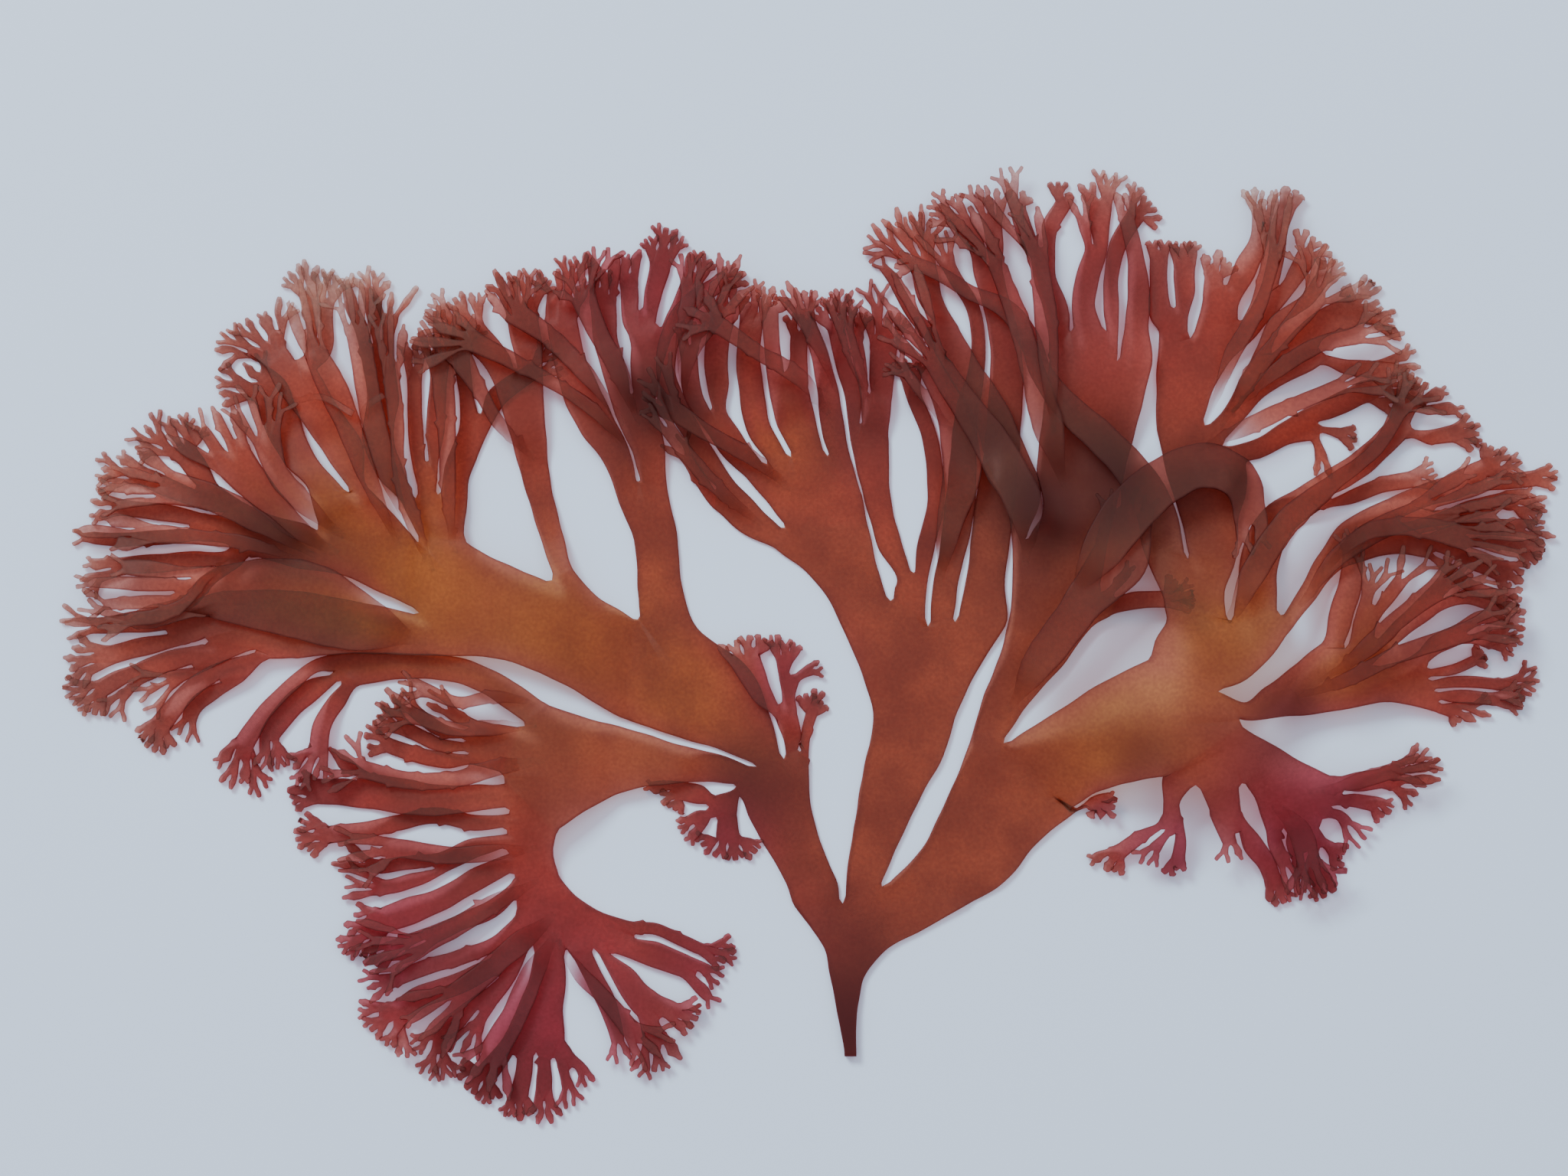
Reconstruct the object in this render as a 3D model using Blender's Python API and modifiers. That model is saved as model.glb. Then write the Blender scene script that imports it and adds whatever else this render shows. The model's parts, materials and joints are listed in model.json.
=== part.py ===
"""A red seaweed, lying spread out flat: one holdfast stipe, three lobes, and fans of blunt fingers.

The whole thallus is one blade. Each branch is a strip between two edges, and a fork passes the strip's
end row on to the branches beyond it, so the sheet never tears. Where branches cross, one climbs over
the other. Lengths are in millimetres, measured from the foot of the stipe, with +Y up the plant,
+X to its right and +Z away from the surface that it lies on.
"""

import math
from dataclasses import dataclass, field

import bpy
import numpy as np

MM = 0.001

# Thickness of the tissue
BLADE_THICKNESS = 0.6
STIPE_THICKNESS = 1.3
STIPE_FADE = 9.0

# How the strips are cut into rows
ROW_STEP = 3.1
TIP_WIDTH = 0.8
FINGER_WIDTH = 1.15

# How branches climb over one another
LAYER_GAP = 1.15
SIDE_GAP = 0.1
RELATIVES = 9.0
STEEPEST = 0.55
NEAR_FORK = 1.5

# Places where the blade arches off the surface: x, y, reach, height
ARCHES = (
    (35.0, 41.0, 10.0, 8.0),
    (44.0, 50.0, 8.0, 3.5),
    (-38.0, 51.0, 10.0, 3.0),
    (-60.0, 65.0, 9.0, 2.6),
    (-35.0, 33.0, 9.0, 2.8),
    (-72.0, 50.0, 8.0, 1.8),
    (-50.0, 12.0, 9.0, 2.0),
    (-24.0, 5.0, 8.0, 1.6),
    (-25.0, 78.0, 9.0, 2.4),
    (29.0, 82.0, 9.0, 2.8),
    (14.0, 96.0, 8.0, 1.8),
    (50.0, 92.0, 9.0, 2.2),
    (60.0, 47.0, 10.0, 3.0),
    (70.0, 62.0, 8.0, 2.6),
    (52.0, 30.0, 8.0, 2.0),
)

THALLUS_COLOUR = (0.33, 0.075, 0.035, 1.0)
THALLUS_ROUGHNESS = 0.35


@dataclass
class Branch:
    """One stretch of the thallus, from the fork that it grows out of to the next fork.

    rows: cross rows from base to end, each (x, y, width) or (left x, left y, right x, right y).
    notches: bottoms of the notches between the branches that follow, from left to right.
    kids: the branches that follow, from left to right as seen growing.
    tips: ends of the blunt fingers of a small fan, from left to right, where there are no kids.
    """

    rows: list
    notches: list = field(default_factory=list)
    kids: list = field(default_factory=list)
    tips: list = field(default_factory=list)


@dataclass
class Strip:
    """A branch once it is cut into rows of left and right edge points."""

    left: np.ndarray
    right: np.ndarray
    along: np.ndarray
    parent: int
    slot: int
    fork: list = field(default_factory=list)


def under_fan():
    """The small rosy fan below the left lobe's outer edge."""
    lower = Branch([(-14.6, 27.2, 2.2), (-14.4, 25.8, 2.4)],
                   tips=[(-10.8, 23.5), (-13.4, 22.8), (-15.4, 23.1), (-18.0, 24.5)])
    middle = Branch([(-17.2, 28.0, 1.5)], tips=[(-19.3, 25.0), (-20.4, 26.6)])
    upper = Branch([(-17.6, 30.5, 1.9), (-19.4, 31.0, 1.8)],
                   tips=[(-20.9, 28.6), (-22.4, 30.2), (-25.0, 31.3)])
    return Branch([(-14.6, 29.4, 3.0)], notches=[(-15.8, 28.0), (-16.6, 29.2)], kids=[lower, middle, upper])


def sprig():
    """The slender sprig that stands in the bay between the left and centre lobes."""
    left = Branch([(-10.2, 42.3, 2.0), (-11.5, 44.8, 2.8), (-12.2, 46.2, 3.2)],
                  tips=[(-15.7, 48.8), (-14.0, 48.6), (-12.4, 49.4), (-9.9, 49.2)])
    middle = Branch([(-7.7, 46.2, 1.6)], tips=[(-9.2, 49.8), (-7.6, 49.0), (-6.2, 48.6)])
    right_spur = Branch([(-5.4, 45.1, 0.9), (-2.6, 45.6, 0.9)])
    right = Branch([(-7.4, 42.2, 1.3), (-7.2, 43.9, 1.9)], notches=[(-7.0, 44.7)], kids=[middle, right_spur])
    return Branch([(-6.8, 37.2, 1.8), (-7.5, 39.8, 2.2)], notches=[(-8.3, 41.3)], kids=[left, right])


def slim_spur():
    """The narrow branch to the right of the sprig."""
    return Branch([(-5.2, 37.8, 0.8), (-4.6, 40.0, 1.0)], tips=[(-5.2, 42.6), (-3.6, 43.1), (-2.9, 41.5)])


def low_left_tip_fans():
    """The fingers that end the lower left band's long top finger."""
    hanging = Branch([(-60.4, 41.6, 1.7), (-61.9, 38.8, 1.7), (-62.3, 36.2, 1.9)],
                     tips=[(-62.4, 31.8), (-65.0, 31.2), (-66.0, 34.0)])
    middle = Branch([(-63.4, 42.9, 2.3), (-66.2, 40.4, 2.4), (-68.0, 38.0, 2.0)],
                    tips=[(-66.8, 33.2), (-68.8, 33.0)])
    outer = Branch([(-62.4, 45.8, 1.2), (-65.6, 43.4, 1.3), (-68.8, 40.2, 1.5), (-71.0, 36.8, 2.0)],
                   tips=[(-69.3, 30.4), (-71.2, 31.6), (-73.6, 30.5), (-74.8, 33.5)])
    return Branch([(-39.8, 42.4, 2.8), (-42.6, 44.0, 2.6), (-46.2, 45.2, 2.6), (-52.0, 45.8, 2.6),
                   (-57.8, 45.4, 3.6)],
                  notches=[(-59.8, 44.0), (-60.8, 45.0)], kids=[hanging, middle, outer])


def low_left_middle():
    """The second finger of the lower left band, which forks early into four."""
    lowest = Branch([(-47.4, 34.6, 1.5), (-51.2, 35.4, 1.5), (-54.2, 36.4, 1.4)],
                    tips=[(-57.0, 35.8), (-57.2, 38.4)])
    low = Branch([(-48.2, 36.5, 1.3), (-51.6, 38.0, 1.3)], tips=[(-56.0, 40.2), (-55.2, 42.0)])
    high = Branch([(-47.4, 38.0, 1.2), (-50.4, 39.8, 1.2), (-52.4, 41.8, 1.1), (-53.4, 43.4, 0.9)])
    highest = Branch([(-45.7, 39.5, 1.2), (-47.8, 41.2, 1.2), (-49.8, 43.3, 0.9)])
    return Branch([(-43.2, 36.6, 4.8)], notches=[(-44.6, 35.6), (-45.0, 37.0), (-44.7, 38.4)],
                  kids=[lowest, low, high, highest])


def low_left_third():
    """The third finger, long and level."""
    main = Branch([(-60.0, 31.0, 2.8), (-62.6, 31.0, 2.6)], tips=[(-65.8, 29.5), (-66.4, 31.2), (-64.8, 33.0)])
    side = Branch([(-58.8, 33.8, 1.2), (-60.4, 35.6, 1.1), (-61.1, 37.4, 0.9)])
    return Branch([(-44.0, 30.3, 2.8), (-48.0, 30.1, 3.2), (-52.0, 30.4, 3.8), (-56.2, 31.0, 3.8)],
                  notches=[(-57.8, 32.6)], kids=[main, side])


def low_left_fourth():
    """The fourth finger, thin and wavy."""
    return Branch([(-44.0, 27.3, 1.5), (-49.0, 28.2, 1.5), (-53.0, 27.4, 1.5), (-57.0, 26.5, 1.6),
                   (-61.0, 26.0, 1.7)],
                  tips=[(-64.0, 23.8), (-65.6, 25.3), (-65.0, 27.5)])


def low_left_fifth():
    """The fifth finger, which forks halfway."""
    lower = Branch([(-50.8, 20.8, 1.3), (-55.0, 19.8, 1.3), (-58.4, 20.9, 1.2), (-60.2, 23.2, 0.9)])
    upper = Branch([(-52.0, 22.6, 1.3), (-56.0, 22.3, 1.2), (-58.8, 24.0, 1.1), (-60.4, 26.6, 0.9)])
    return Branch([(-44.5, 24.3, 2.0), (-47.4, 22.9, 2.0)], notches=[(-48.8, 22.0)], kids=[lower, upper])


def low_left_sixth():
    """The sixth finger, broad at its end."""
    return Branch([(-44.0, 20.7, 2.2), (-48.0, 18.4, 2.4), (-52.0, 16.9, 2.8), (-54.6, 16.0, 2.6)],
                  tips=[(-57.8, 11.4), (-60.2, 12.2), (-59.6, 14.6), (-58.6, 17.0)])


def low_left_seventh():
    """The seventh finger, forked into two thin prongs."""
    lower = Branch([(-51.0, 12.2, 1.1), (-54.2, 10.6, 0.9)])
    upper = Branch([(-53.0, 13.0, 1.2), (-57.4, 10.0, 0.9)])
    return Branch([(-42.0, 17.2, 1.8), (-46.0, 15.6, 1.5), (-48.4, 14.5, 1.7)], notches=[(-49.7, 13.6)],
                  kids=[lower, upper])


def low_left_bottom():
    """The downward trunk of the lower left lobe, with four short fans."""
    right_inner = Branch([(-31.7, -1.4, 0.9), (-30.8, -4.0, 0.9)])
    right_outer = Branch([(-33.2, -3.3, 1.0), (-33.0, -6.5, 0.9)])
    right = Branch([(-33.6, -0.2, 1.9)], notches=[(-32.9, -1.6)], kids=[right_inner, right_outer])
    middle = Branch([(-36.0, -3.4, 1.5)], tips=[(-35.0, -8.1), (-36.8, -8.2)])
    left = Branch([(-38.5, -2.8, 1.8), (-38.9, -4.6, 1.8)],
                  tips=[(-37.6, -7.0), (-38.8, -7.8), (-40.2, -7.3)])
    outer = Branch([(-41.6, -0.8, 2.0), (-42.8, -2.2, 2.2)],
                   tips=[(-41.6, -5.3), (-43.4, -6.0), (-44.9, -4.3), (-46.1, -1.6)])
    return Branch([(-35.5, 9.4, 4.2), (-36.3, 5.6, 5.2), (-36.9, 2.4, 6.8)],
                  notches=[(-35.0, -0.3), (-36.9, 0.4), (-39.4, 0.0)], kids=[right, middle, left, outer])


def low_left_inner():
    """The inner group of the lower left lobe, which swings back to the right."""
    top = Branch([(-22.8, 14.8, 1.1), (-20.0, 13.6, 1.0), (-17.6, 12.5, 1.0)],
                 tips=[(-13.2, 13.3), (-13.2, 11.6), (-14.6, 10.6)])
    second_high = Branch([(-17.0, 10.0, 1.2), (-14.6, 8.4, 0.9)])
    second_low = Branch([(-17.6, 8.0, 1.1), (-15.9, 5.6, 0.9)])
    second = Branch([(-22.8, 11.8, 2.5), (-19.6, 10.6, 2.3)], notches=[(-18.1, 9.7)],
                    kids=[second_high, second_low])
    third_right = Branch([(-20.8, 5.2, 2.0)], tips=[(-17.3, 6.3), (-17.6, 4.4), (-18.4, 2.8)])
    third_down = Branch([(-23.2, 3.0, 2.0)], tips=[(-19.9, -0.7), (-22.2, -2.2), (-24.4, -2.8)])
    third = Branch([(-26.8, 9.6, 2.4), (-25.2, 7.4, 2.8), (-23.8, 6.1, 3.2)], notches=[(-22.3, 4.5)],
                   kids=[third_right, third_down])
    fourth = Branch([(-30.6, 10.2, 1.9), (-28.9, 7.0, 1.8), (-27.8, 4.0, 1.4), (-27.2, 1.2, 1.1),
                     (-26.8, -2.2, 0.9)])
    return Branch([(-26.4, 15.9, -33.0, 12.0)], notches=[(-25.4, 14.0), (-28.3, 11.9), (-30.2, 12.6)],
                  kids=[top, second, third, fourth])


def low_left_outer():
    """The outer group of the lower left lobe, three fingers that fan out downwards."""
    first_prong = Branch([(-44.0, 3.4, 1.0), (-45.8, -0.3, 0.9)])
    first_fan = Branch([(-46.2, 4.2, 1.9), (-48.2, 2.4, 2.0)],
                       tips=[(-47.9, -3.2), (-49.8, -2.5), (-51.8, 0.6)])
    first = Branch([(-42.4, 6.8, 2.0)], notches=[(-43.6, 5.4)], kids=[first_prong, first_fan])
    second = Branch([(-46.4, 8.3, 2.1), (-50.6, 6.9, 2.3), (-52.8, 5.2, 2.6)],
                    tips=[(-52.5, -0.4), (-54.4, 0.4), (-56.6, 2.8), (-58.0, 5.4)])
    third = Branch([(-46.0, 11.6, 1.5), (-50.0, 10.4, 1.5), (-54.0, 8.8, 1.2), (-57.6, 7.9, 0.9)])
    return Branch([(-38.8, 10.0, -41.4, 14.4)], notches=[(-41.3, 9.3), (-42.0, 11.9)],
                  kids=[first, second, third])


def low_left_lobe():
    """The band that runs left out of the left lobe and turns down, shedding a finger at each step."""
    foot = Branch([(-30.6, 17.6, -39.4, 16.4)], notches=[(-33.5, 12.3), (-37.3, 12.9)],
                  kids=[low_left_inner(), low_left_bottom(), low_left_outer()])
    sixth_step = Branch([(-32.3, 18.8, -39.6, 20.6)], notches=[(-39.2, 18.2)], kids=[foot, low_left_seventh()])
    fifth_step = Branch([(-33.4, 20.0, -40.4, 23.6)], notches=[(-39.4, 21.4)],
                        kids=[sixth_step, low_left_sixth()])
    fourth_step = Branch([(-34.2, 21.2, -40.6, 26.0)], notches=[(-40.3, 24.2)],
                         kids=[fifth_step, low_left_fifth()])
    third_step = Branch([(-34.6, 22.6, -40.4, 28.4)], notches=[(-40.2, 26.6)],
                        kids=[fourth_step, low_left_fourth()])
    second_step = Branch([(-34.8, 24.4, -40.6, 32.0)], notches=[(-39.8, 29.0)],
                         kids=[third_step, low_left_third()])
    return Branch([(-16.0, 32.0, -15.4, 35.4), (-20.5, 32.0, -20.0, 36.6), (-25.5, 31.4, -25.5, 38.2),
                   (-30.0, 29.4, -30.4, 39.6), (-34.0, 26.8, -35.2, 41.2)],
                  notches=[(-40.4, 32.9), (-38.0, 38.8)],
                  kids=[second_step, low_left_middle(), low_left_tip_fans()])


def blade_lower_fan():
    """The fan that carries the big left blade's lower edge out to the far left."""
    lowest = Branch([(-75.0, 42.6, 1.5), (-77.2, 40.6, 1.5), (-77.9, 36.0, 0.9)])
    second = Branch([(-76.0, 44.0, 1.8), (-79.2, 41.0, 1.9), (-81.0, 38.8, 2.1)],
                    tips=[(-79.8, 36.0), (-81.7, 35.2), (-83.2, 37.0)])
    low = Branch([(-71.4, 45.6, 2.3)], notches=[(-73.8, 44.0)], kids=[lowest, second])
    third = Branch([(-78.6, 44.6, 1.2), (-84.4, 41.6, 0.9)])
    fourth = Branch([(-85.4, 42.4, 1.0), (-87.2, 38.9, 0.9)])
    fifth = Branch([(-86.0, 44.2, 1.8), (-87.8, 43.2, 1.8)],
                   tips=[(-89.2, 39.8), (-91.0, 40.3), (-92.4, 42.2)])
    fourth_fifth = Branch([(-80.5, 46.1, 2.0), (-83.2, 45.0, 2.1)], notches=[(-84.2, 43.9)],
                          kids=[fourth, fifth])
    middle = Branch([(-75.2, 47.0, 2.4)], notches=[(-76.9, 45.7)], kids=[third, fourth_fifth])
    sixth = Branch([(-82.2, 48.2, 1.8), (-86.2, 47.2, 1.8)], tips=[(-92.4, 44.0), (-92.6, 45.8), (-91.8, 48.0)])
    seventh = Branch([(-83.0, 51.0, 2.2), (-88.0, 50.5, 1.6), (-93.0, 50.5, 1.1)])
    high = Branch([(-78.0, 50.7, 4.4)], notches=[(-80.0, 49.7)], kids=[sixth, seventh])
    return Branch([(-57.5, 47.2, -57.6, 53.2), (-63.5, 46.8, -64.4, 54.6), (-68.0, 46.6, -72.6, 54.6)],
                  notches=[(-69.6, 47.7), (-75.3, 48.9)], kids=[low, middle, high])


def far_left_fan():
    """The fan that crosses behind the top left one and ends furthest left."""
    arc = Branch([(-75.4, 55.6, 1.3), (-77.0, 53.6, 1.3), (-80.2, 52.4, 1.2), (-84.4, 52.6, 0.9)])
    flat = Branch([(-77.0, 58.2, 1.8), (-80.6, 57.9, 1.8), (-84.6, 57.6, 1.7)],
                  tips=[(-91.5, 55.3), (-91.0, 57.4)])
    low = Branch([(-72.8, 58.2, 2.2)], notches=[(-74.2, 57.2)], kids=[arc, flat])
    long_finger = Branch([(-80.0, 60.9, 1.4), (-86.0, 60.6, 1.2), (-92.7, 61.2, 0.9)])
    forked = Branch([(-80.0, 63.6, 1.7), (-85.0, 64.3, 1.5)], tips=[(-89.8, 63.3), (-89.5, 65.5)])
    middle = Branch([(-75.8, 62.0, 2.8)], notches=[(-77.6, 62.1)], kids=[long_finger, forked])
    upper_flat = Branch([(-79.4, 66.4, 1.9), (-83.0, 68.0, 1.8)],
                        tips=[(-89.0, 67.2), (-89.0, 69.2), (-86.8, 70.8)])
    upright = Branch([(-76.5, 68.4, 2.2), (-78.0, 70.6, 2.4)],
                     tips=[(-84.6, 71.9), (-83.9, 74.2), (-81.2, 75.6), (-79.0, 75.6), (-76.8, 74.4)])
    high = Branch([(-74.8, 65.4, 2.8)], notches=[(-76.9, 66.7)], kids=[upper_flat, upright])
    return Branch([(-64.6, 59.8, 5.2), (-69.4, 61.2, 5.0)], notches=[(-72.9, 59.9), (-73.4, 63.7)],
                  kids=[low, middle, high])


def top_left_fan():
    """The broad fan at the top left."""
    outer = Branch([(-64.7, 70.2, 3.3), (-67.0, 75.0, 4.0), (-67.8, 77.4, 4.0)],
                   tips=[(-74.6, 77.3), (-74.9, 80.2), (-71.2, 81.6)])
    rosy = Branch([(-67.4, 82.0, 2.8)],
                  tips=[(-75.3, 83.3), (-74.2, 85.2), (-72.0, 86.4), (-69.4, 87.8), (-67.0, 89.8)])
    tall_left = Branch([(-63.5, 88.2, 1.5)], tips=[(-65.8, 92.8), (-63.9, 93.7)])
    tall_right = Branch([(-61.6, 88.0, 1.4)], tips=[(-62.0, 92.9), (-60.2, 92.2)])
    tall = Branch([(-62.6, 82.4, 2.4)], notches=[(-62.4, 84.0)], kids=[tall_left, tall_right])
    inner = Branch([(-59.0, 70.6, 4.0), (-62.2, 75.4, 4.4), (-64.6, 79.0, 5.0)], notches=[(-64.6, 81.6)],
                   kids=[rosy, tall])
    return Branch([(-63.4, 66.4, -56.4, 66.6)], notches=[(-58.6, 66.0)], kids=[outer, inner])


def blade_top_stem():
    """The stem of narrow fingers that rises from the big left blade."""
    left_end = Branch([(-57.3, 84.8, 1.2), (-58.7, 88.4, 1.2), (-59.0, 92.6, 0.9)])
    middle_end = Branch([(-56.0, 87.0, 1.4)], tips=[(-57.3, 92.7), (-55.3, 92.3)])
    right_end = Branch([(-54.2, 86.8, 1.2), (-53.3, 91.0, 0.9)])
    broad = Branch([(-54.0, 68.6, 2.8), (-55.4, 72.6, 3.4), (-54.9, 77.0, 3.2), (-55.4, 81.0, 3.4)],
                   notches=[(-56.2, 83.2), (-55.1, 84.0)], kids=[left_end, middle_end, right_end])
    thin_left = Branch([(-51.0, 73.0, 1.3), (-51.2, 79.0, 1.3)], tips=[(-52.2, 84.6), (-50.6, 84.4)])
    thin_right = Branch([(-48.8, 73.0, 1.6), (-48.4, 79.0, 1.6)], tips=[(-49.2, 85.0), (-47.4, 84.8)])
    thin_pair = Branch([(-49.8, 68.0, 2.2)], notches=[(-49.7, 69.7)], kids=[thin_left, thin_right])
    short = Branch([(-45.0, 77.0, 1.5), (-45.6, 81.0, 1.5)], tips=[(-46.6, 86.4), (-44.8, 86.6)])
    arching = Branch([(-41.8, 77.0, 2.0), (-37.2, 80.4, 1.6)], tips=[(-34.8, 83.4), (-34.0, 81.2)])
    right_pair = Branch([(-46.4, 68.0, 2.8), (-44.6, 72.6, 2.8)], notches=[(-43.5, 75.4)],
                        kids=[short, arching])
    return Branch([(-52.6, 64.8, -45.0, 64.6)], notches=[(-51.0, 65.4), (-48.4, 65.8)],
                  kids=[broad, thin_pair, right_pair])


def blade_slim_finger():
    """The slim stem between the two tall bays, which opens into a fan."""
    left = Branch([(-41.6, 81.8, 2.8), (-44.2, 84.6, 3.2)],
                  tips=[(-50.8, 86.8), (-49.6, 88.8), (-46.9, 89.4), (-44.2, 90.4)])
    right = Branch([(-37.9, 83.0, 3.0), (-38.5, 86.6, 3.2)],
                   tips=[(-42.0, 92.4), (-39.9, 92.0), (-38.2, 92.6), (-35.9, 92.0)])
    return Branch([(-34.9, 60.5, 2.2), (-36.0, 64.5, 2.5), (-37.2, 69.0, 3.1), (-37.9, 73.5, 4.0),
                   (-38.6, 77.5, 5.2)],
                  notches=[(-39.2, 80.6)], kids=[left, right])


def blade_tall_finger():
    """The tall stem at the big left blade's inner side, with the highest fans of the left half."""
    left = Branch([(-27.4, 70.2, 3.0), (-29.8, 74.2, 3.8), (-31.6, 78.0, 4.2), (-33.0, 82.0, 3.4),
                   (-33.8, 86.0, 3.2)],
                  tips=[(-34.4, 92.8), (-32.2, 94.8), (-30.9, 92.0)])
    second = Branch([(-27.5, 80.0, 2.4), (-28.7, 84.0, 2.6), (-29.0, 88.0, 2.6)],
                    tips=[(-30.0, 95.3), (-28.6, 93.0), (-27.5, 95.6)])
    third_left = Branch([(-26.0, 90.4, 1.7)], tips=[(-26.2, 94.4), (-25.0, 95.5)])
    third_right = Branch([(-23.2, 89.6, 1.8), (-22.4, 92.4, 2.0)],
                         tips=[(-23.6, 96.4), (-21.5, 97.8), (-20.0, 96.6)])
    third = Branch([(-24.6, 86.0, 3.6)], notches=[(-24.7, 87.4)], kids=[third_left, third_right])
    fourth = Branch([(-20.2, 87.4, 1.9), (-18.8, 90.4, 2.0)], tips=[(-18.5, 95.0), (-16.8, 94.2)])
    right_inner = Branch([(-24.0, 79.6, 3.0), (-23.6, 83.2, 4.0)], notches=[(-22.4, 85.4)],
                         kids=[third, fourth])
    right = Branch([(-23.7, 71.0, 3.4), (-25.0, 75.2, 4.6)], notches=[(-25.6, 77.6)],
                   kids=[second, right_inner])
    return Branch([(-22.4, 55.6, 5.0), (-23.0, 61.0, 5.0), (-24.2, 65.2, 5.8)], notches=[(-24.9, 67.4)],
                  kids=[left, right])


def big_left_blade():
    """The widest blade of the left half, thick and golden in the middle."""
    outer = Branch([(-54.6, 54.2, -52.6, 62.4), (-58.4, 56.0, -54.8, 65.0)], notches=[(-62.4, 61.8)],
                   kids=[far_left_fan(), top_left_fan()])
    far_part = Branch([(-40.4, 46.4, -38.2, 56.8), (-44.8, 46.9, -42.2, 58.6), (-49.4, 47.0, -44.9, 60.2)],
                      notches=[(-50.4, 52.0), (-50.4, 60.2)],
                      kids=[blade_lower_fan(), outer, blade_top_stem()])
    middle_part = Branch([(-32.4, 42.9, -29.8, 54.0), (-36.4, 45.0, -32.4, 57.0)], notches=[(-34.9, 55.8)],
                         kids=[far_part, blade_slim_finger()])
    return Branch([(-15.2, 35.9, -9.3, 39.6), (-20.2, 37.3, -11.8, 45.2), (-26.2, 39.4, -17.4, 49.6)],
                  notches=[(-25.0, 51.2)], kids=[middle_part, blade_tall_finger()])


def left_lobe():
    """Everything that the first lobe carries, from the lower left round to the sprig."""
    return Branch([(-7.6, 20.2, -1.4, 20.2), (-10.0, 24.6, -3.0, 23.6), (-12.0, 28.2, -4.5, 28.4),
                   (-12.9, 30.4, -4.9, 34.0)],
                  notches=[(-13.4, 31.6), (-11.0, 33.9), (-7.8, 34.8), (-6.0, 35.6)],
                  kids=[under_fan(), low_left_lobe(), big_left_blade(), sprig(), slim_spur()])


def centre_left_fans():
    """The centre lobe's left half: a drooping outer finger, an orange blade and slender forks."""
    drooping = Branch([(-17.8, 67.9, 1.2), (-19.4, 70.4, 1.0), (-21.6, 73.0, 0.9)])
    arching = Branch([(-16.4, 69.2, 2.3), (-18.4, 72.8, 1.8), (-20.4, 76.4, 2.0), (-21.6, 80.4, 2.0),
                      (-20.8, 84.8, 2.0), (-18.6, 88.2, 1.9), (-15.6, 90.4, 1.6)],
                     tips=[(-13.0, 92.6), (-11.6, 91.6)])
    outer = Branch([(-11.6, 62.8, 3.2), (-14.4, 65.4, 3.6)], notches=[(-15.8, 66.5)], kids=[drooping, arching])
    leaning = Branch([(-18.6, 78.0, 1.8), (-18.9, 82.0, 1.6)], tips=[(-19.6, 86.2), (-17.8, 86.6)])
    upright = Branch([(-15.6, 78.8, 2.2), (-15.8, 82.6, 2.4), (-15.0, 86.0, 2.4)],
                     tips=[(-16.2, 89.0), (-14.2, 94.6), (-12.8, 90.4)])
    second = Branch([(-13.2, 70.8, 3.0), (-15.6, 74.2, 2.8)], notches=[(-16.4, 75.8)], kids=[leaning, upright])
    third = Branch([(-10.9, 74.0, 2.6), (-11.6, 78.0, 2.4), (-12.0, 82.4, 2.4), (-11.6, 86.0, 2.4)],
                   tips=[(-12.4, 89.8), (-10.8, 91.6), (-9.8, 89.4)])
    fourth_left = Branch([(-9.2, 83.6, 1.5), (-9.4, 86.8, 1.5)], tips=[(-9.6, 90.2), (-8.0, 88.8)])
    fourth_right = Branch([(-6.2, 81.0, 1.9), (-6.0, 84.4, 1.7)], tips=[(-7.2, 87.6), (-5.2, 87.4)])
    fourth = Branch([(-6.4, 74.6, 4.2), (-7.2, 77.8, 4.4)], notches=[(-7.9, 80.2)],
                    kids=[fourth_left, fourth_right])
    fifth = Branch([(-2.2, 74.2, 2.4), (-2.8, 78.6, 2.0), (-3.6, 82.2, 1.6), (-5.0, 86.0, 1.4)],
                   tips=[(-8.0, 90.8), (-5.0, 90.4)])
    inner = Branch([(-9.6, 64.6, 1.4, 65.8), (-12.2, 67.8, 0.3, 69.2)],
                   notches=[(-9.8, 69.4), (-7.0, 70.3), (-2.7, 70.4)], kids=[second, third, fourth, fifth])
    return Branch([(-5.2, 56.8, 3.2, 57.4), (-8.8, 59.5, 2.1, 62.0)], notches=[(-7.7, 62.0)],
                  kids=[outer, inner])


def centre_middle():
    """The two fingers on either side of the tall oval bay."""
    left_end = Branch([(0.3, 78.0, 1.7), (-0.9, 81.6, 1.6), (-1.6, 84.8, 1.6)],
                      tips=[(-4.0, 88.2), (-2.6, 89.6), (-1.2, 90.2)])
    short_end = Branch([(1.2, 80.6, 1.1), (0.6, 84.0, 1.1)], tips=[(-0.3, 88.0), (1.0, 87.8)])
    crowned_end = Branch([(3.6, 79.6, 2.6), (3.9, 83.0, 2.8)],
                         tips=[(1.4, 89.2), (2.9, 91.3), (4.6, 88.0), (6.2, 87.2)])
    right_end = Branch([(3.0, 76.8, 3.2)], notches=[(2.2, 77.6)], kids=[short_end, crowned_end])
    left = Branch([(4.6, 60.0, 2.4), (3.5, 64.0, 2.7), (2.8, 68.0, 3.2), (2.3, 72.0, 4.2)],
                  notches=[(1.2, 74.2)], kids=[left_end, right_end])
    right = Branch([(8.9, 60.0, 1.8), (10.0, 64.5, 1.6), (9.9, 69.0, 1.5), (9.2, 73.0, 1.5), (7.6, 77.0, 1.4)],
                   tips=[(5.8, 82.4), (7.6, 82.0)])
    return Branch([(5.4, 55.3, 8.9, 54.3)], notches=[(7.4, 56.7)], kids=[left, right])


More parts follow.
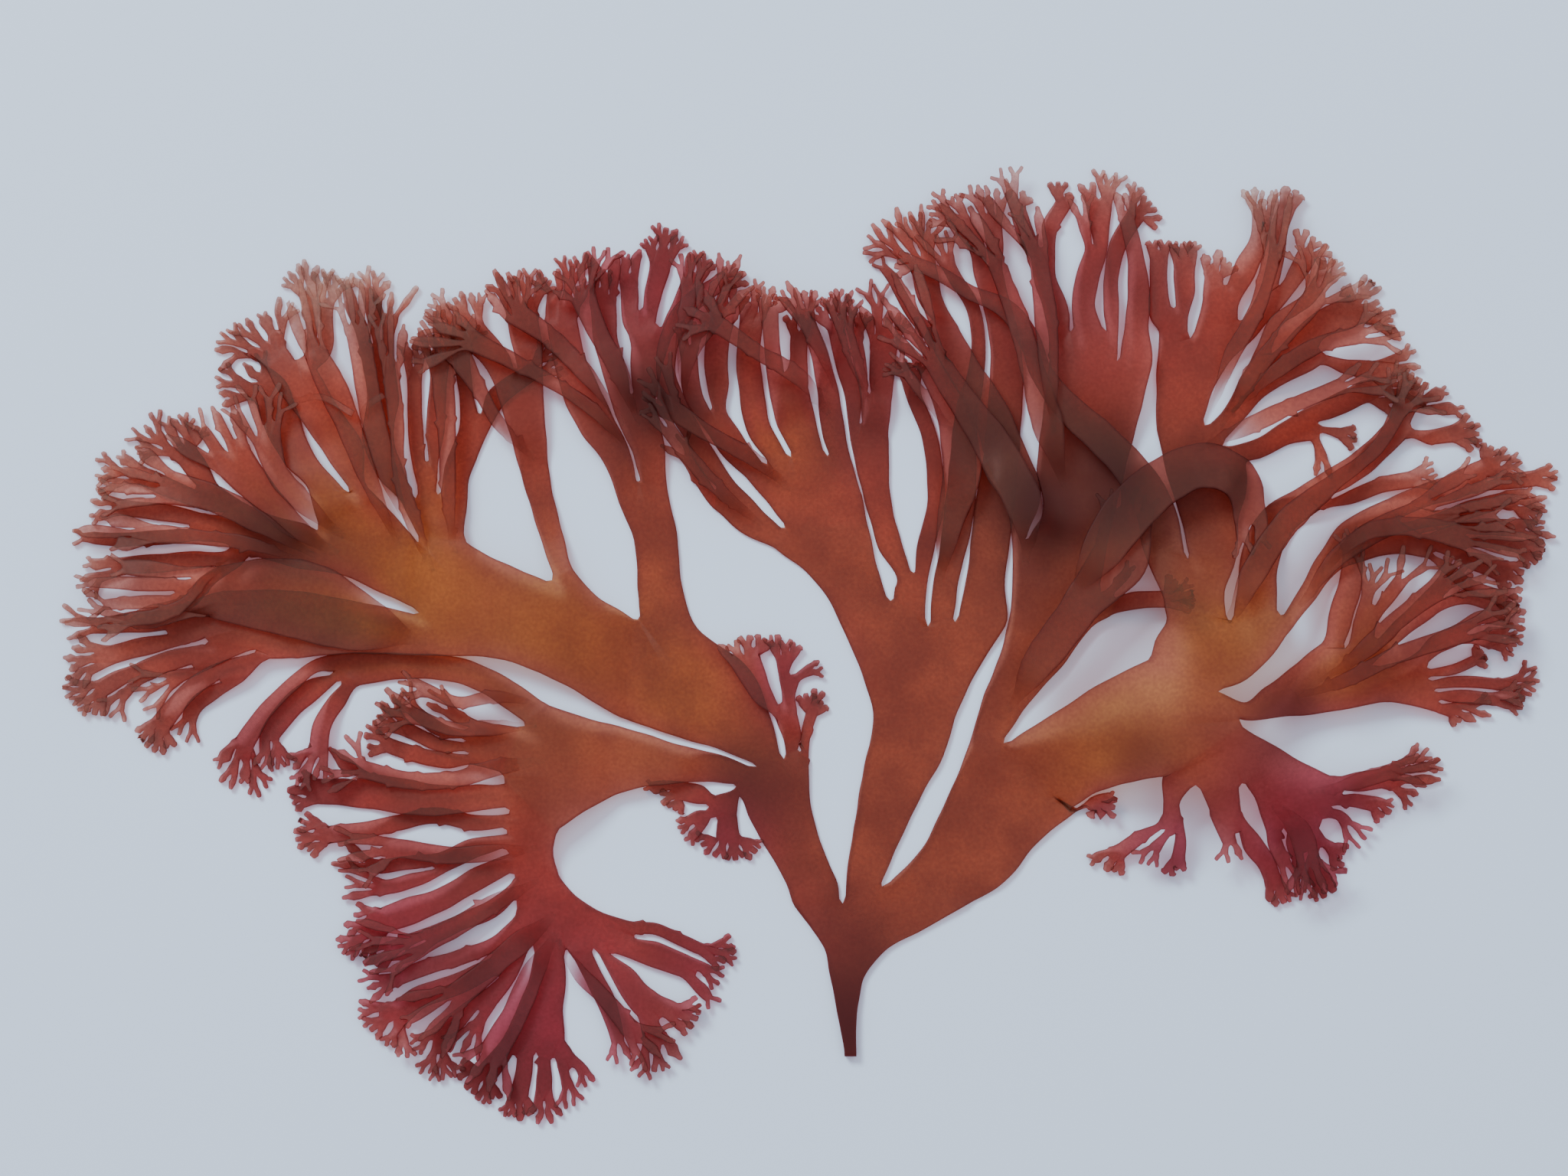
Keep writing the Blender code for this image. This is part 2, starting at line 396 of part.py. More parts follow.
def centre_lobe():
    """The upright lobe in the middle, flat on the surface for most of its length."""
    third = Branch([(11.2, 55.5, 2.6), (12.2, 60.0, 2.8), (13.0, 66.0, 3.0), (13.3, 71.0, 2.8),
                    (13.8, 76.0, 2.2), (14.8, 80.5, 1.5), (15.0, 84.5, 1.3), (14.2, 88.2, 1.2),
                    (12.1, 91.5, 1.2), (10.8, 94.3, 1.1), (9.9, 97.6, 0.9)])
    curled = Branch([(15.0, 94.4, 1.6), (13.2, 97.2, 1.8)],
                    tips=[(9.2, 98.6), (9.3, 101.0), (11.6, 101.3)])
    tufted = Branch([(16.9, 94.6, 1.7), (16.6, 97.6, 1.9)], tips=[(14.3, 102.6), (16.0, 101.6), (17.8, 102.5)])
    fourth = Branch([(15.8, 55.5, 4.4), (16.6, 61.0, 4.4), (17.2, 67.0, 4.2), (18.0, 73.0, 3.8),
                     (18.3, 79.0, 3.6), (18.0, 84.5, 3.2), (16.8, 89.5, 2.8), (16.2, 91.6, 3.0)],
                    notches=[(16.1, 92.8)], kids=[curled, tufted])
    return Branch([(0.0, 24.6, 5.4, 24.4), (0.9, 30.0, 8.1, 30.0), (1.9, 35.0, 11.0, 35.2),
                   (2.6, 39.6, 12.3, 39.8), (1.3, 45.0, 14.4, 44.2), (-1.6, 51.6, 18.2, 50.4)],
                  notches=[(4.7, 53.4), (9.1, 50.4), (12.3, 50.9)],
                  kids=[centre_left_fans(), centre_middle(), third, fourth])


def diagonal_band():
    """The band that leans left across the centre lobe, and the fan at its end."""
    long_finger = Branch([(7.4, 87.0, 1.1), (5.8, 89.6, 0.9), (4.4, 92.0, 0.9), (1.5, 94.2, 0.9)])
    fan = Branch([(9.4, 88.6, 2.4), (8.6, 92.4, 2.6)],
                 tips=[(1.8, 96.0), (2.3, 97.8), (4.0, 99.4), (6.6, 99.8), (8.4, 99.6)])
    return Branch([(20.2, 65.6, 4.2), (18.0, 71.0, 4.4), (16.0, 76.2, 4.0), (13.4, 80.2, 3.6),
                   (11.2, 84.0, 3.4)],
                  notches=[(9.5, 86.2)], kids=[long_finger, fan])


def high_blade():
    """The orange blade at the top and its four fingers."""
    hooked = Branch([(23.4, 97.4, 1.6), (24.9, 99.8, 1.5)], tips=[(24.4, 102.7), (25.9, 101.6)])
    crossing = Branch([(20.8, 95.8, 1.7), (19.6, 99.4, 1.4)], tips=[(18.2, 104.3), (20.9, 101.2)])
    first = Branch([(24.0, 87.6, 2.5), (22.9, 91.0, 2.2), (22.6, 93.4, 2.4)], notches=[(22.4, 94.8)],
                   kids=[crossing, hooked])
    pale_left = Branch([(27.4, 97.4, 1.1), (26.4, 101.6, 0.9)])
    pale_right = Branch([(29.2, 97.4, 2.0), (29.2, 99.8, 2.6)], tips=[(27.6, 102.8), (30.3, 104.1)])
    second = Branch([(27.3, 88.0, 2.4), (27.7, 91.2, 2.4), (28.7, 94.0, 2.2)], notches=[(28.4, 95.2)],
                    kids=[pale_left, pale_right])
    third = Branch([(30.5, 87.8, 1.5), (30.6, 91.8, 1.3), (31.6, 95.6, 1.6), (33.5, 98.6, 1.8)],
                   tips=[(33.9, 102.8), (35.4, 100.3), (36.6, 97.6)])
    fourth = Branch([(33.4, 85.6, 2.4), (33.8, 89.4, 2.2), (33.4, 93.4, 1.6), (32.4, 97.6, 1.4)],
                    tips=[(31.2, 102.2), (32.6, 101.4)])
    return Branch([(22.4, 63.4, 30.4, 62.0), (21.8, 69.0, 32.2, 68.4), (22.6, 75.6, 33.8, 75.4),
                   (23.2, 81.4, 35.2, 81.0)],
                  notches=[(25.8, 84.8), (29.8, 84.9), (31.1, 81.4)], kids=[first, second, third, fourth])


def right_upright_lobe():
    """The upright half of the right lobe."""
    bridge = Branch([(32.4, 53.3, 1.7), (36.6, 53.6, 1.6)], tips=[(38.2, 55.8), (40.3, 54.4), (40.2, 52.9)])
    thread = Branch([(32.4, 56.8, 0.8), (33.4, 58.8, 0.8)])
    return Branch([(15.5, 41.6, 20.2, 40.2), (17.4, 47.0, 24.8, 45.8), (18.9, 53.0, 29.0, 50.8),
                   (19.0, 57.6, 30.8, 51.8)],
                  notches=[(20.4, 60.6), (29.4, 54.4), (30.9, 53.9)],
                  kids=[diagonal_band(), high_blade(), thread, bridge])


def left_leaning_finger():
    """The finger that leans left over the upright half and ends in a dark comb."""
    return Branch([(35.9, 63.0, 4.4), (33.2, 68.0, 4.0), (29.0, 72.6, 3.4), (25.0, 76.2, 2.8),
                   (22.2, 80.0, 2.4), (20.6, 84.4, 2.1), (18.0, 87.6, 1.8), (14.0, 89.4, 1.4),
                   (10.4, 91.6, 1.3), (7.6, 92.8, 1.2)],
                  tips=[(5.2, 92.0), (5.5, 93.6)])


def upper_right_first():
    """The first upper right branch: three tall fans."""
    low_fan_left = Branch([(36.1, 91.0, 1.7), (36.2, 93.4, 1.7)], tips=[(35.4, 95.9), (36.9, 95.8)])
    low_fan_right = Branch([(39.2, 89.8, 2.0), (39.2, 92.4, 2.1)],
                           tips=[(37.9, 95.9), (38.9, 95.7), (39.9, 96.0)])
    low_fan = Branch([(37.6, 86.2, 3.8)], notches=[(37.9, 87.7)], kids=[low_fan_left, low_fan_right])
    short_fan = Branch([(42.6, 91.2, 1.8)], tips=[(41.6, 94.4), (43.2, 94.6), (44.6, 93.2)])
    tall = Branch([(46.3, 92.4, 2.3), (47.9, 96.0, 1.8), (48.2, 98.4, 1.9)],
                  tips=[(46.7, 102.2), (48.4, 100.8), (49.8, 102.2)])
    middle = Branch([(43.4, 88.4, 4.0)], notches=[(43.9, 90.4)], kids=[short_fan, tall])
    slim = Branch([(49.7, 93.2, 1.6), (50.2, 97.0, 1.6), (51.2, 99.6, 1.6)],
                  tips=[(51.2, 102.3), (52.8, 101.4)])
    plump = Branch([(52.0, 91.4, 1.6), (53.4, 93.8, 2.0)],
                   tips=[(52.8, 97.3), (54.8, 95.8), (56.4, 94.6), (55.8, 92.4)])
    right = Branch([(48.6, 87.9, 2.6)], notches=[(50.2, 90.4)], kids=[slim, plump])
    return Branch([(36.0, 77.6, 42.5, 77.8), (36.0, 81.4, 44.4, 81.4), (36.2, 84.6, 47.2, 84.0)],
                  notches=[(39.9, 84.2), (45.7, 86.3)], kids=[low_fan, middle, right])


def upper_right_second():
    """The second upper right branch, which fans out to the right."""
    left = Branch([(49.6, 85.9, 1.3), (53.4, 88.6, 1.2), (55.0, 90.9, 1.4)], tips=[(56.0, 93.6), (57.8, 93.0)])
    upper = Branch([(54.6, 85.4, 2.8), (57.8, 86.9, 3.2), (59.4, 87.6, 3.0)],
                   tips=[(57.6, 90.3), (61.5, 91.2), (62.4, 88.0), (64.3, 86.2), (66.0, 83.9)])
    lower = Branch([(58.0, 80.9, 1.4), (60.8, 80.6, 1.6)], tips=[(67.3, 82.8), (67.6, 80.9)])
    return Branch([(43.7, 75.6, 45.9, 74.4), (45.7, 79.4, 49.2, 77.8), (47.4, 83.0, 54.8, 80.9)],
                  notches=[(49.2, 82.3), (54.8, 82.5)], kids=[left, upper, lower])


def upper_right_third():
    """The third upper right branch, with a hanging thread below it."""
    main = Branch([(57.2, 76.4, 2.3), (60.0, 77.8, 2.2)], tips=[(67.0, 79.3), (68.0, 78.0), (64.6, 76.2)])
    spur = Branch([(57.4, 73.1, 0.9)], tips=[(59.6, 73.2), (59.4, 71.7)])
    thread = Branch([(55.2, 71.0, 0.8), (55.3, 69.0, 0.8), (54.9, 66.9, 0.8)])
    return Branch([(47.8, 71.3, 2.0), (51.0, 73.0, 2.3), (52.4, 75.4, 54.0, 72.2)],
                  notches=[(54.9, 74.2), (55.1, 73.0)], kids=[main, spur, thread])


def right_tall_finger():
    """The orange finger that rises between the bays and bends right."""
    top = Branch([(65.0, 76.2, 2.4)], tips=[(65.4, 80.4), (67.4, 79.4), (70.6, 78.4), (72.9, 75.9)])
    side = Branch([(68.2, 72.6, 1.4), (70.6, 73.0, 1.7)], tips=[(73.3, 74.6), (74.2, 73.0), (73.8, 71.6)])
    main = Branch([(58.2, 68.4, 2.6), (61.6, 71.0, 2.6), (64.0, 73.4, 2.6)], notches=[(65.7, 73.7)],
                  kids=[top, side])
    dark = Branch([(58.8, 65.6, 1.3), (62.2, 66.9, 1.5), (65.6, 67.6, 1.6)], tips=[(68.6, 68.6), (68.8, 67.0)])
    return Branch([(47.4, 54.6, 4.6), (48.2, 59.0, 4.2), (50.2, 62.8, 4.0), (53.8, 65.4, 3.2)],
                  notches=[(56.3, 65.4)], kids=[main, dark])


def right_dark_finger():
    """The narrow dark finger that opens into the far right fan."""
    upper_end = Branch([(74.5, 68.9, 1.9)], tips=[(75.4, 71.6), (77.4, 71.0), (79.4, 69.8)])
    side_end = Branch([(77.2, 67.4, 1.4), (80.4, 67.8, 1.5)], tips=[(83.0, 68.8), (83.3, 67.2)])
    first = Branch([(66.4, 65.5, 2.3), (70.4, 66.8, 2.6), (72.6, 67.6, 2.8)], notches=[(74.4, 67.5)],
                   kids=[upper_end, side_end])
    second = Branch([(69.0, 62.8, 1.6), (72.8, 64.2, 1.6), (76.6, 65.2, 1.5)],
                    tips=[(80.4, 66.0), (82.0, 64.6), (81.2, 63.4)])
    pale = Branch([(73.4, 62.0, 1.6), (78.0, 62.0, 1.6)], tips=[(82.0, 61.8), (82.8, 60.4)])
    slim = Branch([(75.2, 60.2, 1.1), (78.4, 59.8, 1.1)], tips=[(81.7, 59.0), (80.8, 57.8)])
    low = Branch([(73.2, 58.0, 1.9), (76.0, 57.0, 2.0)], tips=[(79.4, 57.0), (79.2, 55.4), (77.2, 54.6)])
    third = Branch([(70.2, 60.3, 3.6)], notches=[(71.8, 61.0), (71.7, 59.4)], kids=[pale, slim, low])
    drooping = Branch([(69.8, 57.2, 1.1), (72.4, 55.2, 1.1), (75.6, 54.0, 1.2)], tips=[(79.0, 54.0), (78.2, 52.8)])
    return Branch([(53.4, 54.2, 1.8), (56.4, 58.2, 2.8), (57.6, 62.6, 60.4, 58.2), (60.8, 64.4, 64.0, 58.9),
                   (63.0, 65.4, 67.4, 58.4)],
                  notches=[(64.2, 62.6), (66.8, 61.2), (68.0, 59.0)], kids=[first, second, third, drooping])


def orange_lobe():
    """The lobe that rises from the folded arm, thick and golden at its foot."""
    trunk = Branch([(38.6, 63.6, 45.6, 62.8), (37.2, 68.4, 46.6, 66.8), (36.0, 73.4, 46.4, 69.4)],
                   notches=[(41.6, 74.0), (43.7, 71.6)],
                   kids=[upper_right_first(), upper_right_second(), upper_right_third()])
    left = Branch([(35.4, 55.8, 43.4, 54.4), (34.0, 59.6, 44.8, 57.8)], notches=[(39.3, 58.0)],
                  kids=[left_leaning_finger(), trunk])
    return Branch([(35.0, 48.8, 45.0, 43.9), (36.6, 51.4, 49.0, 47.2), (36.4, 53.0, 51.0, 50.0)],
                  notches=[(44.0, 50.8), (49.8, 51.6)], kids=[left, right_tall_finger(), right_dark_finger()])


def right_fan():
    """The great fan at the right, past the narrow twist of the arm."""
    first = Branch([(57.3, 51.6, 2.4), (58.4, 55.4, 2.4), (58.6, 59.0, 1.8), (58.2, 62.6, 1.2)])
    second_left = Branch([(60.8, 55.4, 0.9), (61.7, 59.2, 0.8)])
    second_right = Branch([(62.9, 54.0, 1.2), (65.0, 57.0, 1.2), (66.4, 60.4, 0.9)])
    second = Branch([(60.2, 51.2, 2.3)], notches=[(61.1, 52.9)], kids=[second_left, second_right])
    third_left = Branch([(69.2, 55.4, 1.6)], tips=[(70.6, 58.8), (72.4, 57.4)])
    third_right = Branch([(71.6, 53.8, 1.3), (74.2, 53.2, 1.2)], tips=[(76.8, 53.8), (77.4, 52.0)])
    third = Branch([(64.6, 50.4, 2.0), (67.6, 52.9, 2.4)], notches=[(69.4, 53.7)], kids=[third_left, third_right])
    fourth_high = Branch([(73.4, 51.4, 1.3), (75.6, 51.4, 1.4)], tips=[(77.8, 52.9), (79.0, 51.3)])
    fourth_low = Branch([(74.2, 49.0, 1.5)], tips=[(78.7, 49.8), (79.0, 48.2)])
    fourth = Branch([(68.6, 48.2, 1.9), (70.8, 49.4, 2.0)], notches=[(72.0, 49.6)], kids=[fourth_high, fourth_low])
    fifth = Branch([(70.8, 45.4, 0.9), (73.2, 46.4, 0.8)], tips=[(74.3, 47.6), (74.9, 46.2)])
    sixth = Branch([(71.2, 43.9, 1.0), (76.0, 43.6, 1.0)], tips=[(81.0, 44.6), (80.8, 43.2)])
    seventh = Branch([(71.0, 42.2, 1.2), (75.4, 41.9, 1.1)], tips=[(79.3, 42.4), (79.0, 41.2)])
    eighth = Branch([(70.4, 40.6, 1.3)], tips=[(75.6, 40.4), (73.8, 39.2), (71.4, 38.8)])
    lower = Branch([(64.4, 46.4, 64.8, 41.4), (66.6, 47.6, 68.4, 40.4)],
                   notches=[(67.4, 45.6), (67.4, 44.2), (68.2, 42.8), (68.7, 41.6)],
                   kids=[fourth, fifth, sixth, seventh, eighth])
    return Branch([(45.8, 40.6, 1.9), (48.6, 41.5, 3.4), (52.2, 42.8, 5.8), (54.9, 48.4, 61.6, 41.5)],
                  notches=[(57.7, 47.8), (61.4, 49.0), (60.8, 45.9)], kids=[first, second, third, lower])


def rosy_right_fan():
    """The crimson fan that comes out from under the folded arm."""
    level_end = Branch([(59.8, 32.2, 2.1), (62.6, 32.6, 2.0)],
                       tips=[(68.5, 36.0), (69.8, 34.4), (69.5, 32.4), (67.1, 29.8)])
    second_end = Branch([(58.8, 30.0, 1.3), (61.2, 29.6, 1.4)], tips=[(63.8, 28.8), (62.4, 27.6)])
    thread_end = Branch([(57.2, 28.3, 1.0), (58.6, 26.4, 0.9), (59.4, 24.0, 0.9)])
    hooked_end = Branch([(56.4, 24.4, 1.0)], tips=[(58.2, 23.6), (57.4, 21.8)])
    broad_end = Branch([(54.4, 22.4, 2.0), (55.3, 20.8, 1.9)], tips=[(56.9, 18.9), (55.0, 18.1)])
    slim_end = Branch([(52.7, 22.6, 1.1), (53.0, 20.4, 1.0), (53.3, 18.0, 0.9)])
    lower = Branch([(53.0, 25.8, 3.8)], notches=[(54.8, 24.6), (53.4, 24.2)],
                   kids=[hooked_end, broad_end, slim_end])
    tail = Branch([(49.8, 24.8, 1.4), (50.9, 22.4, 1.2), (52.0, 19.8, 1.0), (52.4, 18.0, 0.9)])
    main = Branch([(52.0, 35.0, 46.4, 31.0), (56.2, 32.9, 48.3, 27.2)],
                  notches=[(57.2, 31.0), (56.0, 29.5), (55.0, 28.0), (50.5, 27.0)],
                  kids=[level_end, second_end, thread_end, lower, tail])
    middle_right = Branch([(46.8, 25.2, 2.0), (48.6, 22.9, 1.8), (49.6, 20.6, 1.6)],
                          tips=[(50.8, 17.6), (49.4, 17.8)])
    middle_left = Branch([(44.3, 24.8, 1.2), (45.1, 22.2, 0.9)])
    middle = Branch([(43.4, 29.2, 3.0)], notches=[(45.0, 26.6)], kids=[middle_right, middle_left])
    left_near = Branch([(38.4, 25.0, 1.0), (38.3, 23.4, 1.1)], tips=[(38.5, 21.7), (37.1, 21.2)])
    left_next = Branch([(36.0, 25.2, 0.9), (33.7, 22.0, 0.9)])
    left_far = Branch([(33.8, 25.8, 1.1), (31.6, 24.0, 1.4)], tips=[(31.2, 21.2), (29.8, 21.6), (27.8, 22.6)])
    left = Branch([(37.2, 30.0, 1.6), (37.3, 28.2, 1.8)], notches=[(37.6, 26.4), (36.6, 26.9)],
                  kids=[left_near, left_next, left_far])
    return Branch([(48.4, 37.0, 36.0, 33.0)], notches=[(45.1, 32.4), (39.8, 32.2)], kids=[main, middle, left])


def hidden_tuft():
    """The tuft of short fingers under the arm's lower edge."""
    return Branch([(28.3, 29.6, 1.1)], tips=[(31.4, 30.5), (31.3, 29.1), (29.7, 28.2), (28.0, 27.9)])


def folded_arm():
    """The thick arm that arches to the right and folds at its end."""
    return Branch([(22.8, 39.8, 28.8, 31.2), (28.2, 43.4, 32.6, 32.4), (34.2, 46.6, 36.0, 33.2)],
                  notches=[(42.2, 42.9), (44.6, 39.6)], kids=[orange_lobe(), right_fan(), rosy_right_fan()])


def right_lobe():
    """Everything that the third lobe carries."""
    return Branch([(8.3, 24.2, 18.4, 20.6), (11.4, 30.2, 22.4, 25.4), (14.0, 36.8, 27.4, 29.4)],
                  notches=[(18.0, 36.7), (25.8, 28.6)], kids=[right_upright_lobe(), folded_arm(), hidden_tuft()])


def thallus():
    """The plant from its foot to the fork into three lobes."""
    return Branch([(-0.3, 3.3, 1.5), (-0.4, 6.5, 2.4), (-0.3, 9.6, 4.0), (-3.2, 12.8, 4.0, 12.2),
                   (-4.6, 14.8, 8.2, 14.6), (-6.5, 17.4, 13.9, 17.8)],
                  notches=[(-0.9, 17.8), (3.7, 19.8)], kids=[left_lobe(), centre_lobe(), right_lobe()])


def unit(vector):
    """The vector at length one."""
    return vector / max(float(np.hypot(*vector)), 1e-9)


def edge_controls(branch, base_left, base_right):
    """The left and right points that a branch's edges pass through, its base row included."""
    centres = [(base_left + base_right) / 2]
    for row in branch.rows:
        if len(row) == 3:
            centres.append(np.array(row[:2]))
        else:
            centres.append((np.array(row[:2]) + np.array(row[2:])) / 2)
    left = [base_left]
    right = [base_right]
    for index, row in enumerate(branch.rows, start=1):
        if len(row) == 4:
            left.append(np.array(row[:2]))
            right.append(np.array(row[2:]))
            continue
        ahead = centres[min(index + 1, len(centres) - 1)]
        heading = unit(ahead - centres[index - 1])
        sideways = np.array((-heading[1], heading[0])) * row[2] / 2
        left.append(centres[index] + sideways)
        right.append(centres[index] - sideways)
    return left, right


def velocities(points, before):
    """The edge's direction at each of its points, per unit of length, for a smooth curve through them."""
    chain = ([before] if before is not None else []) + list(points)
    steps = np.diff(np.array(chain), axis=0)
    lengths = np.maximum(np.hypot(steps[:, 0], steps[:, 1]), 1e-6)
    slopes = steps / lengths[:, None]
    result = [slopes[0]]
    for index in range(1, len(chain) - 1):
        near = lengths[index - 1]
        far = lengths[index]
        result.append((slopes[index - 1] * far + slopes[index] * near) / (near + far))
    result.append(slopes[-1])
    return result[1:] if before is not None else result


def along_edge(points, speeds, span, part):
    """A point on the smooth edge, a part of the way from one of its points to the next."""
    start = points[span]
    end = points[span + 1]
    length = float(np.hypot(*(end - start)))
    square = part * part
    cube = square * part
    return ((2 * cube - 3 * square + 1) * start + (cube - 2 * square + part) * length * speeds[span]
            + (3 * square - 2 * cube) * end + (cube - square) * length * speeds[span + 1])


def fan_out(left, right, tips):
    """The notches and short branches that carry a row of blunt finger tips."""
    if len(tips) == 1:
        return [], []
    groups = [[tip] for tip in tips]
    if len(tips) > 3:
        middle = len(tips) // 2
        groups = [tips[:middle], tips[middle:]]
    across = right - left
    forward = unit(np.array((-across[1], across[0])))
    width = float(np.hypot(*across))
    notches = []
    kids = []
    passed = 0
    for group in groups:
        near = passed / len(tips)
        passed += len(group)
        far = passed / len(tips)
        base = left + across * (near + far) / 2
        goal = np.mean(np.array(group), axis=0)
        room = width * (far - near)
        if len(group) == 1:
            half_way = base + (goal - base) * 0.5
            waist = min(max(0.9 * room, TIP_WIDTH), FINGER_WIDTH)
            kids.append(Branch([(*half_way, waist), (*goal, TIP_WIDTH)]))
        else:
            fork = base + (goal - base) * 0.42
            kids.append(Branch([(*fork, max(0.62 * len(group), 0.8 * room))], tips=group))
        if far < 1:
            notches.append(tuple(left + across * far + forward * 0.25 * width))
    return notches, kids


def lay_out(branch, base, before, parent, slot, strips):
    """Cut a branch, and all that grows from it, into strips of rows.

    base: the left and right points that it grows from.
    before: the edge point before each of those, or None beside a notch.
    parent, slot: the strip that it grows from, and its place in that strip's fork.
    """
    left, right = edge_controls(branch, *base)
    left_speeds = velocities(left, before[0])
    right_speeds = velocities(right, before[1])
    left_rows = [left[0]]
    right_rows = [right[0]]
    for span in range(len(left) - 1):
        length = max(np.hypot(*(left[span + 1] - left[span])), np.hypot(*(right[span + 1] - right[span])))
        parts = max(1, round(float(length) / ROW_STEP))
        for part in range(1, parts + 1):
            left_rows.append(along_edge(left, left_speeds, span, part / parts))
            right_rows.append(along_edge(right, right_speeds, span, part / parts))
    left_rows = np.array(left_rows)
    right_rows = np.array(right_rows)
    centres = (left_rows + right_rows) / 2
    start = strips[parent].along[-1] if parent >= 0 else 0.0
    steps = np.hypot(*np.diff(centres, axis=0).T)
    strip = Strip(left_rows, right_rows, start + np.concatenate(([0.0], np.cumsum(steps))), parent, slot)
    number = len(strips)
    strips.append(strip)
    notches = branch.notches
    kids = branch.kids
    if branch.tips:
        notches, kids = fan_out(left_rows[-1], right_rows[-1], branch.tips)
    if not kids:
        return
    strip.fork = [left_rows[-1]] + [np.array(notch) for notch in notches] + [right_rows[-1]]
    for place, kid in enumerate(kids):
        kid_before = (left_rows[-2] if place == 0 else None, right_rows[-2] if place == len(kids) - 1 else None)
        lay_out(kid, (strip.fork[place], strip.fork[place + 1]), kid_before, number, place, strips)


def arch_height(x, y):
    """How far the blade arches off the surface at a place."""
    height = 0.0
    for centre_x, centre_y, reach, rise in ARCHES:
        height += rise * math.exp(-((x - centre_x) ** 2 + (y - centre_y) ** 2) / reach ** 2)
    return max(0.0, height - 0.25)


def overlap(first, second, room):
    """Whether two flat outlines overlap in plan: no line leaves this much room between them."""
    for cell in (first, second):
        for corner in range(len(cell)):
            edge = cell[(corner + 1) % len(cell)] - cell[corner]
            across = unit(np.array((-edge[1], edge[0])))
            reach_first = first @ across
            reach_second = second @ across
            apart = max(reach_second.min() - reach_first.max(), reach_first.min() - reach_second.max())
            if apart >= room:
                return False
    return True


def lineage(strips, number):
    """A strip and those that it grew from, back to the stipe."""
    chain = []
    while number >= 0:
        chain.append(number)
        number = strips[number].parent
    return chain


def way_between(strips, first, second, along_first, along_second):
    """How far apart two places are along the plant, through the fork where their ways part."""
    known = set(lineage(strips, first))
    number = second
    while number not in known:
        number = strips[number].parent
    if number in (first, second):
        return abs(along_first - along_second)
    parting = float(strips[number].along[-1])
    return along_first + along_second - 2 * parting


def crossings(strips, row_ids):
    """Pairs of rows, lower and upper, where one branch lies over another."""
    cells = []
    for number, strip in enumerate(strips):
        for place in range(len(strip.left) - 1):
            far = [strip.left[place + 1], strip.right[place + 1]]
            width = max(float(np.hypot(*(strip.left[place] - strip.right[place]))),
                        float(np.hypot(*(far[0] - far[1]))))
            if strip.fork and place == len(strip.left) - 2:
                far = strip.fork
            corners = np.array([strip.right[place], strip.left[place]] + far)
            along = float(strip.along[place] + strip.along[place + 1]) / 2
            cells.append((number, place, corners, width, along))
    centres = np.array([cell[2].mean(axis=0) for cell in cells])
    reaches = np.array([np.hypot(*(cell[2] - cell[2].mean(axis=0)).T).max() for cell in cells])
    pairs = set()
    for index, (number, place, corners, width, along) in enumerate(cells):
        apart = np.hypot(*(centres[index + 1:] - centres[index]).T)
        close = np.nonzero(apart < reaches[index + 1:] + reaches[index])[0] + index + 1
        for other in close:
            other_number, other_place, other_corners, other_width, other_along = cells[other]
            way = way_between(strips, number, other_number, along, other_along)
            if way < max(0.7 * (width + other_width) + NEAR_FORK, 1.1 * LAYER_GAP / STEEPEST):
                continue
            if not overlap(corners, other_corners, SIDE_GAP if way > RELATIVES else -SIDE_GAP):
                continue
            for low in (place, place + 1):
                for high in (other_place, other_place + 1):
                    way = way_between(strips, number, other_number, strips[number].along[low],
                                      strips[other_number].along[high])
                    if way > 1.02 * LAYER_GAP / STEEPEST:
                        pairs.add((row_ids[number][low], row_ids[other_number][high]))
    return np.array(sorted(pairs)).reshape(-1, 2)


def drape(strips):
    """The height of each strip's rows, so that crossing branches pass clear of each other."""
    row_ids = []
    heights = []
    for strip in strips:
        ids = []
        for place in range(len(strip.left)):
            if place == 0 and strip.parent >= 0:
                ids.append(row_ids[strip.parent][-1])
                continue
            centre = (strip.left[place] + strip.right[place]) / 2
            ids.append(len(heights))
            heights.append(arch_height(*centre))
        row_ids.append(ids)
    heights = np.array(heights)
    pairs = crossings(strips, row_ids)
    near = []
    for strip, ids in zip(strips, row_ids):
        for place in range(len(ids) - 1):
            near.append((ids[place], ids[place + 1], float(strip.along[place + 1] - strip.along[place])))
    first = np.array([link[0] for link in near])
    second = np.array([link[1] for link in near])
    drop = np.array([link[2] for link in near]) * STEEPEST
    for _ in range(400):
        before = heights.copy()
        np.maximum.at(heights, pairs[:, 1], heights[pairs[:, 0]] + LAYER_GAP)
        np.maximum.at(heights, first, heights[second] - drop)
        np.maximum.at(heights, second, heights[first] - drop)
        if np.abs(heights - before).max() < 1e-4:
            break
    return [heights[ids] for ids in row_ids]


def turn(first, second, third):
    """Twice the area of a triangle in plan, above zero when its corners run anticlockwise."""
    return float((second[0] - first[0]) * (third[1] - first[1]) - (second[1] - first[1]) * (third[0] - first[0]))


def bridge(points, near, far):
    """Triangles between a row of two points and the next row, each from left to right.

    The near row's own triangle goes to the far point that leaves the thinnest triangle widest.
    """
    left, right = near
    choices = []
    for middle in range(len(far)):
        faces = [(left, right, far[middle])]
        faces += [(left, far[place + 1], far[place]) for place in range(middle)]
        faces += [(right, far[place + 1], far[place]) for place in range(middle, len(far) - 1)]
        thinnest = min(turn(*(points[corner] for corner in face)) for face in faces)
        choices.append((thinnest, faces))
    return max(choices, key=lambda choice: choice[0])[1]


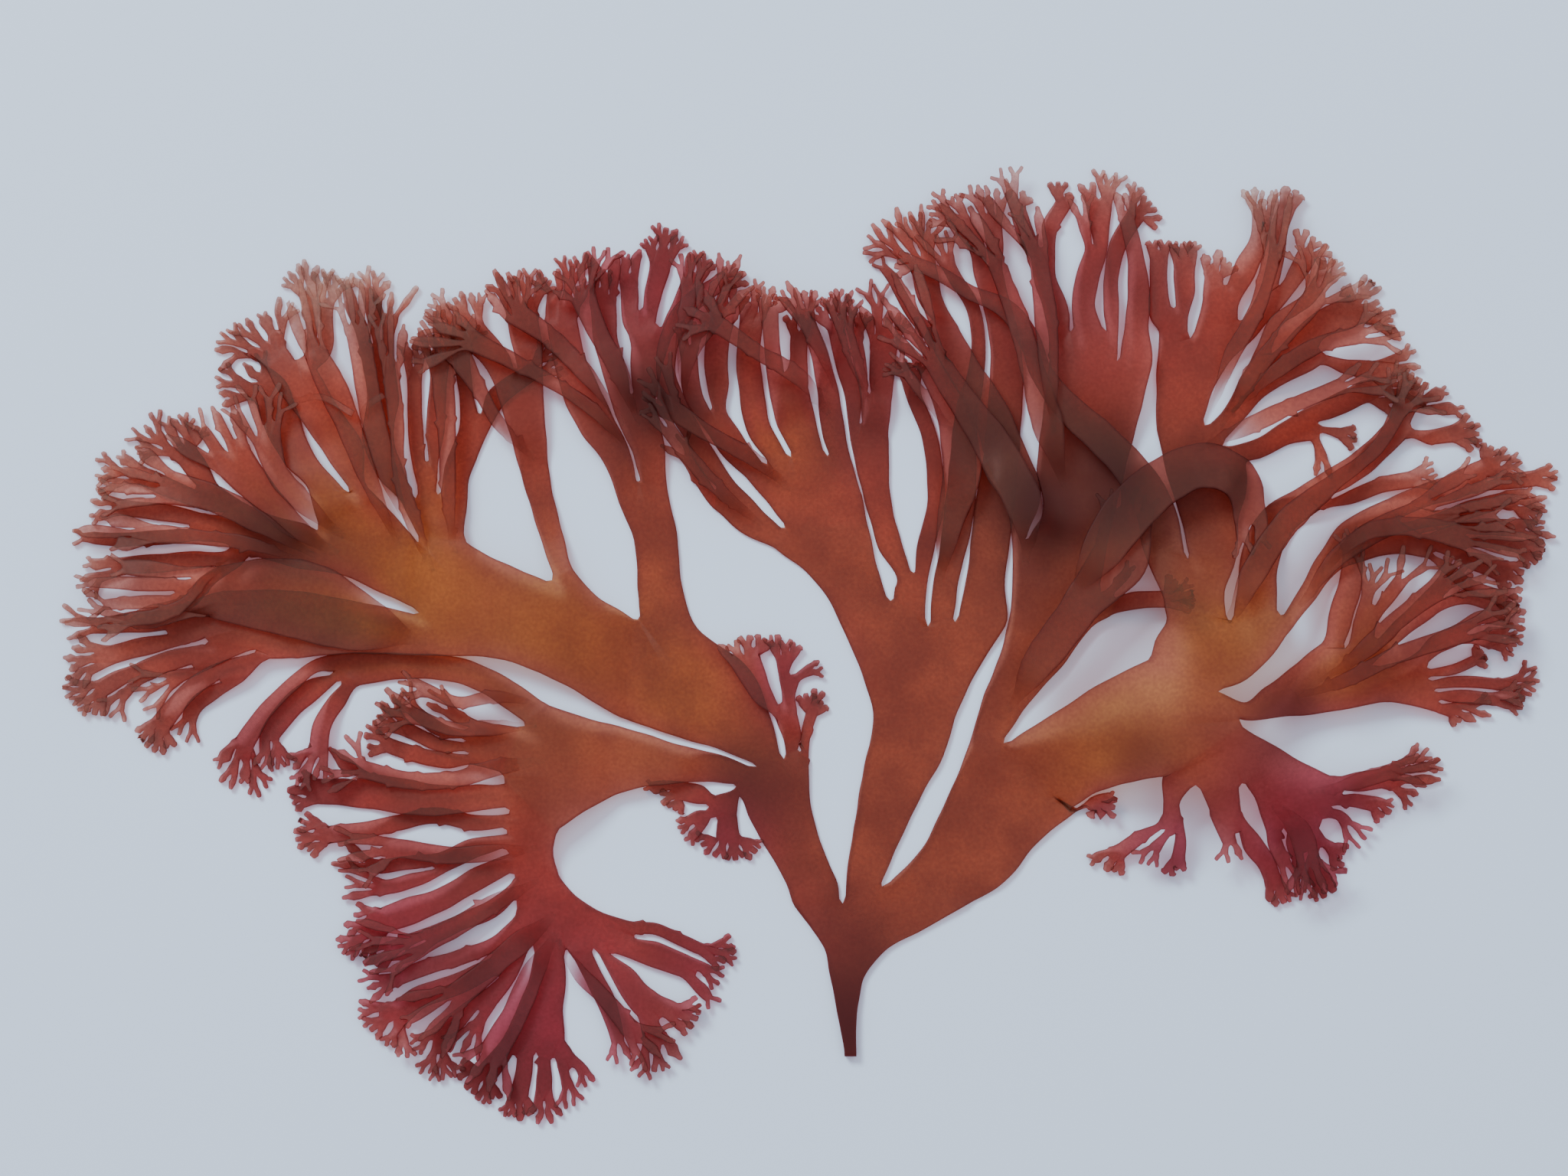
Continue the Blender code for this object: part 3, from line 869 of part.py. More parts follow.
def sheet(strips, heights):
    """The points and triangles of the blade's underside, and how far along the plant each point is."""
    points = []
    along = []
    faces = []
    forks = {}

    def add(place, height, distance):
        points.append(np.array((place[0], place[1], height)))
        along.append(distance)
        return len(points) - 1

    for number, (strip, rise) in enumerate(zip(strips, heights)):
        if strip.parent >= 0:
            row = forks[strip.parent][strip.slot:strip.slot + 2]
        else:
            row = [add(strip.left[0], rise[0], 0.0), add(strip.right[0], rise[0], 0.0)]
        for place in range(1, len(strip.left)):
            spots = [strip.left[place], strip.right[place]]
            if strip.fork and place == len(strip.left) - 1:
                spots = strip.fork
            following = [add(spot, rise[place], strip.along[place]) for spot in spots]
            faces += bridge(points, row, following)
            row = following
        forks[number] = row
    return np.array(points), np.array(along), faces


def tissue_material():
    """Wet red-brown algal tissue."""
    material = bpy.data.materials.new("thallus_tissue")
    material.use_nodes = True
    shader = material.node_tree.nodes["Principled BSDF"]
    shader.inputs["Base Color"].default_value = THALLUS_COLOUR
    shader.inputs["Roughness"].default_value = THALLUS_ROUGHNESS
    return material


def make_thallus(collection):
    """Build the whole plant as one solid, centred over its bounding box's bottom."""
    strips = []
    foot = (np.array((-0.7, 0.0)), np.array((0.7, 0.0)))
    lay_out(thallus(), foot, (None, None), -1, 0, strips)
    points, along, faces = sheet(strips, drape(strips))
    middle = (points.min(axis=0) + points.max(axis=0)) / 2
    points = (points - np.array((middle[0], middle[1], 0.0))) * MM
    mesh = bpy.data.meshes.new("thallus")
    mesh.from_pydata([tuple(point) for point in points], [], faces)
    plant = bpy.data.objects.new("thallus", mesh)
    collection.objects.link(plant)
    group = plant.vertex_groups.new(name="thickness")
    for number, distance in enumerate(along):
        extra = (STIPE_THICKNESS - BLADE_THICKNESS) * math.exp(-(distance / STIPE_FADE) ** 2)
        group.add([number], (BLADE_THICKNESS + extra) / STIPE_THICKNESS, "REPLACE")
    solid = plant.modifiers.new("thickness", "SOLIDIFY")
    solid.thickness = STIPE_THICKNESS * MM
    solid.offset = 1.0
    solid.vertex_group = "thickness"
    mesh.materials.append(tissue_material())
    return plant


def main():
    """Clear the scene and build the plant."""
    for old in list(bpy.data.objects):
        bpy.data.objects.remove(old, do_unlink=True)
    collection = bpy.data.collections.new("red_seaweed")
    bpy.context.scene.collection.children.link(collection)
    make_thallus(collection)


main()
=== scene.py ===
"""Looks for a red seaweed that lies spread out flat.

The thallus is one thin wet blade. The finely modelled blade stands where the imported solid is: the same
forks and edges, with rounded notches, toothed margins, forked finger ends and a rippled face. Lengths
are in millimetres in the plan of the plant, measured from the foot of its stipe, +Y up the plant.
"""

from __future__ import annotations

import json
import logging
from dataclasses import dataclass, field
from enum import Enum

import bpy
import numpy as np
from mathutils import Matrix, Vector
from mathutils.kdtree import KDTree

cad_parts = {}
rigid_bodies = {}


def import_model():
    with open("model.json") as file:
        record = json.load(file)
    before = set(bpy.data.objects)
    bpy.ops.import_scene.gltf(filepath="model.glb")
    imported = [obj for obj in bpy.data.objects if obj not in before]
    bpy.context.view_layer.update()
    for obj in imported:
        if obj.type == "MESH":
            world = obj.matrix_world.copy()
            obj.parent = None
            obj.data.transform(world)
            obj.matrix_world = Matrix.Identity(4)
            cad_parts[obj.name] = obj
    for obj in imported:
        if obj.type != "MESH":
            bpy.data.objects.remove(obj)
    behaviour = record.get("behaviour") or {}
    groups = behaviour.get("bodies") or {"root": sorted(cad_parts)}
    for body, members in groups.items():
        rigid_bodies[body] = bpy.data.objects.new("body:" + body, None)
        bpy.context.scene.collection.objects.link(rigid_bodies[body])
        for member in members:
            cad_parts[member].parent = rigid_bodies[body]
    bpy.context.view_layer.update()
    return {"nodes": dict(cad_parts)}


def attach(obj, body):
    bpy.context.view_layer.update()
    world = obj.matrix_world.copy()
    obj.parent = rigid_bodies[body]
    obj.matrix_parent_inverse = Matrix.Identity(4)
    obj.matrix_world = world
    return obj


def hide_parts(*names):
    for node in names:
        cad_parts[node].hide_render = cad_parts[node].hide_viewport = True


Array = np.ndarray
Pair = tuple[float, float]
Colour = tuple[float, float, float]
Socket = bpy.types.NodeSocket

LOG = logging.getLogger("seaweed")
MM = 0.001
LEAST = 1e-6
NODE = "thallus"
ROOT_BODY = "root"

# The foot of the stipe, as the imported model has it
FOOT = (4.83407758, -48.07407036)
FOOT_WIDTH = 1.4


class Hue(Enum):
    """The colours that the tissue drifts towards in places, one of them a painted shade."""

    GOLD = "gold"
    ROSE = "rose"
    PALE = "pale"
    DARK = "dark"
    # Painted shade: a dark colour laid where blades overlap and shade falls on the layers below
    PAINTED_SHADE = "painted_shade"


# Soft round areas of the plant that drift towards one colour. Each is the x and y of its middle, how far
# it spreads, in millimetres, and how strong the drift is at its middle, from 0 to 1.
PATCHES = {
    Hue.GOLD: (
        (-52, 55, 13, 1), (-37, 49, 13, 0.8), (-20, 42, 10, 0.6), (-61, 63, 9, 0.8), (-8, 73, 7, 0.5),
        (31, 38, 9, 0.8), (44, 49, 8, 0.9), (58, 46, 8, 0.7),
    ),
    Hue.ROSE: (
        (-36, 2, 20, 1), (-54, 12, 14, 0.9), (-16, 10, 12, 0.9), (-15, 25.5, 7, 0.9), (-66, 33, 12, 0.7),
        (-8, 45, 7, 0.8), (54, 26, 14, 1), (38, 24, 8, 1), (30, 29.2, 2.5, 0.9), (76, 46, 12, 0.3),
        (-24, 91, 12, 0.8), (26, 92, 16, 0.5), (0, 82, 14, 0.5),
    ),
    Hue.PALE: (
        (-62, 90, 9, 1), (-52, 92, 6, 0.8), (46, 101, 7, 1), (60, 91, 6, 0.7), (20, 103, 6, 0.8),
        (32, 104, 6, 0.8), (-89, 52, 13, 0.55), (-84, 68, 9, 0.45), (-72, 83, 8, 0.3), (67, 81, 6, 0.4),
    ),
    Hue.DARK: (
        (0, 3, 11, 1), (-9, 31, 6, 0.5), (52, 41, 4, 0.5),
    ),
    # Painted shade: soft dark patches where several layers overlap and shade gathers between them
    Hue.PAINTED_SHADE: (
        (-67, 59.5, 6, 0.55), (-23, 77, 5, 0.8), (-27, 72, 5, 0.35), (1, 74, 5, 0.4), (17, 73, 6, 0.4),
        (23, 65, 7, 0.9), (30, 67, 8, 0.8), (38, 67, 6, 0.5), (46, 67, 4, 0.3), (22, 59, 7, 0.35),
        (13, 80, 4, 0.2), (31, 57, 6, 0.35), (22.5, 82, 3, 0.25), (-12, 33, 4, 0.3), (50, 38.5, 4, 0.6),
        (35, 36, 4, 0.35), (9, 60, 3, 0.25),
    ),
}


@dataclass
class Branch:
    """One stretch of the thallus, from the fork that it grows out of to the next fork.

    Attributes:
        rows: cross rows from base to end, each (x, y, width) or (left x, left y, right x, right y).
        notches: bottoms of the notches between the branches that follow, from left to right.
        kids: the branches that follow, from left to right as seen growing.
        tips: ends of the fingers of a small fan, from left to right, where there are no kids.
        first_tip: number of the first of them, in a fan that is split in two.
        forks: how many times a finger's end forks further, where there are no kids and no tips.
    """

    rows: list[tuple[float, ...]]
    notches: list[Pair] = field(default_factory=list)
    kids: list[Branch] = field(default_factory=list)
    tips: list[Pair] = field(default_factory=list)
    first_tip: int = 0
    forks: int = 2


def fan(rows: list[tuple[float, ...]], tips: list[Pair]) -> Branch:
    """A branch that ends in a small fan of fingers."""
    return Branch(rows, tips=tips)


# The small rosy fan below the left lobe's outer edge
UNDER_FAN = Branch([(-14.6, 29.4, 3)], [(-15.8, 28), (-16.6, 29.2)], [fan([(-14.6, 27.2, 2.2),
    (-14.4, 25.8, 2.4)], [(-10.8, 23.5), (-13.4, 22.8), (-15.4, 23.1), (-18, 24.5)]), fan([(-17.2, 28, 1.5)],
    [(-19.3, 25), (-20.4, 26.6)]), fan([(-17.6, 30.5, 1.9), (-19.4, 31, 1.8)], [(-20.9, 28.6), (-22.4, 30.2),
    (-25, 31.3)])])

# The slender sprig that stands in the bay between the left and centre lobes
SPRIG = Branch([(-6.8, 37.2, 1.8), (-7.5, 39.8, 2.2)], [(-8.3, 41.3)], [fan([(-10.2, 42.3, 2),
    (-11.5, 44.8, 2.8), (-12.2, 46.2, 3.2)], [(-15.7, 48.8), (-14, 48.6), (-12.4, 49.4), (-9.9, 49.2)]),
    Branch([(-7.4, 42.2, 1.3), (-7.2, 43.9, 1.9)], [(-7, 44.7)], [fan([(-7.7, 46.2, 1.6)], [(-9.2, 49.8),
    (-7.6, 49), (-6.2, 48.6)]), Branch([(-5.4, 45.1, 0.9), (-2.6, 45.6, 0.9)])])])

# The narrow branch to the right of the sprig
SLIM_SPUR = fan([(-5.2, 37.8, 0.8), (-4.6, 40, 1)], [(-5.2, 42.6), (-3.6, 43.1), (-2.9, 41.5)])

# The fingers that end the lower left band's long top finger
LOW_LEFT_TIP_FANS = Branch([(-39.8, 42.4, 2.8), (-42.6, 44, 2.6), (-46.2, 45.2, 2.6), (-52, 45.8, 2.6),
    (-57.8, 45.4, 3.6)], [(-59.8, 44), (-60.8, 45)], [fan([(-60.4, 41.6, 1.7), (-61.9, 38.8, 1.7),
    (-62.3, 36.2, 1.9)], [(-62.4, 31.8), (-65, 31.2), (-66, 34)]), fan([(-63.4, 42.9, 2.3),
    (-66.2, 40.4, 2.4), (-68, 38, 2)], [(-66.8, 33.2), (-68.8, 33)]), fan([(-62.4, 45.8, 1.2),
    (-65.6, 43.4, 1.3), (-68.8, 40.2, 1.5), (-71, 36.8, 2)], [(-69.3, 30.4), (-71.2, 31.6), (-73.6, 30.5),
    (-74.8, 33.5)])])

# The second finger of the lower left band, which forks early into four
LOW_LEFT_MIDDLE = Branch([(-43.2, 36.6, 4.8)], [(-44.6, 35.6), (-45, 37), (-44.7, 38.4)],
    [fan([(-47.4, 34.6, 1.5), (-51.2, 35.4, 1.5), (-54.2, 36.4, 1.4)], [(-57, 35.8), (-57.2, 38.4)]),
    fan([(-48.2, 36.5, 1.3), (-51.6, 38, 1.3)], [(-56, 40.2), (-55.2, 42)]), Branch([(-47.4, 38, 1.2),
    (-50.4, 39.8, 1.2), (-52.4, 41.8, 1.1), (-53.4, 43.4, 0.9)]), Branch([(-45.7, 39.5, 1.2),
    (-47.8, 41.2, 1.2), (-49.8, 43.3, 0.9)])])

# The third finger, long and level
LOW_LEFT_THIRD = Branch([(-44, 30.3, 2.8), (-48, 30.1, 3.2), (-52, 30.4, 3.8), (-56.2, 31, 3.8)],
    [(-57.8, 32.6)], [fan([(-60, 31, 2.8), (-62.6, 31, 2.6)], [(-65.8, 29.5), (-66.4, 31.2), (-64.8, 33)]),
    Branch([(-58.8, 33.8, 1.2), (-60.4, 35.6, 1.1), (-61.1, 37.4, 0.9)])])

# The fourth finger, thin and wavy
LOW_LEFT_FOURTH = fan([(-44, 27.3, 1.5), (-49, 28.2, 1.5), (-53, 27.4, 1.5), (-57, 26.5, 1.6),
    (-61, 26, 1.7)], [(-64, 23.8), (-65.6, 25.3), (-65, 27.5)])

# The fifth finger, which forks halfway
LOW_LEFT_FIFTH = Branch([(-44.5, 24.3, 2), (-47.4, 22.9, 2)], [(-48.8, 22)], [Branch([(-50.8, 20.8, 1.3),
    (-55, 19.8, 1.3), (-58.4, 20.9, 1.2), (-60.2, 23.2, 0.9)]), Branch([(-52, 22.6, 1.3), (-56, 22.3, 1.2),
    (-58.8, 24, 1.1), (-60.4, 26.6, 0.9)])])

# The sixth finger, broad at its end
LOW_LEFT_SIXTH = fan([(-44, 20.7, 2.2), (-48, 18.4, 2.4), (-52, 16.9, 2.8), (-54.6, 16, 2.6)],
    [(-57.8, 11.4), (-60.2, 12.2), (-59.6, 14.6), (-58.6, 17)])

# The seventh finger, forked into two thin prongs
LOW_LEFT_SEVENTH = Branch([(-42, 17.2, 1.8), (-46, 15.6, 1.5), (-48.4, 14.5, 1.7)], [(-49.7, 13.6)],
    [Branch([(-51, 12.2, 1.1), (-54.2, 10.6, 0.9)]), Branch([(-53, 13, 1.2), (-57.4, 10, 0.9)])])

# The downward trunk of the lower left lobe, with four short fans
LOW_LEFT_BOTTOM = Branch([(-35.5, 9.4, 4.2), (-36.3, 5.6, 5.2), (-36.9, 2.4, 6.8)], [(-35, -0.3),
    (-36.9, 0.4), (-39.4, 0)], [Branch([(-33.6, -0.2, 1.9)], [(-32.9, -1.6)], [Branch([(-31.7, -1.4, 0.9),
    (-30.8, -4, 0.9)]), Branch([(-33.2, -3.3, 1), (-33, -6.5, 0.9)])]), fan([(-36, -3.4, 1.5)], [(-35, -8.1),
    (-36.8, -8.2)]), fan([(-38.5, -2.8, 1.8), (-38.9, -4.6, 1.8)], [(-37.6, -7), (-38.8, -7.8),
    (-40.2, -7.3)]), fan([(-41.6, -0.8, 2), (-42.8, -2.2, 2.2)], [(-41.6, -5.3), (-43.4, -6), (-44.9, -4.3),
    (-46.1, -1.6)])])

# The inner group of the lower left lobe, which swings back to the right
LOW_LEFT_INNER = Branch([(-26.4, 15.9, -33, 12)], [(-25.4, 14), (-28.3, 11.9), (-30.2, 12.6)],
    [fan([(-22.8, 14.8, 1.1), (-20, 13.6, 1), (-17.6, 12.5, 1)], [(-13.2, 13.3), (-13.2, 11.6),
    (-14.6, 10.6)]), Branch([(-22.8, 11.8, 2.5), (-19.6, 10.6, 2.3)], [(-18.1, 9.7)],
    [Branch([(-17, 10, 1.2), (-14.6, 8.4, 0.9)]), Branch([(-17.6, 8, 1.1), (-15.9, 5.6, 0.9)])]),
    Branch([(-26.8, 9.6, 2.4), (-25.2, 7.4, 2.8), (-23.8, 6.1, 3.2)], [(-22.3, 4.5)], [fan([(-20.8, 5.2, 2)],
    [(-17.3, 6.3), (-17.6, 4.4), (-18.4, 2.8)]), fan([(-23.2, 3, 2)], [(-19.9, -0.7), (-22.2, -2.2),
    (-24.4, -2.8)])]), Branch([(-30.6, 10.2, 1.9), (-28.9, 7, 1.8), (-27.8, 4, 1.4), (-27.2, 1.2, 1.1),
    (-26.8, -2.2, 0.9)])])

# The outer group of the lower left lobe, three fingers that fan out downwards
LOW_LEFT_OUTER = Branch([(-38.8, 10, -41.4, 14.4)], [(-41.3, 9.3), (-42, 11.9)], [Branch([(-42.4, 6.8, 2)],
    [(-43.6, 5.4)], [Branch([(-44, 3.4, 1), (-45.8, -0.3, 0.9)]), fan([(-46.2, 4.2, 1.9), (-48.2, 2.4, 2)],
    [(-47.9, -3.2), (-49.8, -2.5), (-51.8, 0.6)])]), fan([(-46.4, 8.3, 2.1), (-50.6, 6.9, 2.3),
    (-52.8, 5.2, 2.6)], [(-52.5, -0.4), (-54.4, 0.4), (-56.6, 2.8), (-58, 5.4)]), Branch([(-46, 11.6, 1.5),
    (-50, 10.4, 1.5), (-54, 8.8, 1.2), (-57.6, 7.9, 0.9)])])

# The band that runs left out of the left lobe and turns down, shedding a finger at each step
LOW_LEFT_LOBE = Branch([(-16, 32, -15.4, 35.4), (-20.5, 32, -20, 36.6), (-25.5, 31.4, -25.5, 38.2),
    (-30, 29.4, -30.4, 39.6), (-34, 26.8, -35.2, 41.2)], [(-40.4, 32.9), (-38, 38.8)],
    [Branch([(-34.8, 24.4, -40.6, 32)], [(-39.8, 29)], [Branch([(-34.6, 22.6, -40.4, 28.4)], [(-40.2, 26.6)],
    [Branch([(-34.2, 21.2, -40.6, 26)], [(-40.3, 24.2)], [Branch([(-33.4, 20, -40.4, 23.6)], [(-39.4, 21.4)],
    [Branch([(-32.3, 18.8, -39.6, 20.6)], [(-39.2, 18.2)], [Branch([(-30.6, 17.6, -39.4, 16.4)],
    [(-33.5, 12.3), (-37.3, 12.9)], [LOW_LEFT_INNER, LOW_LEFT_BOTTOM, LOW_LEFT_OUTER]), LOW_LEFT_SEVENTH]),
    LOW_LEFT_SIXTH]), LOW_LEFT_FIFTH]), LOW_LEFT_FOURTH]), LOW_LEFT_THIRD]), LOW_LEFT_MIDDLE,
    LOW_LEFT_TIP_FANS])

# The fan that carries the big left blade's lower edge out to the far left
BLADE_LOWER_FAN = Branch([(-57.5, 47.2, -57.6, 53.2), (-63.5, 46.8, -64.4, 54.6), (-68, 46.6, -72.6, 54.6)],
    [(-69.6, 47.7), (-75.3, 48.9)], [Branch([(-71.4, 45.6, 2.3)], [(-73.8, 44)], [Branch([(-75, 42.6, 1.5),
    (-77.2, 40.6, 1.5), (-77.9, 36, 0.9)]), fan([(-76, 44, 1.8), (-79.2, 41, 1.9), (-81, 38.8, 2.1)],
    [(-79.8, 36), (-81.7, 35.2), (-83.2, 37)])]), Branch([(-75.2, 47, 2.4)], [(-76.9, 45.7)],
    [Branch([(-78.6, 44.6, 1.2), (-84.4, 41.6, 0.9)]), Branch([(-80.5, 46.1, 2), (-83.2, 45, 2.1)],
    [(-84.2, 43.9)], [Branch([(-85.4, 42.4, 1), (-87.2, 38.9, 0.9)]), fan([(-86, 44.2, 1.8),
    (-87.8, 43.2, 1.8)], [(-89.2, 39.8), (-91, 40.3), (-92.4, 42.2)])])]), Branch([(-78, 50.7, 4.4)],
    [(-80, 49.7)], [fan([(-82.2, 48.2, 1.8), (-86.2, 47.2, 1.8)], [(-92.4, 44), (-92.6, 45.8), (-91.8, 48)]),
    Branch([(-83, 51, 2.2), (-88, 50.5, 1.6), (-93, 50.5, 1.1)])])])

# The fan that crosses behind the top left one and ends furthest left
FAR_LEFT_FAN = Branch([(-64.6, 59.8, 5.2), (-69.4, 61.2, 5)], [(-72.9, 59.9), (-73.4, 63.7)],
    [Branch([(-72.8, 58.2, 2.2)], [(-74.2, 57.2)], [Branch([(-75.4, 55.6, 1.3), (-77, 53.6, 1.3),
    (-80.2, 52.4, 1.2), (-84.4, 52.6, 0.9)]), fan([(-77, 58.2, 1.8), (-80.6, 57.9, 1.8), (-84.6, 57.6, 1.7)],
    [(-91.5, 55.3), (-91, 57.4)])]), Branch([(-75.8, 62, 2.8)], [(-77.6, 62.1)], [Branch([(-80, 60.9, 1.4),
    (-86, 60.6, 1.2), (-92.7, 61.2, 0.9)]), fan([(-80, 63.6, 1.7), (-85, 64.3, 1.5)], [(-89.8, 63.3),
    (-89.5, 65.5)])]), Branch([(-74.8, 65.4, 2.8)], [(-76.9, 66.7)], [fan([(-79.4, 66.4, 1.9),
    (-83, 68, 1.8)], [(-89, 67.2), (-89, 69.2), (-86.8, 70.8)]), fan([(-76.5, 68.4, 2.2), (-78, 70.6, 2.4)],
    [(-84.6, 71.9), (-83.9, 74.2), (-81.2, 75.6), (-79, 75.6), (-76.8, 74.4)])])])

# The broad fan at the top left
TOP_LEFT_FAN = Branch([(-63.4, 66.4, -56.4, 66.6)], [(-58.6, 66)], [fan([(-64.7, 70.2, 3.3), (-67, 75, 4),
    (-67.8, 77.4, 4)], [(-74.6, 77.3), (-74.9, 80.2), (-71.2, 81.6)]), Branch([(-59, 70.6, 4),
    (-62.2, 75.4, 4.4), (-64.6, 79, 5)], [(-64.6, 81.6)], [fan([(-67.4, 82, 2.8)], [(-75.3, 83.3),
    (-74.2, 85.2), (-72, 86.4), (-69.4, 87.8), (-67, 89.8)]), Branch([(-62.6, 82.4, 2.4)], [(-62.4, 84)],
    [fan([(-63.5, 88.2, 1.5)], [(-65.8, 92.8), (-63.9, 93.7)]), fan([(-61.6, 88, 1.4)], [(-62, 92.9),
    (-60.2, 92.2)])])])])

# The stem of narrow fingers that rises from the big left blade
BLADE_TOP_STEM = Branch([(-52.6, 64.8, -45, 64.6)], [(-51, 65.4), (-48.4, 65.8)], [Branch([(-54, 68.6, 2.8),
    (-55.4, 72.6, 3.4), (-54.9, 77, 3.2), (-55.4, 81, 3.4)], [(-56.2, 83.2), (-55.1, 84)],
    [Branch([(-57.3, 84.8, 1.2), (-58.7, 88.4, 1.2), (-59, 92.6, 0.9)]), fan([(-56, 87, 1.4)],
    [(-57.3, 92.7), (-55.3, 92.3)]), Branch([(-54.2, 86.8, 1.2), (-53.3, 91, 0.9)])]),
    Branch([(-49.8, 68, 2.2)], [(-49.7, 69.7)], [fan([(-51, 73, 1.3), (-51.2, 79, 1.3)], [(-52.2, 84.6),
    (-50.6, 84.4)]), fan([(-48.8, 73, 1.6), (-48.4, 79, 1.6)], [(-49.2, 85), (-47.4, 84.8)])]),
    Branch([(-46.4, 68, 2.8), (-44.6, 72.6, 2.8)], [(-43.5, 75.4)], [fan([(-45, 77, 1.5), (-45.6, 81, 1.5)],
    [(-46.6, 86.4), (-44.8, 86.6)]), fan([(-41.8, 77, 2), (-37.2, 80.4, 1.6)], [(-34.8, 83.4),
    (-34, 81.2)])])])

# The slim stem between the two tall bays, which opens into a fan
BLADE_SLIM_FINGER = Branch([(-34.9, 60.5, 2.2), (-36, 64.5, 2.5), (-37.2, 69, 3.1), (-37.9, 73.5, 4),
    (-38.6, 77.5, 5.2)], [(-39.2, 80.6)], [fan([(-41.6, 81.8, 2.8), (-44.2, 84.6, 3.2)], [(-50.8, 86.8),
    (-49.6, 88.8), (-46.9, 89.4), (-44.2, 90.4)]), fan([(-37.9, 83, 3), (-38.5, 86.6, 3.2)], [(-42, 92.4),
    (-39.9, 92), (-38.2, 92.6), (-35.9, 92)])])

# The tall stem at the big left blade's inner side, with the highest fans of the left half
BLADE_TALL_FINGER = Branch([(-22.4, 55.6, 5), (-23, 61, 5), (-24.2, 65.2, 5.8)], [(-24.9, 67.4)],
    [fan([(-27.4, 70.2, 3), (-29.8, 74.2, 3.8), (-31.6, 78, 4.2), (-33, 82, 3.4), (-33.8, 86, 3.2)],
    [(-34.4, 92.8), (-32.2, 94.8), (-30.9, 92)]), Branch([(-23.7, 71, 3.4), (-25, 75.2, 4.6)],
    [(-25.6, 77.6)], [fan([(-27.5, 80, 2.4), (-28.7, 84, 2.6), (-29, 88, 2.6)], [(-30, 95.3), (-28.6, 93),
    (-27.5, 95.6)]), Branch([(-24, 79.6, 3), (-23.6, 83.2, 4)], [(-22.4, 85.4)], [Branch([(-24.6, 86, 3.6)],
    [(-24.7, 87.4)], [fan([(-26, 90.4, 1.7)], [(-26.2, 94.4), (-25, 95.5)]), fan([(-23.2, 89.6, 1.8),
    (-22.4, 92.4, 2)], [(-23.6, 96.4), (-21.5, 97.8), (-20, 96.6)])]), fan([(-20.2, 87.4, 1.9),
    (-18.8, 90.4, 2)], [(-18.5, 95), (-16.8, 94.2)])])])])

# The widest blade of the left half, thick and golden in the middle
BIG_LEFT_BLADE = Branch([(-15.2, 35.9, -9.3, 39.6), (-20.2, 37.3, -11.8, 45.2), (-26.2, 39.4, -17.4, 49.6)],
    [(-25, 51.2)], [Branch([(-32.4, 42.9, -29.8, 54), (-36.4, 45, -32.4, 57)], [(-34.9, 55.8)],
    [Branch([(-40.4, 46.4, -38.2, 56.8), (-44.8, 46.9, -42.2, 58.6), (-49.4, 47, -44.9, 60.2)], [(-50.4, 52),
    (-50.4, 60.2)], [BLADE_LOWER_FAN, Branch([(-54.6, 54.2, -52.6, 62.4), (-58.4, 56, -54.8, 65)],
    [(-62.4, 61.8)], [FAR_LEFT_FAN, TOP_LEFT_FAN]), BLADE_TOP_STEM]), BLADE_SLIM_FINGER]),
    BLADE_TALL_FINGER])

# Everything that the first lobe carries, from the lower left round to the sprig
LEFT_LOBE = Branch([(-7.6, 20.2, -1.4, 20.2), (-10, 24.6, -3, 23.6), (-12, 28.2, -4.5, 28.4),
    (-12.9, 30.4, -4.9, 34)], [(-13.4, 31.6), (-11, 33.9), (-7.8, 34.8), (-6, 35.6)], [UNDER_FAN,
    LOW_LEFT_LOBE, BIG_LEFT_BLADE, SPRIG, SLIM_SPUR])

# The centre lobe's left half: a drooping outer finger, an orange blade and slender forks
CENTRE_LEFT_FANS = Branch([(-5.2, 56.8, 3.2, 57.4), (-8.8, 59.5, 2.1, 62)], [(-7.7, 62)],
    [Branch([(-11.6, 62.8, 3.2), (-14.4, 65.4, 3.6)], [(-15.8, 66.5)], [Branch([(-17.8, 67.9, 1.2),
    (-19.4, 70.4, 1), (-21.6, 73, 0.9)]), fan([(-16.4, 69.2, 2.3), (-18.4, 72.8, 1.8), (-20.4, 76.4, 2),
    (-21.6, 80.4, 2), (-20.8, 84.8, 2), (-18.6, 88.2, 1.9), (-15.6, 90.4, 1.6)], [(-13, 92.6),
    (-11.6, 91.6)])]), Branch([(-9.6, 64.6, 1.4, 65.8), (-12.2, 67.8, 0.3, 69.2)], [(-9.8, 69.4), (-7, 70.3),
    (-2.7, 70.4)], [Branch([(-13.2, 70.8, 3), (-15.6, 74.2, 2.8)], [(-16.4, 75.8)], [fan([(-18.6, 78, 1.8),
    (-18.9, 82, 1.6)], [(-19.6, 86.2), (-17.8, 86.6)]), fan([(-15.6, 78.8, 2.2), (-15.8, 82.6, 2.4),
    (-15, 86, 2.4)], [(-16.2, 89), (-14.2, 94.6), (-12.8, 90.4)])]), fan([(-10.9, 74, 2.6), (-11.6, 78, 2.4),
    (-12, 82.4, 2.4), (-11.6, 86, 2.4)], [(-12.4, 89.8), (-10.8, 91.6), (-9.8, 89.4)]),
    Branch([(-6.4, 74.6, 4.2), (-7.2, 77.8, 4.4)], [(-7.9, 80.2)], [fan([(-9.2, 83.6, 1.5),
    (-9.4, 86.8, 1.5)], [(-9.6, 90.2), (-8, 88.8)]), fan([(-6.2, 81, 1.9), (-6, 84.4, 1.7)], [(-7.2, 87.6),
    (-5.2, 87.4)])]), fan([(-2.2, 74.2, 2.4), (-2.8, 78.6, 2), (-3.6, 82.2, 1.6), (-5, 86, 1.4)],
    [(-8, 90.8), (-5, 90.4)])])])

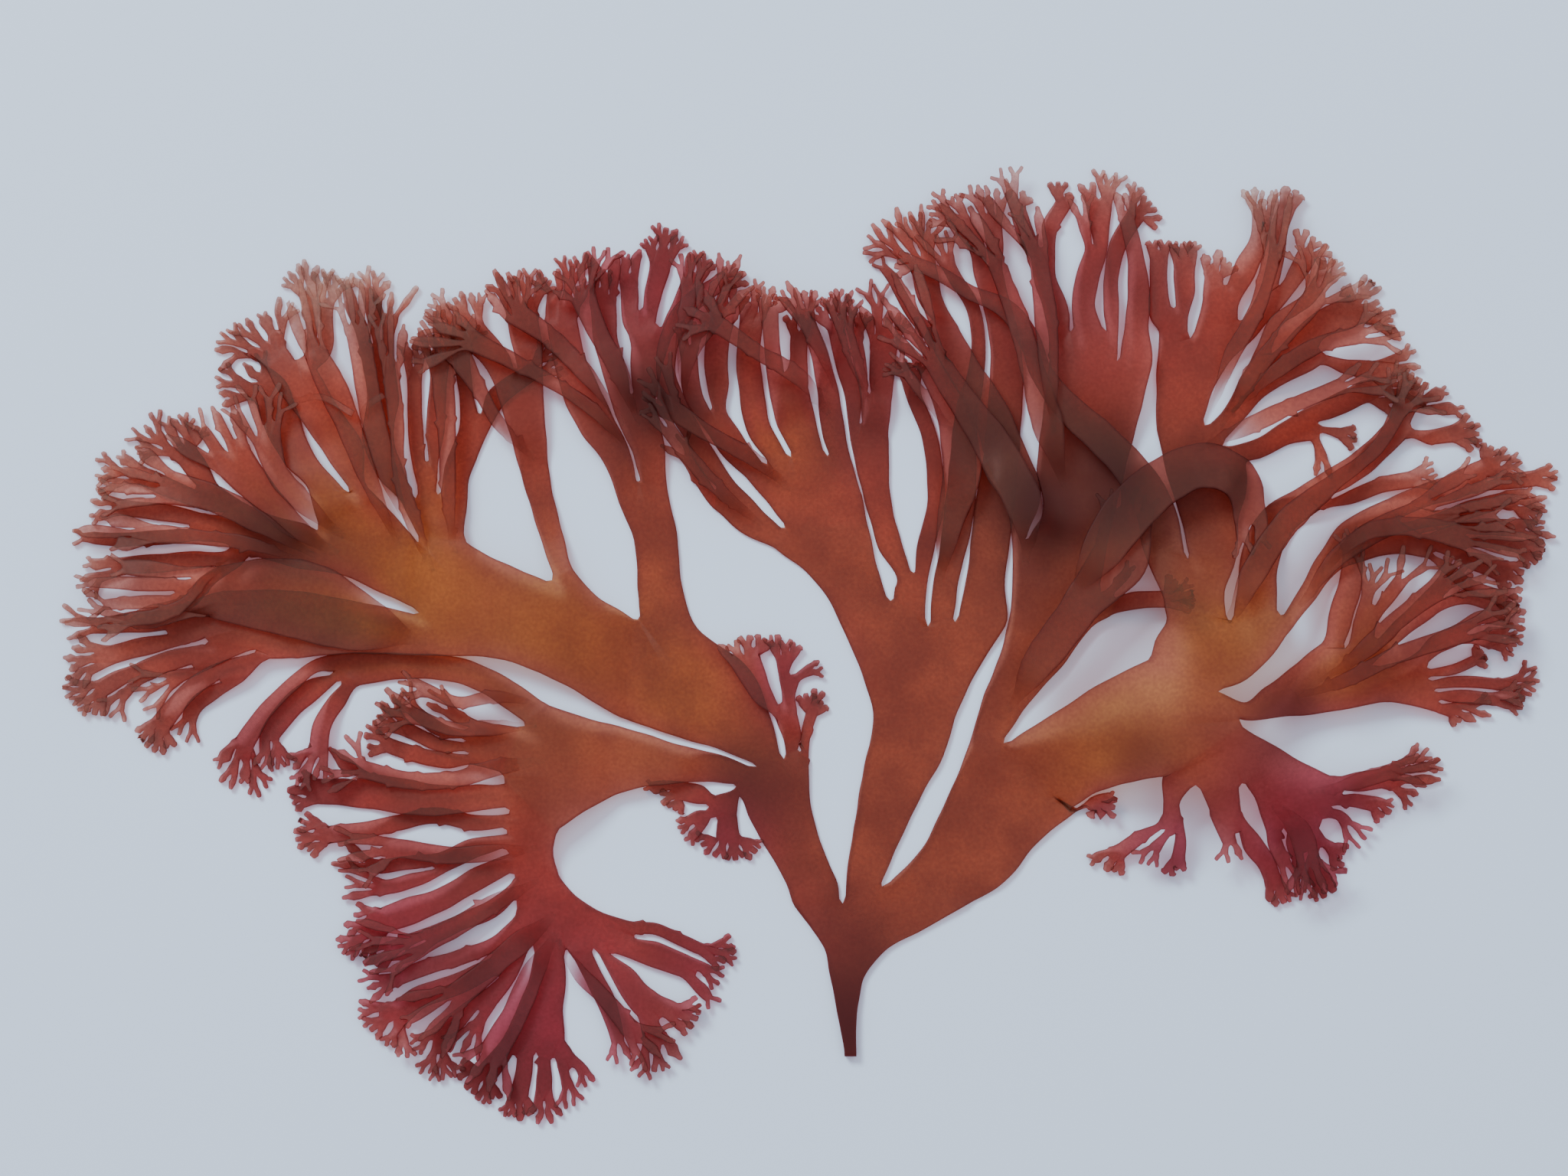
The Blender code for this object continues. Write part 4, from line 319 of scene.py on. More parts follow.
# The two fingers on either side of the tall oval bay
CENTRE_MIDDLE = Branch([(5.4, 55.3, 8.9, 54.3)], [(7.4, 56.7)], [Branch([(4.6, 60, 2.4), (3.5, 64, 2.7),
    (2.8, 68, 3.2), (2.3, 72, 4.2)], [(1.2, 74.2)], [fan([(0.3, 78, 1.7), (-0.9, 81.6, 1.6),
    (-1.6, 84.8, 1.6)], [(-4, 88.2), (-2.6, 89.6), (-1.2, 90.2)]), Branch([(3, 76.8, 3.2)], [(2.2, 77.6)],
    [fan([(1.2, 80.6, 1.1), (0.6, 84, 1.1)], [(-0.3, 88), (1, 87.8)]), fan([(3.6, 79.6, 2.6),
    (3.9, 83, 2.8)], [(1.4, 89.2), (2.9, 91.3), (4.6, 88), (6.2, 87.2)])])]), fan([(8.9, 60, 1.8),
    (10, 64.5, 1.6), (9.9, 69, 1.5), (9.2, 73, 1.5), (7.6, 77, 1.4)], [(5.8, 82.4), (7.6, 82)])])

# The upright lobe in the middle, flat on the surface for most of its length
CENTRE_LOBE = Branch([(0, 24.6, 5.4, 24.4), (0.9, 30, 8.1, 30), (1.9, 35, 11, 35.2), (2.6, 39.6, 12.3, 39.8),
    (1.3, 45, 14.4, 44.2), (-1.6, 51.6, 18.2, 50.4)], [(4.7, 53.4), (9.1, 50.4), (12.3, 50.9)],
    [CENTRE_LEFT_FANS, CENTRE_MIDDLE, Branch([(11.2, 55.5, 2.6), (12.2, 60, 2.8), (13, 66, 3),
    (13.3, 71, 2.8), (13.8, 76, 2.2), (14.8, 80.5, 1.5), (15, 84.5, 1.3), (14.2, 88.2, 1.2),
    (12.1, 91.5, 1.2), (10.8, 94.3, 1.1), (9.9, 97.6, 0.9)]), Branch([(15.8, 55.5, 4.4), (16.6, 61, 4.4),
    (17.2, 67, 4.2), (18, 73, 3.8), (18.3, 79, 3.6), (18, 84.5, 3.2), (16.8, 89.5, 2.8), (16.2, 91.6, 3)],
    [(16.1, 92.8)], [fan([(15, 94.4, 1.6), (13.2, 97.2, 1.8)], [(9.2, 98.6), (9.3, 101), (11.6, 101.3)]),
    fan([(16.9, 94.6, 1.7), (16.6, 97.6, 1.9)], [(14.3, 102.6), (16, 101.6), (17.8, 102.5)])])])

# The band that leans left across the centre lobe, and the fan at its end
DIAGONAL_BAND = Branch([(20.2, 65.6, 4.2), (18, 71, 4.4), (16, 76.2, 4), (13.4, 80.2, 3.6), (11.2, 84, 3.4)],
    [(9.5, 86.2)], [Branch([(7.4, 87, 1.1), (5.8, 89.6, 0.9), (4.4, 92, 0.9), (1.5, 94.2, 0.9)]),
    fan([(9.4, 88.6, 2.4), (8.6, 92.4, 2.6)], [(1.8, 96), (2.3, 97.8), (4, 99.4), (6.6, 99.8),
    (8.4, 99.6)])])

# The orange blade at the top and its four fingers
HIGH_BLADE = Branch([(22.4, 63.4, 30.4, 62), (21.8, 69, 32.2, 68.4), (22.6, 75.6, 33.8, 75.4),
    (23.2, 81.4, 35.2, 81)], [(25.8, 84.8), (29.8, 84.9), (31.1, 81.4)], [Branch([(24, 87.6, 2.5),
    (22.9, 91, 2.2), (22.6, 93.4, 2.4)], [(22.4, 94.8)], [fan([(20.8, 95.8, 1.7), (19.6, 99.4, 1.4)],
    [(18.2, 104.3), (20.9, 101.2)]), fan([(23.4, 97.4, 1.6), (24.9, 99.8, 1.5)], [(24.4, 102.7),
    (25.9, 101.6)])]), Branch([(27.3, 88, 2.4), (27.7, 91.2, 2.4), (28.7, 94, 2.2)], [(28.4, 95.2)],
    [Branch([(27.4, 97.4, 1.1), (26.4, 101.6, 0.9)]), fan([(29.2, 97.4, 2), (29.2, 99.8, 2.6)],
    [(27.6, 102.8), (30.3, 104.1)])]), fan([(30.5, 87.8, 1.5), (30.6, 91.8, 1.3), (31.6, 95.6, 1.6),
    (33.5, 98.6, 1.8)], [(33.9, 102.8), (35.4, 100.3), (36.6, 97.6)]), fan([(33.4, 85.6, 2.4),
    (33.8, 89.4, 2.2), (33.4, 93.4, 1.6), (32.4, 97.6, 1.4)], [(31.2, 102.2), (32.6, 101.4)])])

# The upright half of the right lobe
RIGHT_UPRIGHT_LOBE = Branch([(15.5, 41.6, 20.2, 40.2), (17.4, 47, 24.8, 45.8), (18.9, 53, 29, 50.8),
    (19, 57.6, 30.8, 51.8)], [(20.4, 60.6), (29.4, 54.4), (30.9, 53.9)], [DIAGONAL_BAND, HIGH_BLADE,
    Branch([(32.4, 56.8, 0.8), (33.4, 58.8, 0.8)]), fan([(32.4, 53.3, 1.7), (36.6, 53.6, 1.6)],
    [(38.2, 55.8), (40.3, 54.4), (40.2, 52.9)])])

# The finger that leans left over the upright half and ends in a dark comb
LEFT_LEANING_FINGER = fan([(35.9, 63, 4.4), (33.2, 68, 4), (29, 72.6, 3.4), (25, 76.2, 2.8), (22.2, 80, 2.4),
    (20.6, 84.4, 2.1), (18, 87.6, 1.8), (14, 89.4, 1.4), (10.4, 91.6, 1.3), (7.6, 92.8, 1.2)], [(5.2, 92),
    (5.5, 93.6)])

# The first upper right branch: three tall fans
UPPER_RIGHT_FIRST = Branch([(36, 77.6, 42.5, 77.8), (36, 81.4, 44.4, 81.4), (36.2, 84.6, 47.2, 84)],
    [(39.9, 84.2), (45.7, 86.3)], [Branch([(37.6, 86.2, 3.8)], [(37.9, 87.7)], [fan([(36.1, 91, 1.7),
    (36.2, 93.4, 1.7)], [(35.4, 95.9), (36.9, 95.8)]), fan([(39.2, 89.8, 2), (39.2, 92.4, 2.1)],
    [(37.9, 95.9), (38.9, 95.7), (39.9, 96)])]), Branch([(43.4, 88.4, 4)], [(43.9, 90.4)],
    [fan([(42.6, 91.2, 1.8)], [(41.6, 94.4), (43.2, 94.6), (44.6, 93.2)]), fan([(46.3, 92.4, 2.3),
    (47.9, 96, 1.8), (48.2, 98.4, 1.9)], [(46.7, 102.2), (48.4, 100.8), (49.8, 102.2)])]),
    Branch([(48.6, 87.9, 2.6)], [(50.2, 90.4)], [fan([(49.7, 93.2, 1.6), (50.2, 97, 1.6), (51.2, 99.6, 1.6)],
    [(51.2, 102.3), (52.8, 101.4)]), fan([(52, 91.4, 1.6), (53.4, 93.8, 2)], [(52.8, 97.3), (54.8, 95.8),
    (56.4, 94.6), (55.8, 92.4)])])])

# The second upper right branch, which fans out to the right
UPPER_RIGHT_SECOND = Branch([(43.7, 75.6, 45.9, 74.4), (45.7, 79.4, 49.2, 77.8), (47.4, 83, 54.8, 80.9)],
    [(49.2, 82.3), (54.8, 82.5)], [fan([(49.6, 85.9, 1.3), (53.4, 88.6, 1.2), (55, 90.9, 1.4)], [(56, 93.6),
    (57.8, 93)]), fan([(54.6, 85.4, 2.8), (57.8, 86.9, 3.2), (59.4, 87.6, 3)], [(57.6, 90.3), (61.5, 91.2),
    (62.4, 88), (64.3, 86.2), (66, 83.9)]), fan([(58, 80.9, 1.4), (60.8, 80.6, 1.6)], [(67.3, 82.8),
    (67.6, 80.9)])])

# The third upper right branch, with a hanging thread below it
UPPER_RIGHT_THIRD = Branch([(47.8, 71.3, 2), (51, 73, 2.3), (52.4, 75.4, 54, 72.2)], [(54.9, 74.2),
    (55.1, 73)], [fan([(57.2, 76.4, 2.3), (60, 77.8, 2.2)], [(67, 79.3), (68, 78), (64.6, 76.2)]),
    fan([(57.4, 73.1, 0.9)], [(59.6, 73.2), (59.4, 71.7)]), Branch([(55.2, 71, 0.8), (55.3, 69, 0.8),
    (54.9, 66.9, 0.8)])])

# The orange finger that rises between the bays and bends right
RIGHT_TALL_FINGER = Branch([(47.4, 54.6, 4.6), (48.2, 59, 4.2), (50.2, 62.8, 4), (53.8, 65.4, 3.2)],
    [(56.3, 65.4)], [Branch([(58.2, 68.4, 2.6), (61.6, 71, 2.6), (64, 73.4, 2.6)], [(65.7, 73.7)],
    [fan([(65, 76.2, 2.4)], [(65.4, 80.4), (67.4, 79.4), (70.6, 78.4), (72.9, 75.9)]),
    fan([(68.2, 72.6, 1.4), (70.6, 73, 1.7)], [(73.3, 74.6), (74.2, 73), (73.8, 71.6)])]),
    fan([(58.8, 65.6, 1.3), (62.2, 66.9, 1.5), (65.6, 67.6, 1.6)], [(68.6, 68.6), (68.8, 67)])])

# The narrow dark finger that opens into the far right fan
RIGHT_DARK_FINGER = Branch([(53.4, 54.2, 1.8), (56.4, 58.2, 2.8), (57.6, 62.6, 60.4, 58.2),
    (60.8, 64.4, 64, 58.9), (63, 65.4, 67.4, 58.4)], [(64.2, 62.6), (66.8, 61.2), (68, 59)],
    [Branch([(66.4, 65.5, 2.3), (70.4, 66.8, 2.6), (72.6, 67.6, 2.8)], [(74.4, 67.5)],
    [fan([(74.5, 68.9, 1.9)], [(75.4, 71.6), (77.4, 71), (79.4, 69.8)]), fan([(77.2, 67.4, 1.4),
    (80.4, 67.8, 1.5)], [(83, 68.8), (83.3, 67.2)])]), fan([(69, 62.8, 1.6), (72.8, 64.2, 1.6),
    (76.6, 65.2, 1.5)], [(80.4, 66), (82, 64.6), (81.2, 63.4)]), Branch([(70.2, 60.3, 3.6)], [(71.8, 61),
    (71.7, 59.4)], [fan([(73.4, 62, 1.6), (78, 62, 1.6)], [(82, 61.8), (82.8, 60.4)]),
    fan([(75.2, 60.2, 1.1), (78.4, 59.8, 1.1)], [(81.7, 59), (80.8, 57.8)]), fan([(73.2, 58, 1.9),
    (76, 57, 2)], [(79.4, 57), (79.2, 55.4), (77.2, 54.6)])]), fan([(69.8, 57.2, 1.1), (72.4, 55.2, 1.1),
    (75.6, 54, 1.2)], [(79, 54), (78.2, 52.8)])])

# The lobe that rises from the folded arm, thick and golden at its foot
ORANGE_LOBE = Branch([(35, 48.8, 45, 43.9), (36.6, 51.4, 49, 47.2), (36.4, 53, 51, 50)], [(44, 50.8),
    (49.8, 51.6)], [Branch([(35.4, 55.8, 43.4, 54.4), (34, 59.6, 44.8, 57.8)], [(39.3, 58)],
    [LEFT_LEANING_FINGER, Branch([(38.6, 63.6, 45.6, 62.8), (37.2, 68.4, 46.6, 66.8),
    (36, 73.4, 46.4, 69.4)], [(41.6, 74), (43.7, 71.6)], [UPPER_RIGHT_FIRST, UPPER_RIGHT_SECOND,
    UPPER_RIGHT_THIRD])]), RIGHT_TALL_FINGER, RIGHT_DARK_FINGER])

# The great fan at the right, past the narrow twist of the arm
RIGHT_FAN = Branch([(45.8, 40.6, 1.9), (48.6, 41.5, 3.4), (52.2, 42.8, 5.8), (54.9, 48.4, 61.6, 41.5)],
    [(57.7, 47.8), (61.4, 49), (60.8, 45.9)], [Branch([(57.3, 51.6, 2.4), (58.4, 55.4, 2.4), (58.6, 59, 1.8),
    (58.2, 62.6, 1.2)]), Branch([(60.2, 51.2, 2.3)], [(61.1, 52.9)], [Branch([(60.8, 55.4, 0.9),
    (61.7, 59.2, 0.8)]), Branch([(62.9, 54, 1.2), (65, 57, 1.2), (66.4, 60.4, 0.9)])]),
    Branch([(64.6, 50.4, 2), (67.6, 52.9, 2.4)], [(69.4, 53.7)], [fan([(69.2, 55.4, 1.6)], [(70.6, 58.8),
    (72.4, 57.4)]), fan([(71.6, 53.8, 1.3), (74.2, 53.2, 1.2)], [(76.8, 53.8), (77.4, 52)])]),
    Branch([(64.4, 46.4, 64.8, 41.4), (66.6, 47.6, 68.4, 40.4)], [(67.4, 45.6), (67.4, 44.2), (68.2, 42.8),
    (68.7, 41.6)], [Branch([(68.6, 48.2, 1.9), (70.8, 49.4, 2)], [(72, 49.6)], [fan([(73.4, 51.4, 1.3),
    (75.6, 51.4, 1.4)], [(77.8, 52.9), (79, 51.3)]), fan([(74.2, 49, 1.5)], [(78.7, 49.8), (79, 48.2)])]),
    fan([(70.8, 45.4, 0.9), (73.2, 46.4, 0.8)], [(74.3, 47.6), (74.9, 46.2)]), fan([(71.2, 43.9, 1),
    (76, 43.6, 1)], [(81, 44.6), (80.8, 43.2)]), fan([(71, 42.2, 1.2), (75.4, 41.9, 1.1)], [(79.3, 42.4),
    (79, 41.2)]), fan([(70.4, 40.6, 1.3)], [(75.6, 40.4), (73.8, 39.2), (71.4, 38.8)])])])

# The crimson fan that comes out from under the folded arm
ROSY_RIGHT_FAN = Branch([(48.4, 37, 36, 33)], [(45.1, 32.4), (39.8, 32.2)], [Branch([(52, 35, 46.4, 31),
    (56.2, 32.9, 48.3, 27.2)], [(57.2, 31), (56, 29.5), (55, 28), (50.5, 27)], [fan([(59.8, 32.2, 2.1),
    (62.6, 32.6, 2)], [(68.5, 36), (69.8, 34.4), (69.5, 32.4), (67.1, 29.8)]), fan([(58.8, 30, 1.3),
    (61.2, 29.6, 1.4)], [(63.8, 28.8), (62.4, 27.6)]), Branch([(57.2, 28.3, 1), (58.6, 26.4, 0.9),
    (59.4, 24, 0.9)]), Branch([(53, 25.8, 3.8)], [(54.8, 24.6), (53.4, 24.2)], [fan([(56.4, 24.4, 1)],
    [(58.2, 23.6), (57.4, 21.8)]), fan([(54.4, 22.4, 2), (55.3, 20.8, 1.9)], [(56.9, 18.9), (55, 18.1)]),
    Branch([(52.7, 22.6, 1.1), (53, 20.4, 1), (53.3, 18, 0.9)])]), Branch([(49.8, 24.8, 1.4),
    (50.9, 22.4, 1.2), (52, 19.8, 1), (52.4, 18, 0.9)])]), Branch([(43.4, 29.2, 3)], [(45, 26.6)],
    [fan([(46.8, 25.2, 2), (48.6, 22.9, 1.8), (49.6, 20.6, 1.6)], [(50.8, 17.6), (49.4, 17.8)]),
    Branch([(44.3, 24.8, 1.2), (45.1, 22.2, 0.9)])]), Branch([(37.2, 30, 1.6), (37.3, 28.2, 1.8)],
    [(37.6, 26.4), (36.6, 26.9)], [fan([(38.4, 25, 1), (38.3, 23.4, 1.1)], [(38.5, 21.7), (37.1, 21.2)]),
    Branch([(36, 25.2, 0.9), (33.7, 22, 0.9)]), fan([(33.8, 25.8, 1.1), (31.6, 24, 1.4)], [(31.2, 21.2),
    (29.8, 21.6), (27.8, 22.6)])])])

# The tuft of short fingers under the arm's lower edge
HIDDEN_TUFT = fan([(28.3, 29.6, 1.1)], [(31.4, 30.5), (31.3, 29.1), (29.7, 28.2), (28, 27.9)])

# The thick arm that arches to the right and folds at its end
FOLDED_ARM = Branch([(22.8, 39.8, 28.8, 31.2), (28.2, 43.4, 32.6, 32.4), (34.2, 46.6, 36, 33.2)],
    [(42.2, 42.9), (44.6, 39.6)], [ORANGE_LOBE, RIGHT_FAN, ROSY_RIGHT_FAN])

# Everything that the third lobe carries
RIGHT_LOBE = Branch([(8.3, 24.2, 18.4, 20.6), (11.4, 30.2, 22.4, 25.4), (14, 36.8, 27.4, 29.4)], [(18, 36.7),
    (25.8, 28.6)], [RIGHT_UPRIGHT_LOBE, FOLDED_ARM, HIDDEN_TUFT])

# The plant from its foot to the fork into three lobes
THALLUS = Branch([(-0.3, 3.3, 1.5), (-0.4, 6.5, 2.4), (-0.3, 9.6, 4), (-3.2, 12.8, 4, 12.2),
    (-4.6, 14.8, 8.2, 14.6), (-6.5, 17.4, 13.9, 17.8)], [(-0.9, 17.8), (3.7, 19.8)], [LEFT_LOBE, CENTRE_LOBE,
    RIGHT_LOBE])

# Sprays that lie over the blades: the first row of each is its foot, on the blade that carries it
SPRAYS = [
    fan([(-50, 48.6, 3), (-56, 50.4, 6), (-62.6, 53, 9), (-69, 54.2, 8.4), (-74.5, 54.4, 6)], [(-86, 50.6),
      (-90, 52.8), (-91, 55.6), (-87, 57.4)]),
    fan([(-60.5, 59, 3), (-65.5, 62.6, 3), (-69, 66, 3.7), (-72, 69.5, 4.8)], [(-80.5, 73), (-77.5, 75.4),
      (-75, 76.4), (-72.5, 76.4)]),
    fan([(-59.5, 61, 2.2), (-64, 65, 2.4), (-67, 68.5, 2.7), (-68.2, 72, 3.3)], [(-73, 77), (-70.6, 79),
      (-68, 79), (-66.2, 78)]),
    fan([(-62.5, 58.6, 2.2), (-69, 62.6, 2.5), (-75, 65.6, 3.3), (-79.5, 66.6, 4)], [(-88, 64.4),
      (-88.4, 66.8), (-87.2, 69.2), (-84, 71.6)]),
    fan([(-64, 58, 1.5), (-70.5, 60.2, 1.6), (-76, 60.8, 1.8), (-81, 61.2, 2.2)], [(-87.5, 59.8),
      (-91.5, 61.6), (-88, 63.2)]),
    fan([(-71.5, 58.4, 1.6), (-75.4, 55.8, 1.1), (-77.4, 53.4, 1.2), (-80.4, 51.8, 1.8), (-84, 51.2, 1.6)],
      [(-88, 49.6), (-92, 50.8), (-90.2, 52.8)]),
    fan([(-53, 60, 1.8), (-55.8, 66.5, 1.9), (-58, 72, 2.7), (-60.4, 78, 3.4), (-62.4, 82, 2.7)],
      [(-66, 88.6), (-64.8, 91.6), (-63, 90.6)]),
    fan([(-51.6, 62, 1.8), (-54, 68, 2.2), (-55.6, 74, 2.7), (-56.6, 79, 2.8), (-57.4, 83.6, 2.7)],
      [(-60.6, 90.4), (-59, 91.6), (-57.2, 91.6), (-55.6, 90.4)]),
    fan([(-49, 57, 1.6), (-51, 62.5, 1.8), (-52.6, 68, 1.5), (-53, 74, 1.8), (-53.6, 79, 1.9)], [(-55.4, 87),
      (-53.8, 88), (-52.2, 86)]),
    fan([(-46.4, 59, 1.8), (-47, 66, 1.6), (-47.2, 73, 2.1), (-47.6, 79, 2.5)], [(-50.6, 86), (-48.6, 87.6),
      (-46.8, 87.8), (-45.4, 86.4)]),
    fan([(-37, 70, 1.8), (-41, 74, 1.5), (-43.4, 78, 1.8), (-45.4, 81.4, 2.7)], [(-50.6, 85.6), (-49, 87.6),
      (-46.4, 88.2), (-44, 87.4)]),
    fan([(-25.6, 71, 1.5), (-30.5, 76, 1.6), (-35, 79, 1.6), (-40, 81.6, 1.9), (-44, 83.6, 2.5)],
      [(-51, 80.5), (-52, 83.6), (-50, 86), (-47, 87.4)]),
    fan([(-26.6, 74, 1.8), (-31, 80, 2.1), (-35, 84, 2.2), (-38.6, 86.6, 2.8)], [(-43, 90), (-41.6, 92),
      (-39.4, 92), (-37, 91)]),
    fan([(-24.8, 74, 1.6), (-27, 80, 2.1), (-29.6, 85, 2.5), (-31.2, 88.8, 3)], [(-35, 89.6), (-33.6, 92.4),
      (-31.6, 94), (-29.2, 94.6), (-27.2, 94.8)]),
    fan([(-20.6, 79.5, 1.5), (-19.4, 85, 1.6), (-18.8, 89.5, 1.9)], [(-20.2, 94), (-18.4, 94.4),
      (-16.8, 93.6)]),
    fan([(-7, 66.5, 1.9), (-12, 70.4, 1.8), (-17, 73.2, 1.9), (-20.4, 75.4, 2.4)], [(-25, 77), (-24.6, 80.4),
      (-22, 82.4)]),
    fan([(-10.5, 62.5, 2.2), (-15, 66, 1.6), (-18.4, 69.6, 1.8), (-21, 73, 1.8)], [(-24, 76),
      (-23.6, 78.6)]),
    fan([(-19.6, 77, 2.2), (-19, 82, 2.2), (-16.6, 86.4, 3.3)], [(-17.6, 91.2), (-15.4, 92.2), (-13.4, 92),
      (-11, 91)]),
    fan([(-2.6, 75.4, 2.5), (-6, 79.4, 1.9), (-11, 82.4, 1.8), (-15.4, 85.4, 2.1)], [(-20.4, 84.6),
      (-20, 87.6), (-17.4, 89.6)]),
    fan([(-1.6, 78, 1.9), (-3.8, 83, 1.6), (-5.4, 86, 1.9)], [(-8.6, 89.4), (-6.6, 90), (-4, 89.4)]),
    fan([(2.6, 76, 1.8), (0.6, 81, 1.6), (-0.8, 85, 1.9)], [(-3, 89.2), (-1.2, 89.6), (0.6, 89)]),
    fan([(10.4, 55, 1.9), (11.6, 62, 3.1), (13, 69, 4.4), (11.6, 76, 3.7), (9, 81, 2.7)], [(3.4, 80.4),
      (4.6, 84), (6.4, 86.4), (8.6, 85.6)]),
    fan([(12, 73, 1.8), (9, 76.6, 1.2), (6.6, 79.6, 1.2)], [(3.6, 80.6), (4.8, 82.6)]),
    fan([(25, 66.6, 2.2), (23, 73.6, 3.4), (21.2, 80, 3), (19.4, 86.4, 2.4), (17, 92.6, 2)], [(10.2, 97.4),
      (10, 100), (13.4, 100)]),
    fan([(23.6, 73, 1.8), (23, 80, 2.2), (22.6, 87, 2.5), (22, 92.6, 2.2)], [(14.8, 101.6), (17.8, 103),
      (19, 99.6), (21.6, 99.8)]),
    fan([(18.6, 40.6, 2.4), (21.8, 46.2, 3.6), (26.4, 52.6, 4.6), (31.4, 59, 6.6), (32, 62.6, 6)],
      [(29.6, 66.4), (32.4, 67), (35, 66)]),
    fan([(25.4, 53.6, 2.6), (28.6, 58.6, 4.6), (32, 63.4, 5.6), (36.6, 67.4, 5.6), (41.4, 69.2, 5.2),
      (45.4, 67.2, 4.6), (46.6, 62.6, 4)], [(47.6, 58.8), (45.4, 58.2)]),
    fan([(20.6, 58, 2.6), (20, 64.6, 4.4), (17.2, 70.4, 4.4), (13.4, 76, 3.6), (10, 81, 2.8)], [(3, 85.4),
      (3.2, 89), (4.6, 92), (7.4, 92.6)]),
    fan([(43.4, 50, 2.5), (46.6, 56.6, 3), (50.4, 62.4, 3), (56, 67, 2.1), (61.6, 71.4, 1.6),
      (64.2, 75.6, 1.8)], [(62, 80.4), (65.6, 80.2), (68.2, 78.2), (70, 75.8)]),
    fan([(51.6, 52, 1.6), (56, 58, 2.1), (61, 61.6, 2.5), (66, 63.4, 3.3)], [(73, 69.2), (77, 68),
      (79.6, 65.8), (77.6, 63.6)]),
    fan([(54.4, 56.6, 1.5), (60, 61.4, 1.9), (66, 62, 2.4), (71, 60.8, 2.8)], [(77.6, 62.2), (80.2, 60.8),
      (79, 58.6), (76.2, 57.2)]),
    fan([(54.6, 44, 1.6), (60, 48, 2.1), (64, 51.6, 2.2), (68, 54.6, 2.7)], [(70.6, 58.6), (73.4, 58.2),
      (75.6, 56.6), (77.2, 54.6)]),
    fan([(52, 42.2, 1.6), (57.5, 44.4, 1.7), (63, 47, 1.9), (68, 48.6, 2.2), (72, 50, 2.5)], [(76.2, 53.4),
      (78, 51.2), (77.8, 48.8)]),
    fan([(43.6, 74, 1.8), (47, 80, 2.2), (51, 85, 2.2), (54, 88.6, 2.7)], [(52, 95.6), (54.4, 95.2),
      (57, 92.8), (60.4, 90)]),
    fan([(42, 75, 1.6), (44.4, 82, 1.9), (47.6, 88, 1.9), (49, 93, 2.1)], [(47.2, 101.4), (49.6, 101.8),
      (51.4, 101)]),
    fan([(44.6, 75.6, 1.5), (50, 80.6, 1.8), (55, 83.4, 1.9), (59, 84.4, 2.1)], [(61.2, 88.2), (63.6, 86.2),
      (65, 83.8)]),
    fan([(40.4, 71, 1.9), (46, 73.6, 1.9), (52, 76.4, 1.8), (57, 78.4, 1.9)], [(60, 81.4), (62.6, 80.4),
      (64, 78)]),
    fan([(-34.8, 16.6, 2.5), (-38.6, 13.4, 2.6), (-42, 10.6, 2.7), (-45.6, 7.6, 3)], [(-48, -0.2),
      (-50.6, 1.4), (-52.6, 3.8), (-53.6, 6.6)]),
    fan([(-34.5, 14.5, 2.7), (-37.4, 9.4, 2.8), (-39.6, 4.6, 3), (-41.6, 1, 3.3)], [(-40, -5.6),
      (-42.6, -4.6), (-45, -3.2), (-46.6, -0.8)]),
    fan([(-36.6, 20.6, 1.9), (-41, 18.4, 2), (-45.6, 15.6, 2.2), (-50, 13.4, 2.7)], [(-55.6, 8.8),
      (-57.4, 11), (-58.6, 13.6), (-58.2, 16)]),
    fan([(-36.8, 24.4, 1.9), (-41.6, 24, 2), (-47, 23.6, 2.1), (-52.6, 24.4, 2.2)], [(-57.6, 20.8),
      (-60.2, 23), (-60.6, 25.8)]),
    fan([(-34.4, 13.6, 1.9), (-31.6, 9.6, 1.9), (-28.6, 6.6, 1.9), (-26, 3.6, 2.2)], [(-19.8, 2.2),
      (-21.8, -0.2), (-24, -1.6)]),
    fan([(-36, 34.6, 2.2), (-41, 34, 2), (-46, 32.6, 1.9), (-52, 32.4, 2.1), (-57, 33.6, 2.1)],
      [(-61.6, 30.8), (-62.4, 33), (-61, 36.4), (-58.6, 38.2)]),
    fan([(-37, 38.8, 1.9), (-41.6, 38.6, 1.8), (-46.6, 38.4, 1.6), (-51, 40, 1.8)], [(-55.4, 38),
      (-56, 40.6), (-54.6, 43)]),
    fan([(-36.6, 41.4, 1.6), (-41.6, 42.2, 1.5), (-46, 41.6, 1.4), (-49.6, 43, 1.6)], [(-52.6, 42),
      (-53, 44.4)]),
    fan([(49, 30, 2.5), (52, 26.6, 2.7), (53, 23.4, 2.7)], [(57.4, 20.8), (55.6, 19), (53, 18.4),
      (50.6, 19)]),
    fan([(54, 31, 1.9), (58.6, 32.4, 1.8), (62.6, 33.6, 1.8)], [(66.4, 35.4), (68.6, 34.4), (67.6, 32)]),
    Branch([(-66, 76.2, 1.6), (-62, 77.2, 0.8), (-58, 75.2, 0.8)], forks=0),
    Branch([(-57.6, 73.6, 1.6), (-56.2, 76.2, 0.8), (-54.4, 77.4, 0.7)], forks=0),
]


@dataclass(frozen=True)
class Cut:
    """How finely a blade is cut into rows, and how its finger ends are drawn.

    Attributes:
        row_step: distance between rows along a branch.
        tip_width: width of a finger at its end.
        finger_width: greatest width of a finger halfway along.
        fine: whether fans get broad webs, and edges their rounded notches, waves and teeth.
    """

    row_step: float
    tip_width: float
    finger_width: float
    fine: bool


@dataclass(frozen=True)
class ForkHabit:
    """How a finger's end forks.

    Attributes:
        back: how far behind the old end the fork stands, at least and at most.
        counts: how many new ends there may be, each as likely as it is listed often.
        room: width that the finger widens to for each new end.
        spread: how far apart the new ends point, at least and at most.
        width: width of a new end, at least and at most.
    """

    back: Pair
    counts: tuple[int, ...]
    room: float
    spread: Pair
    width: Pair


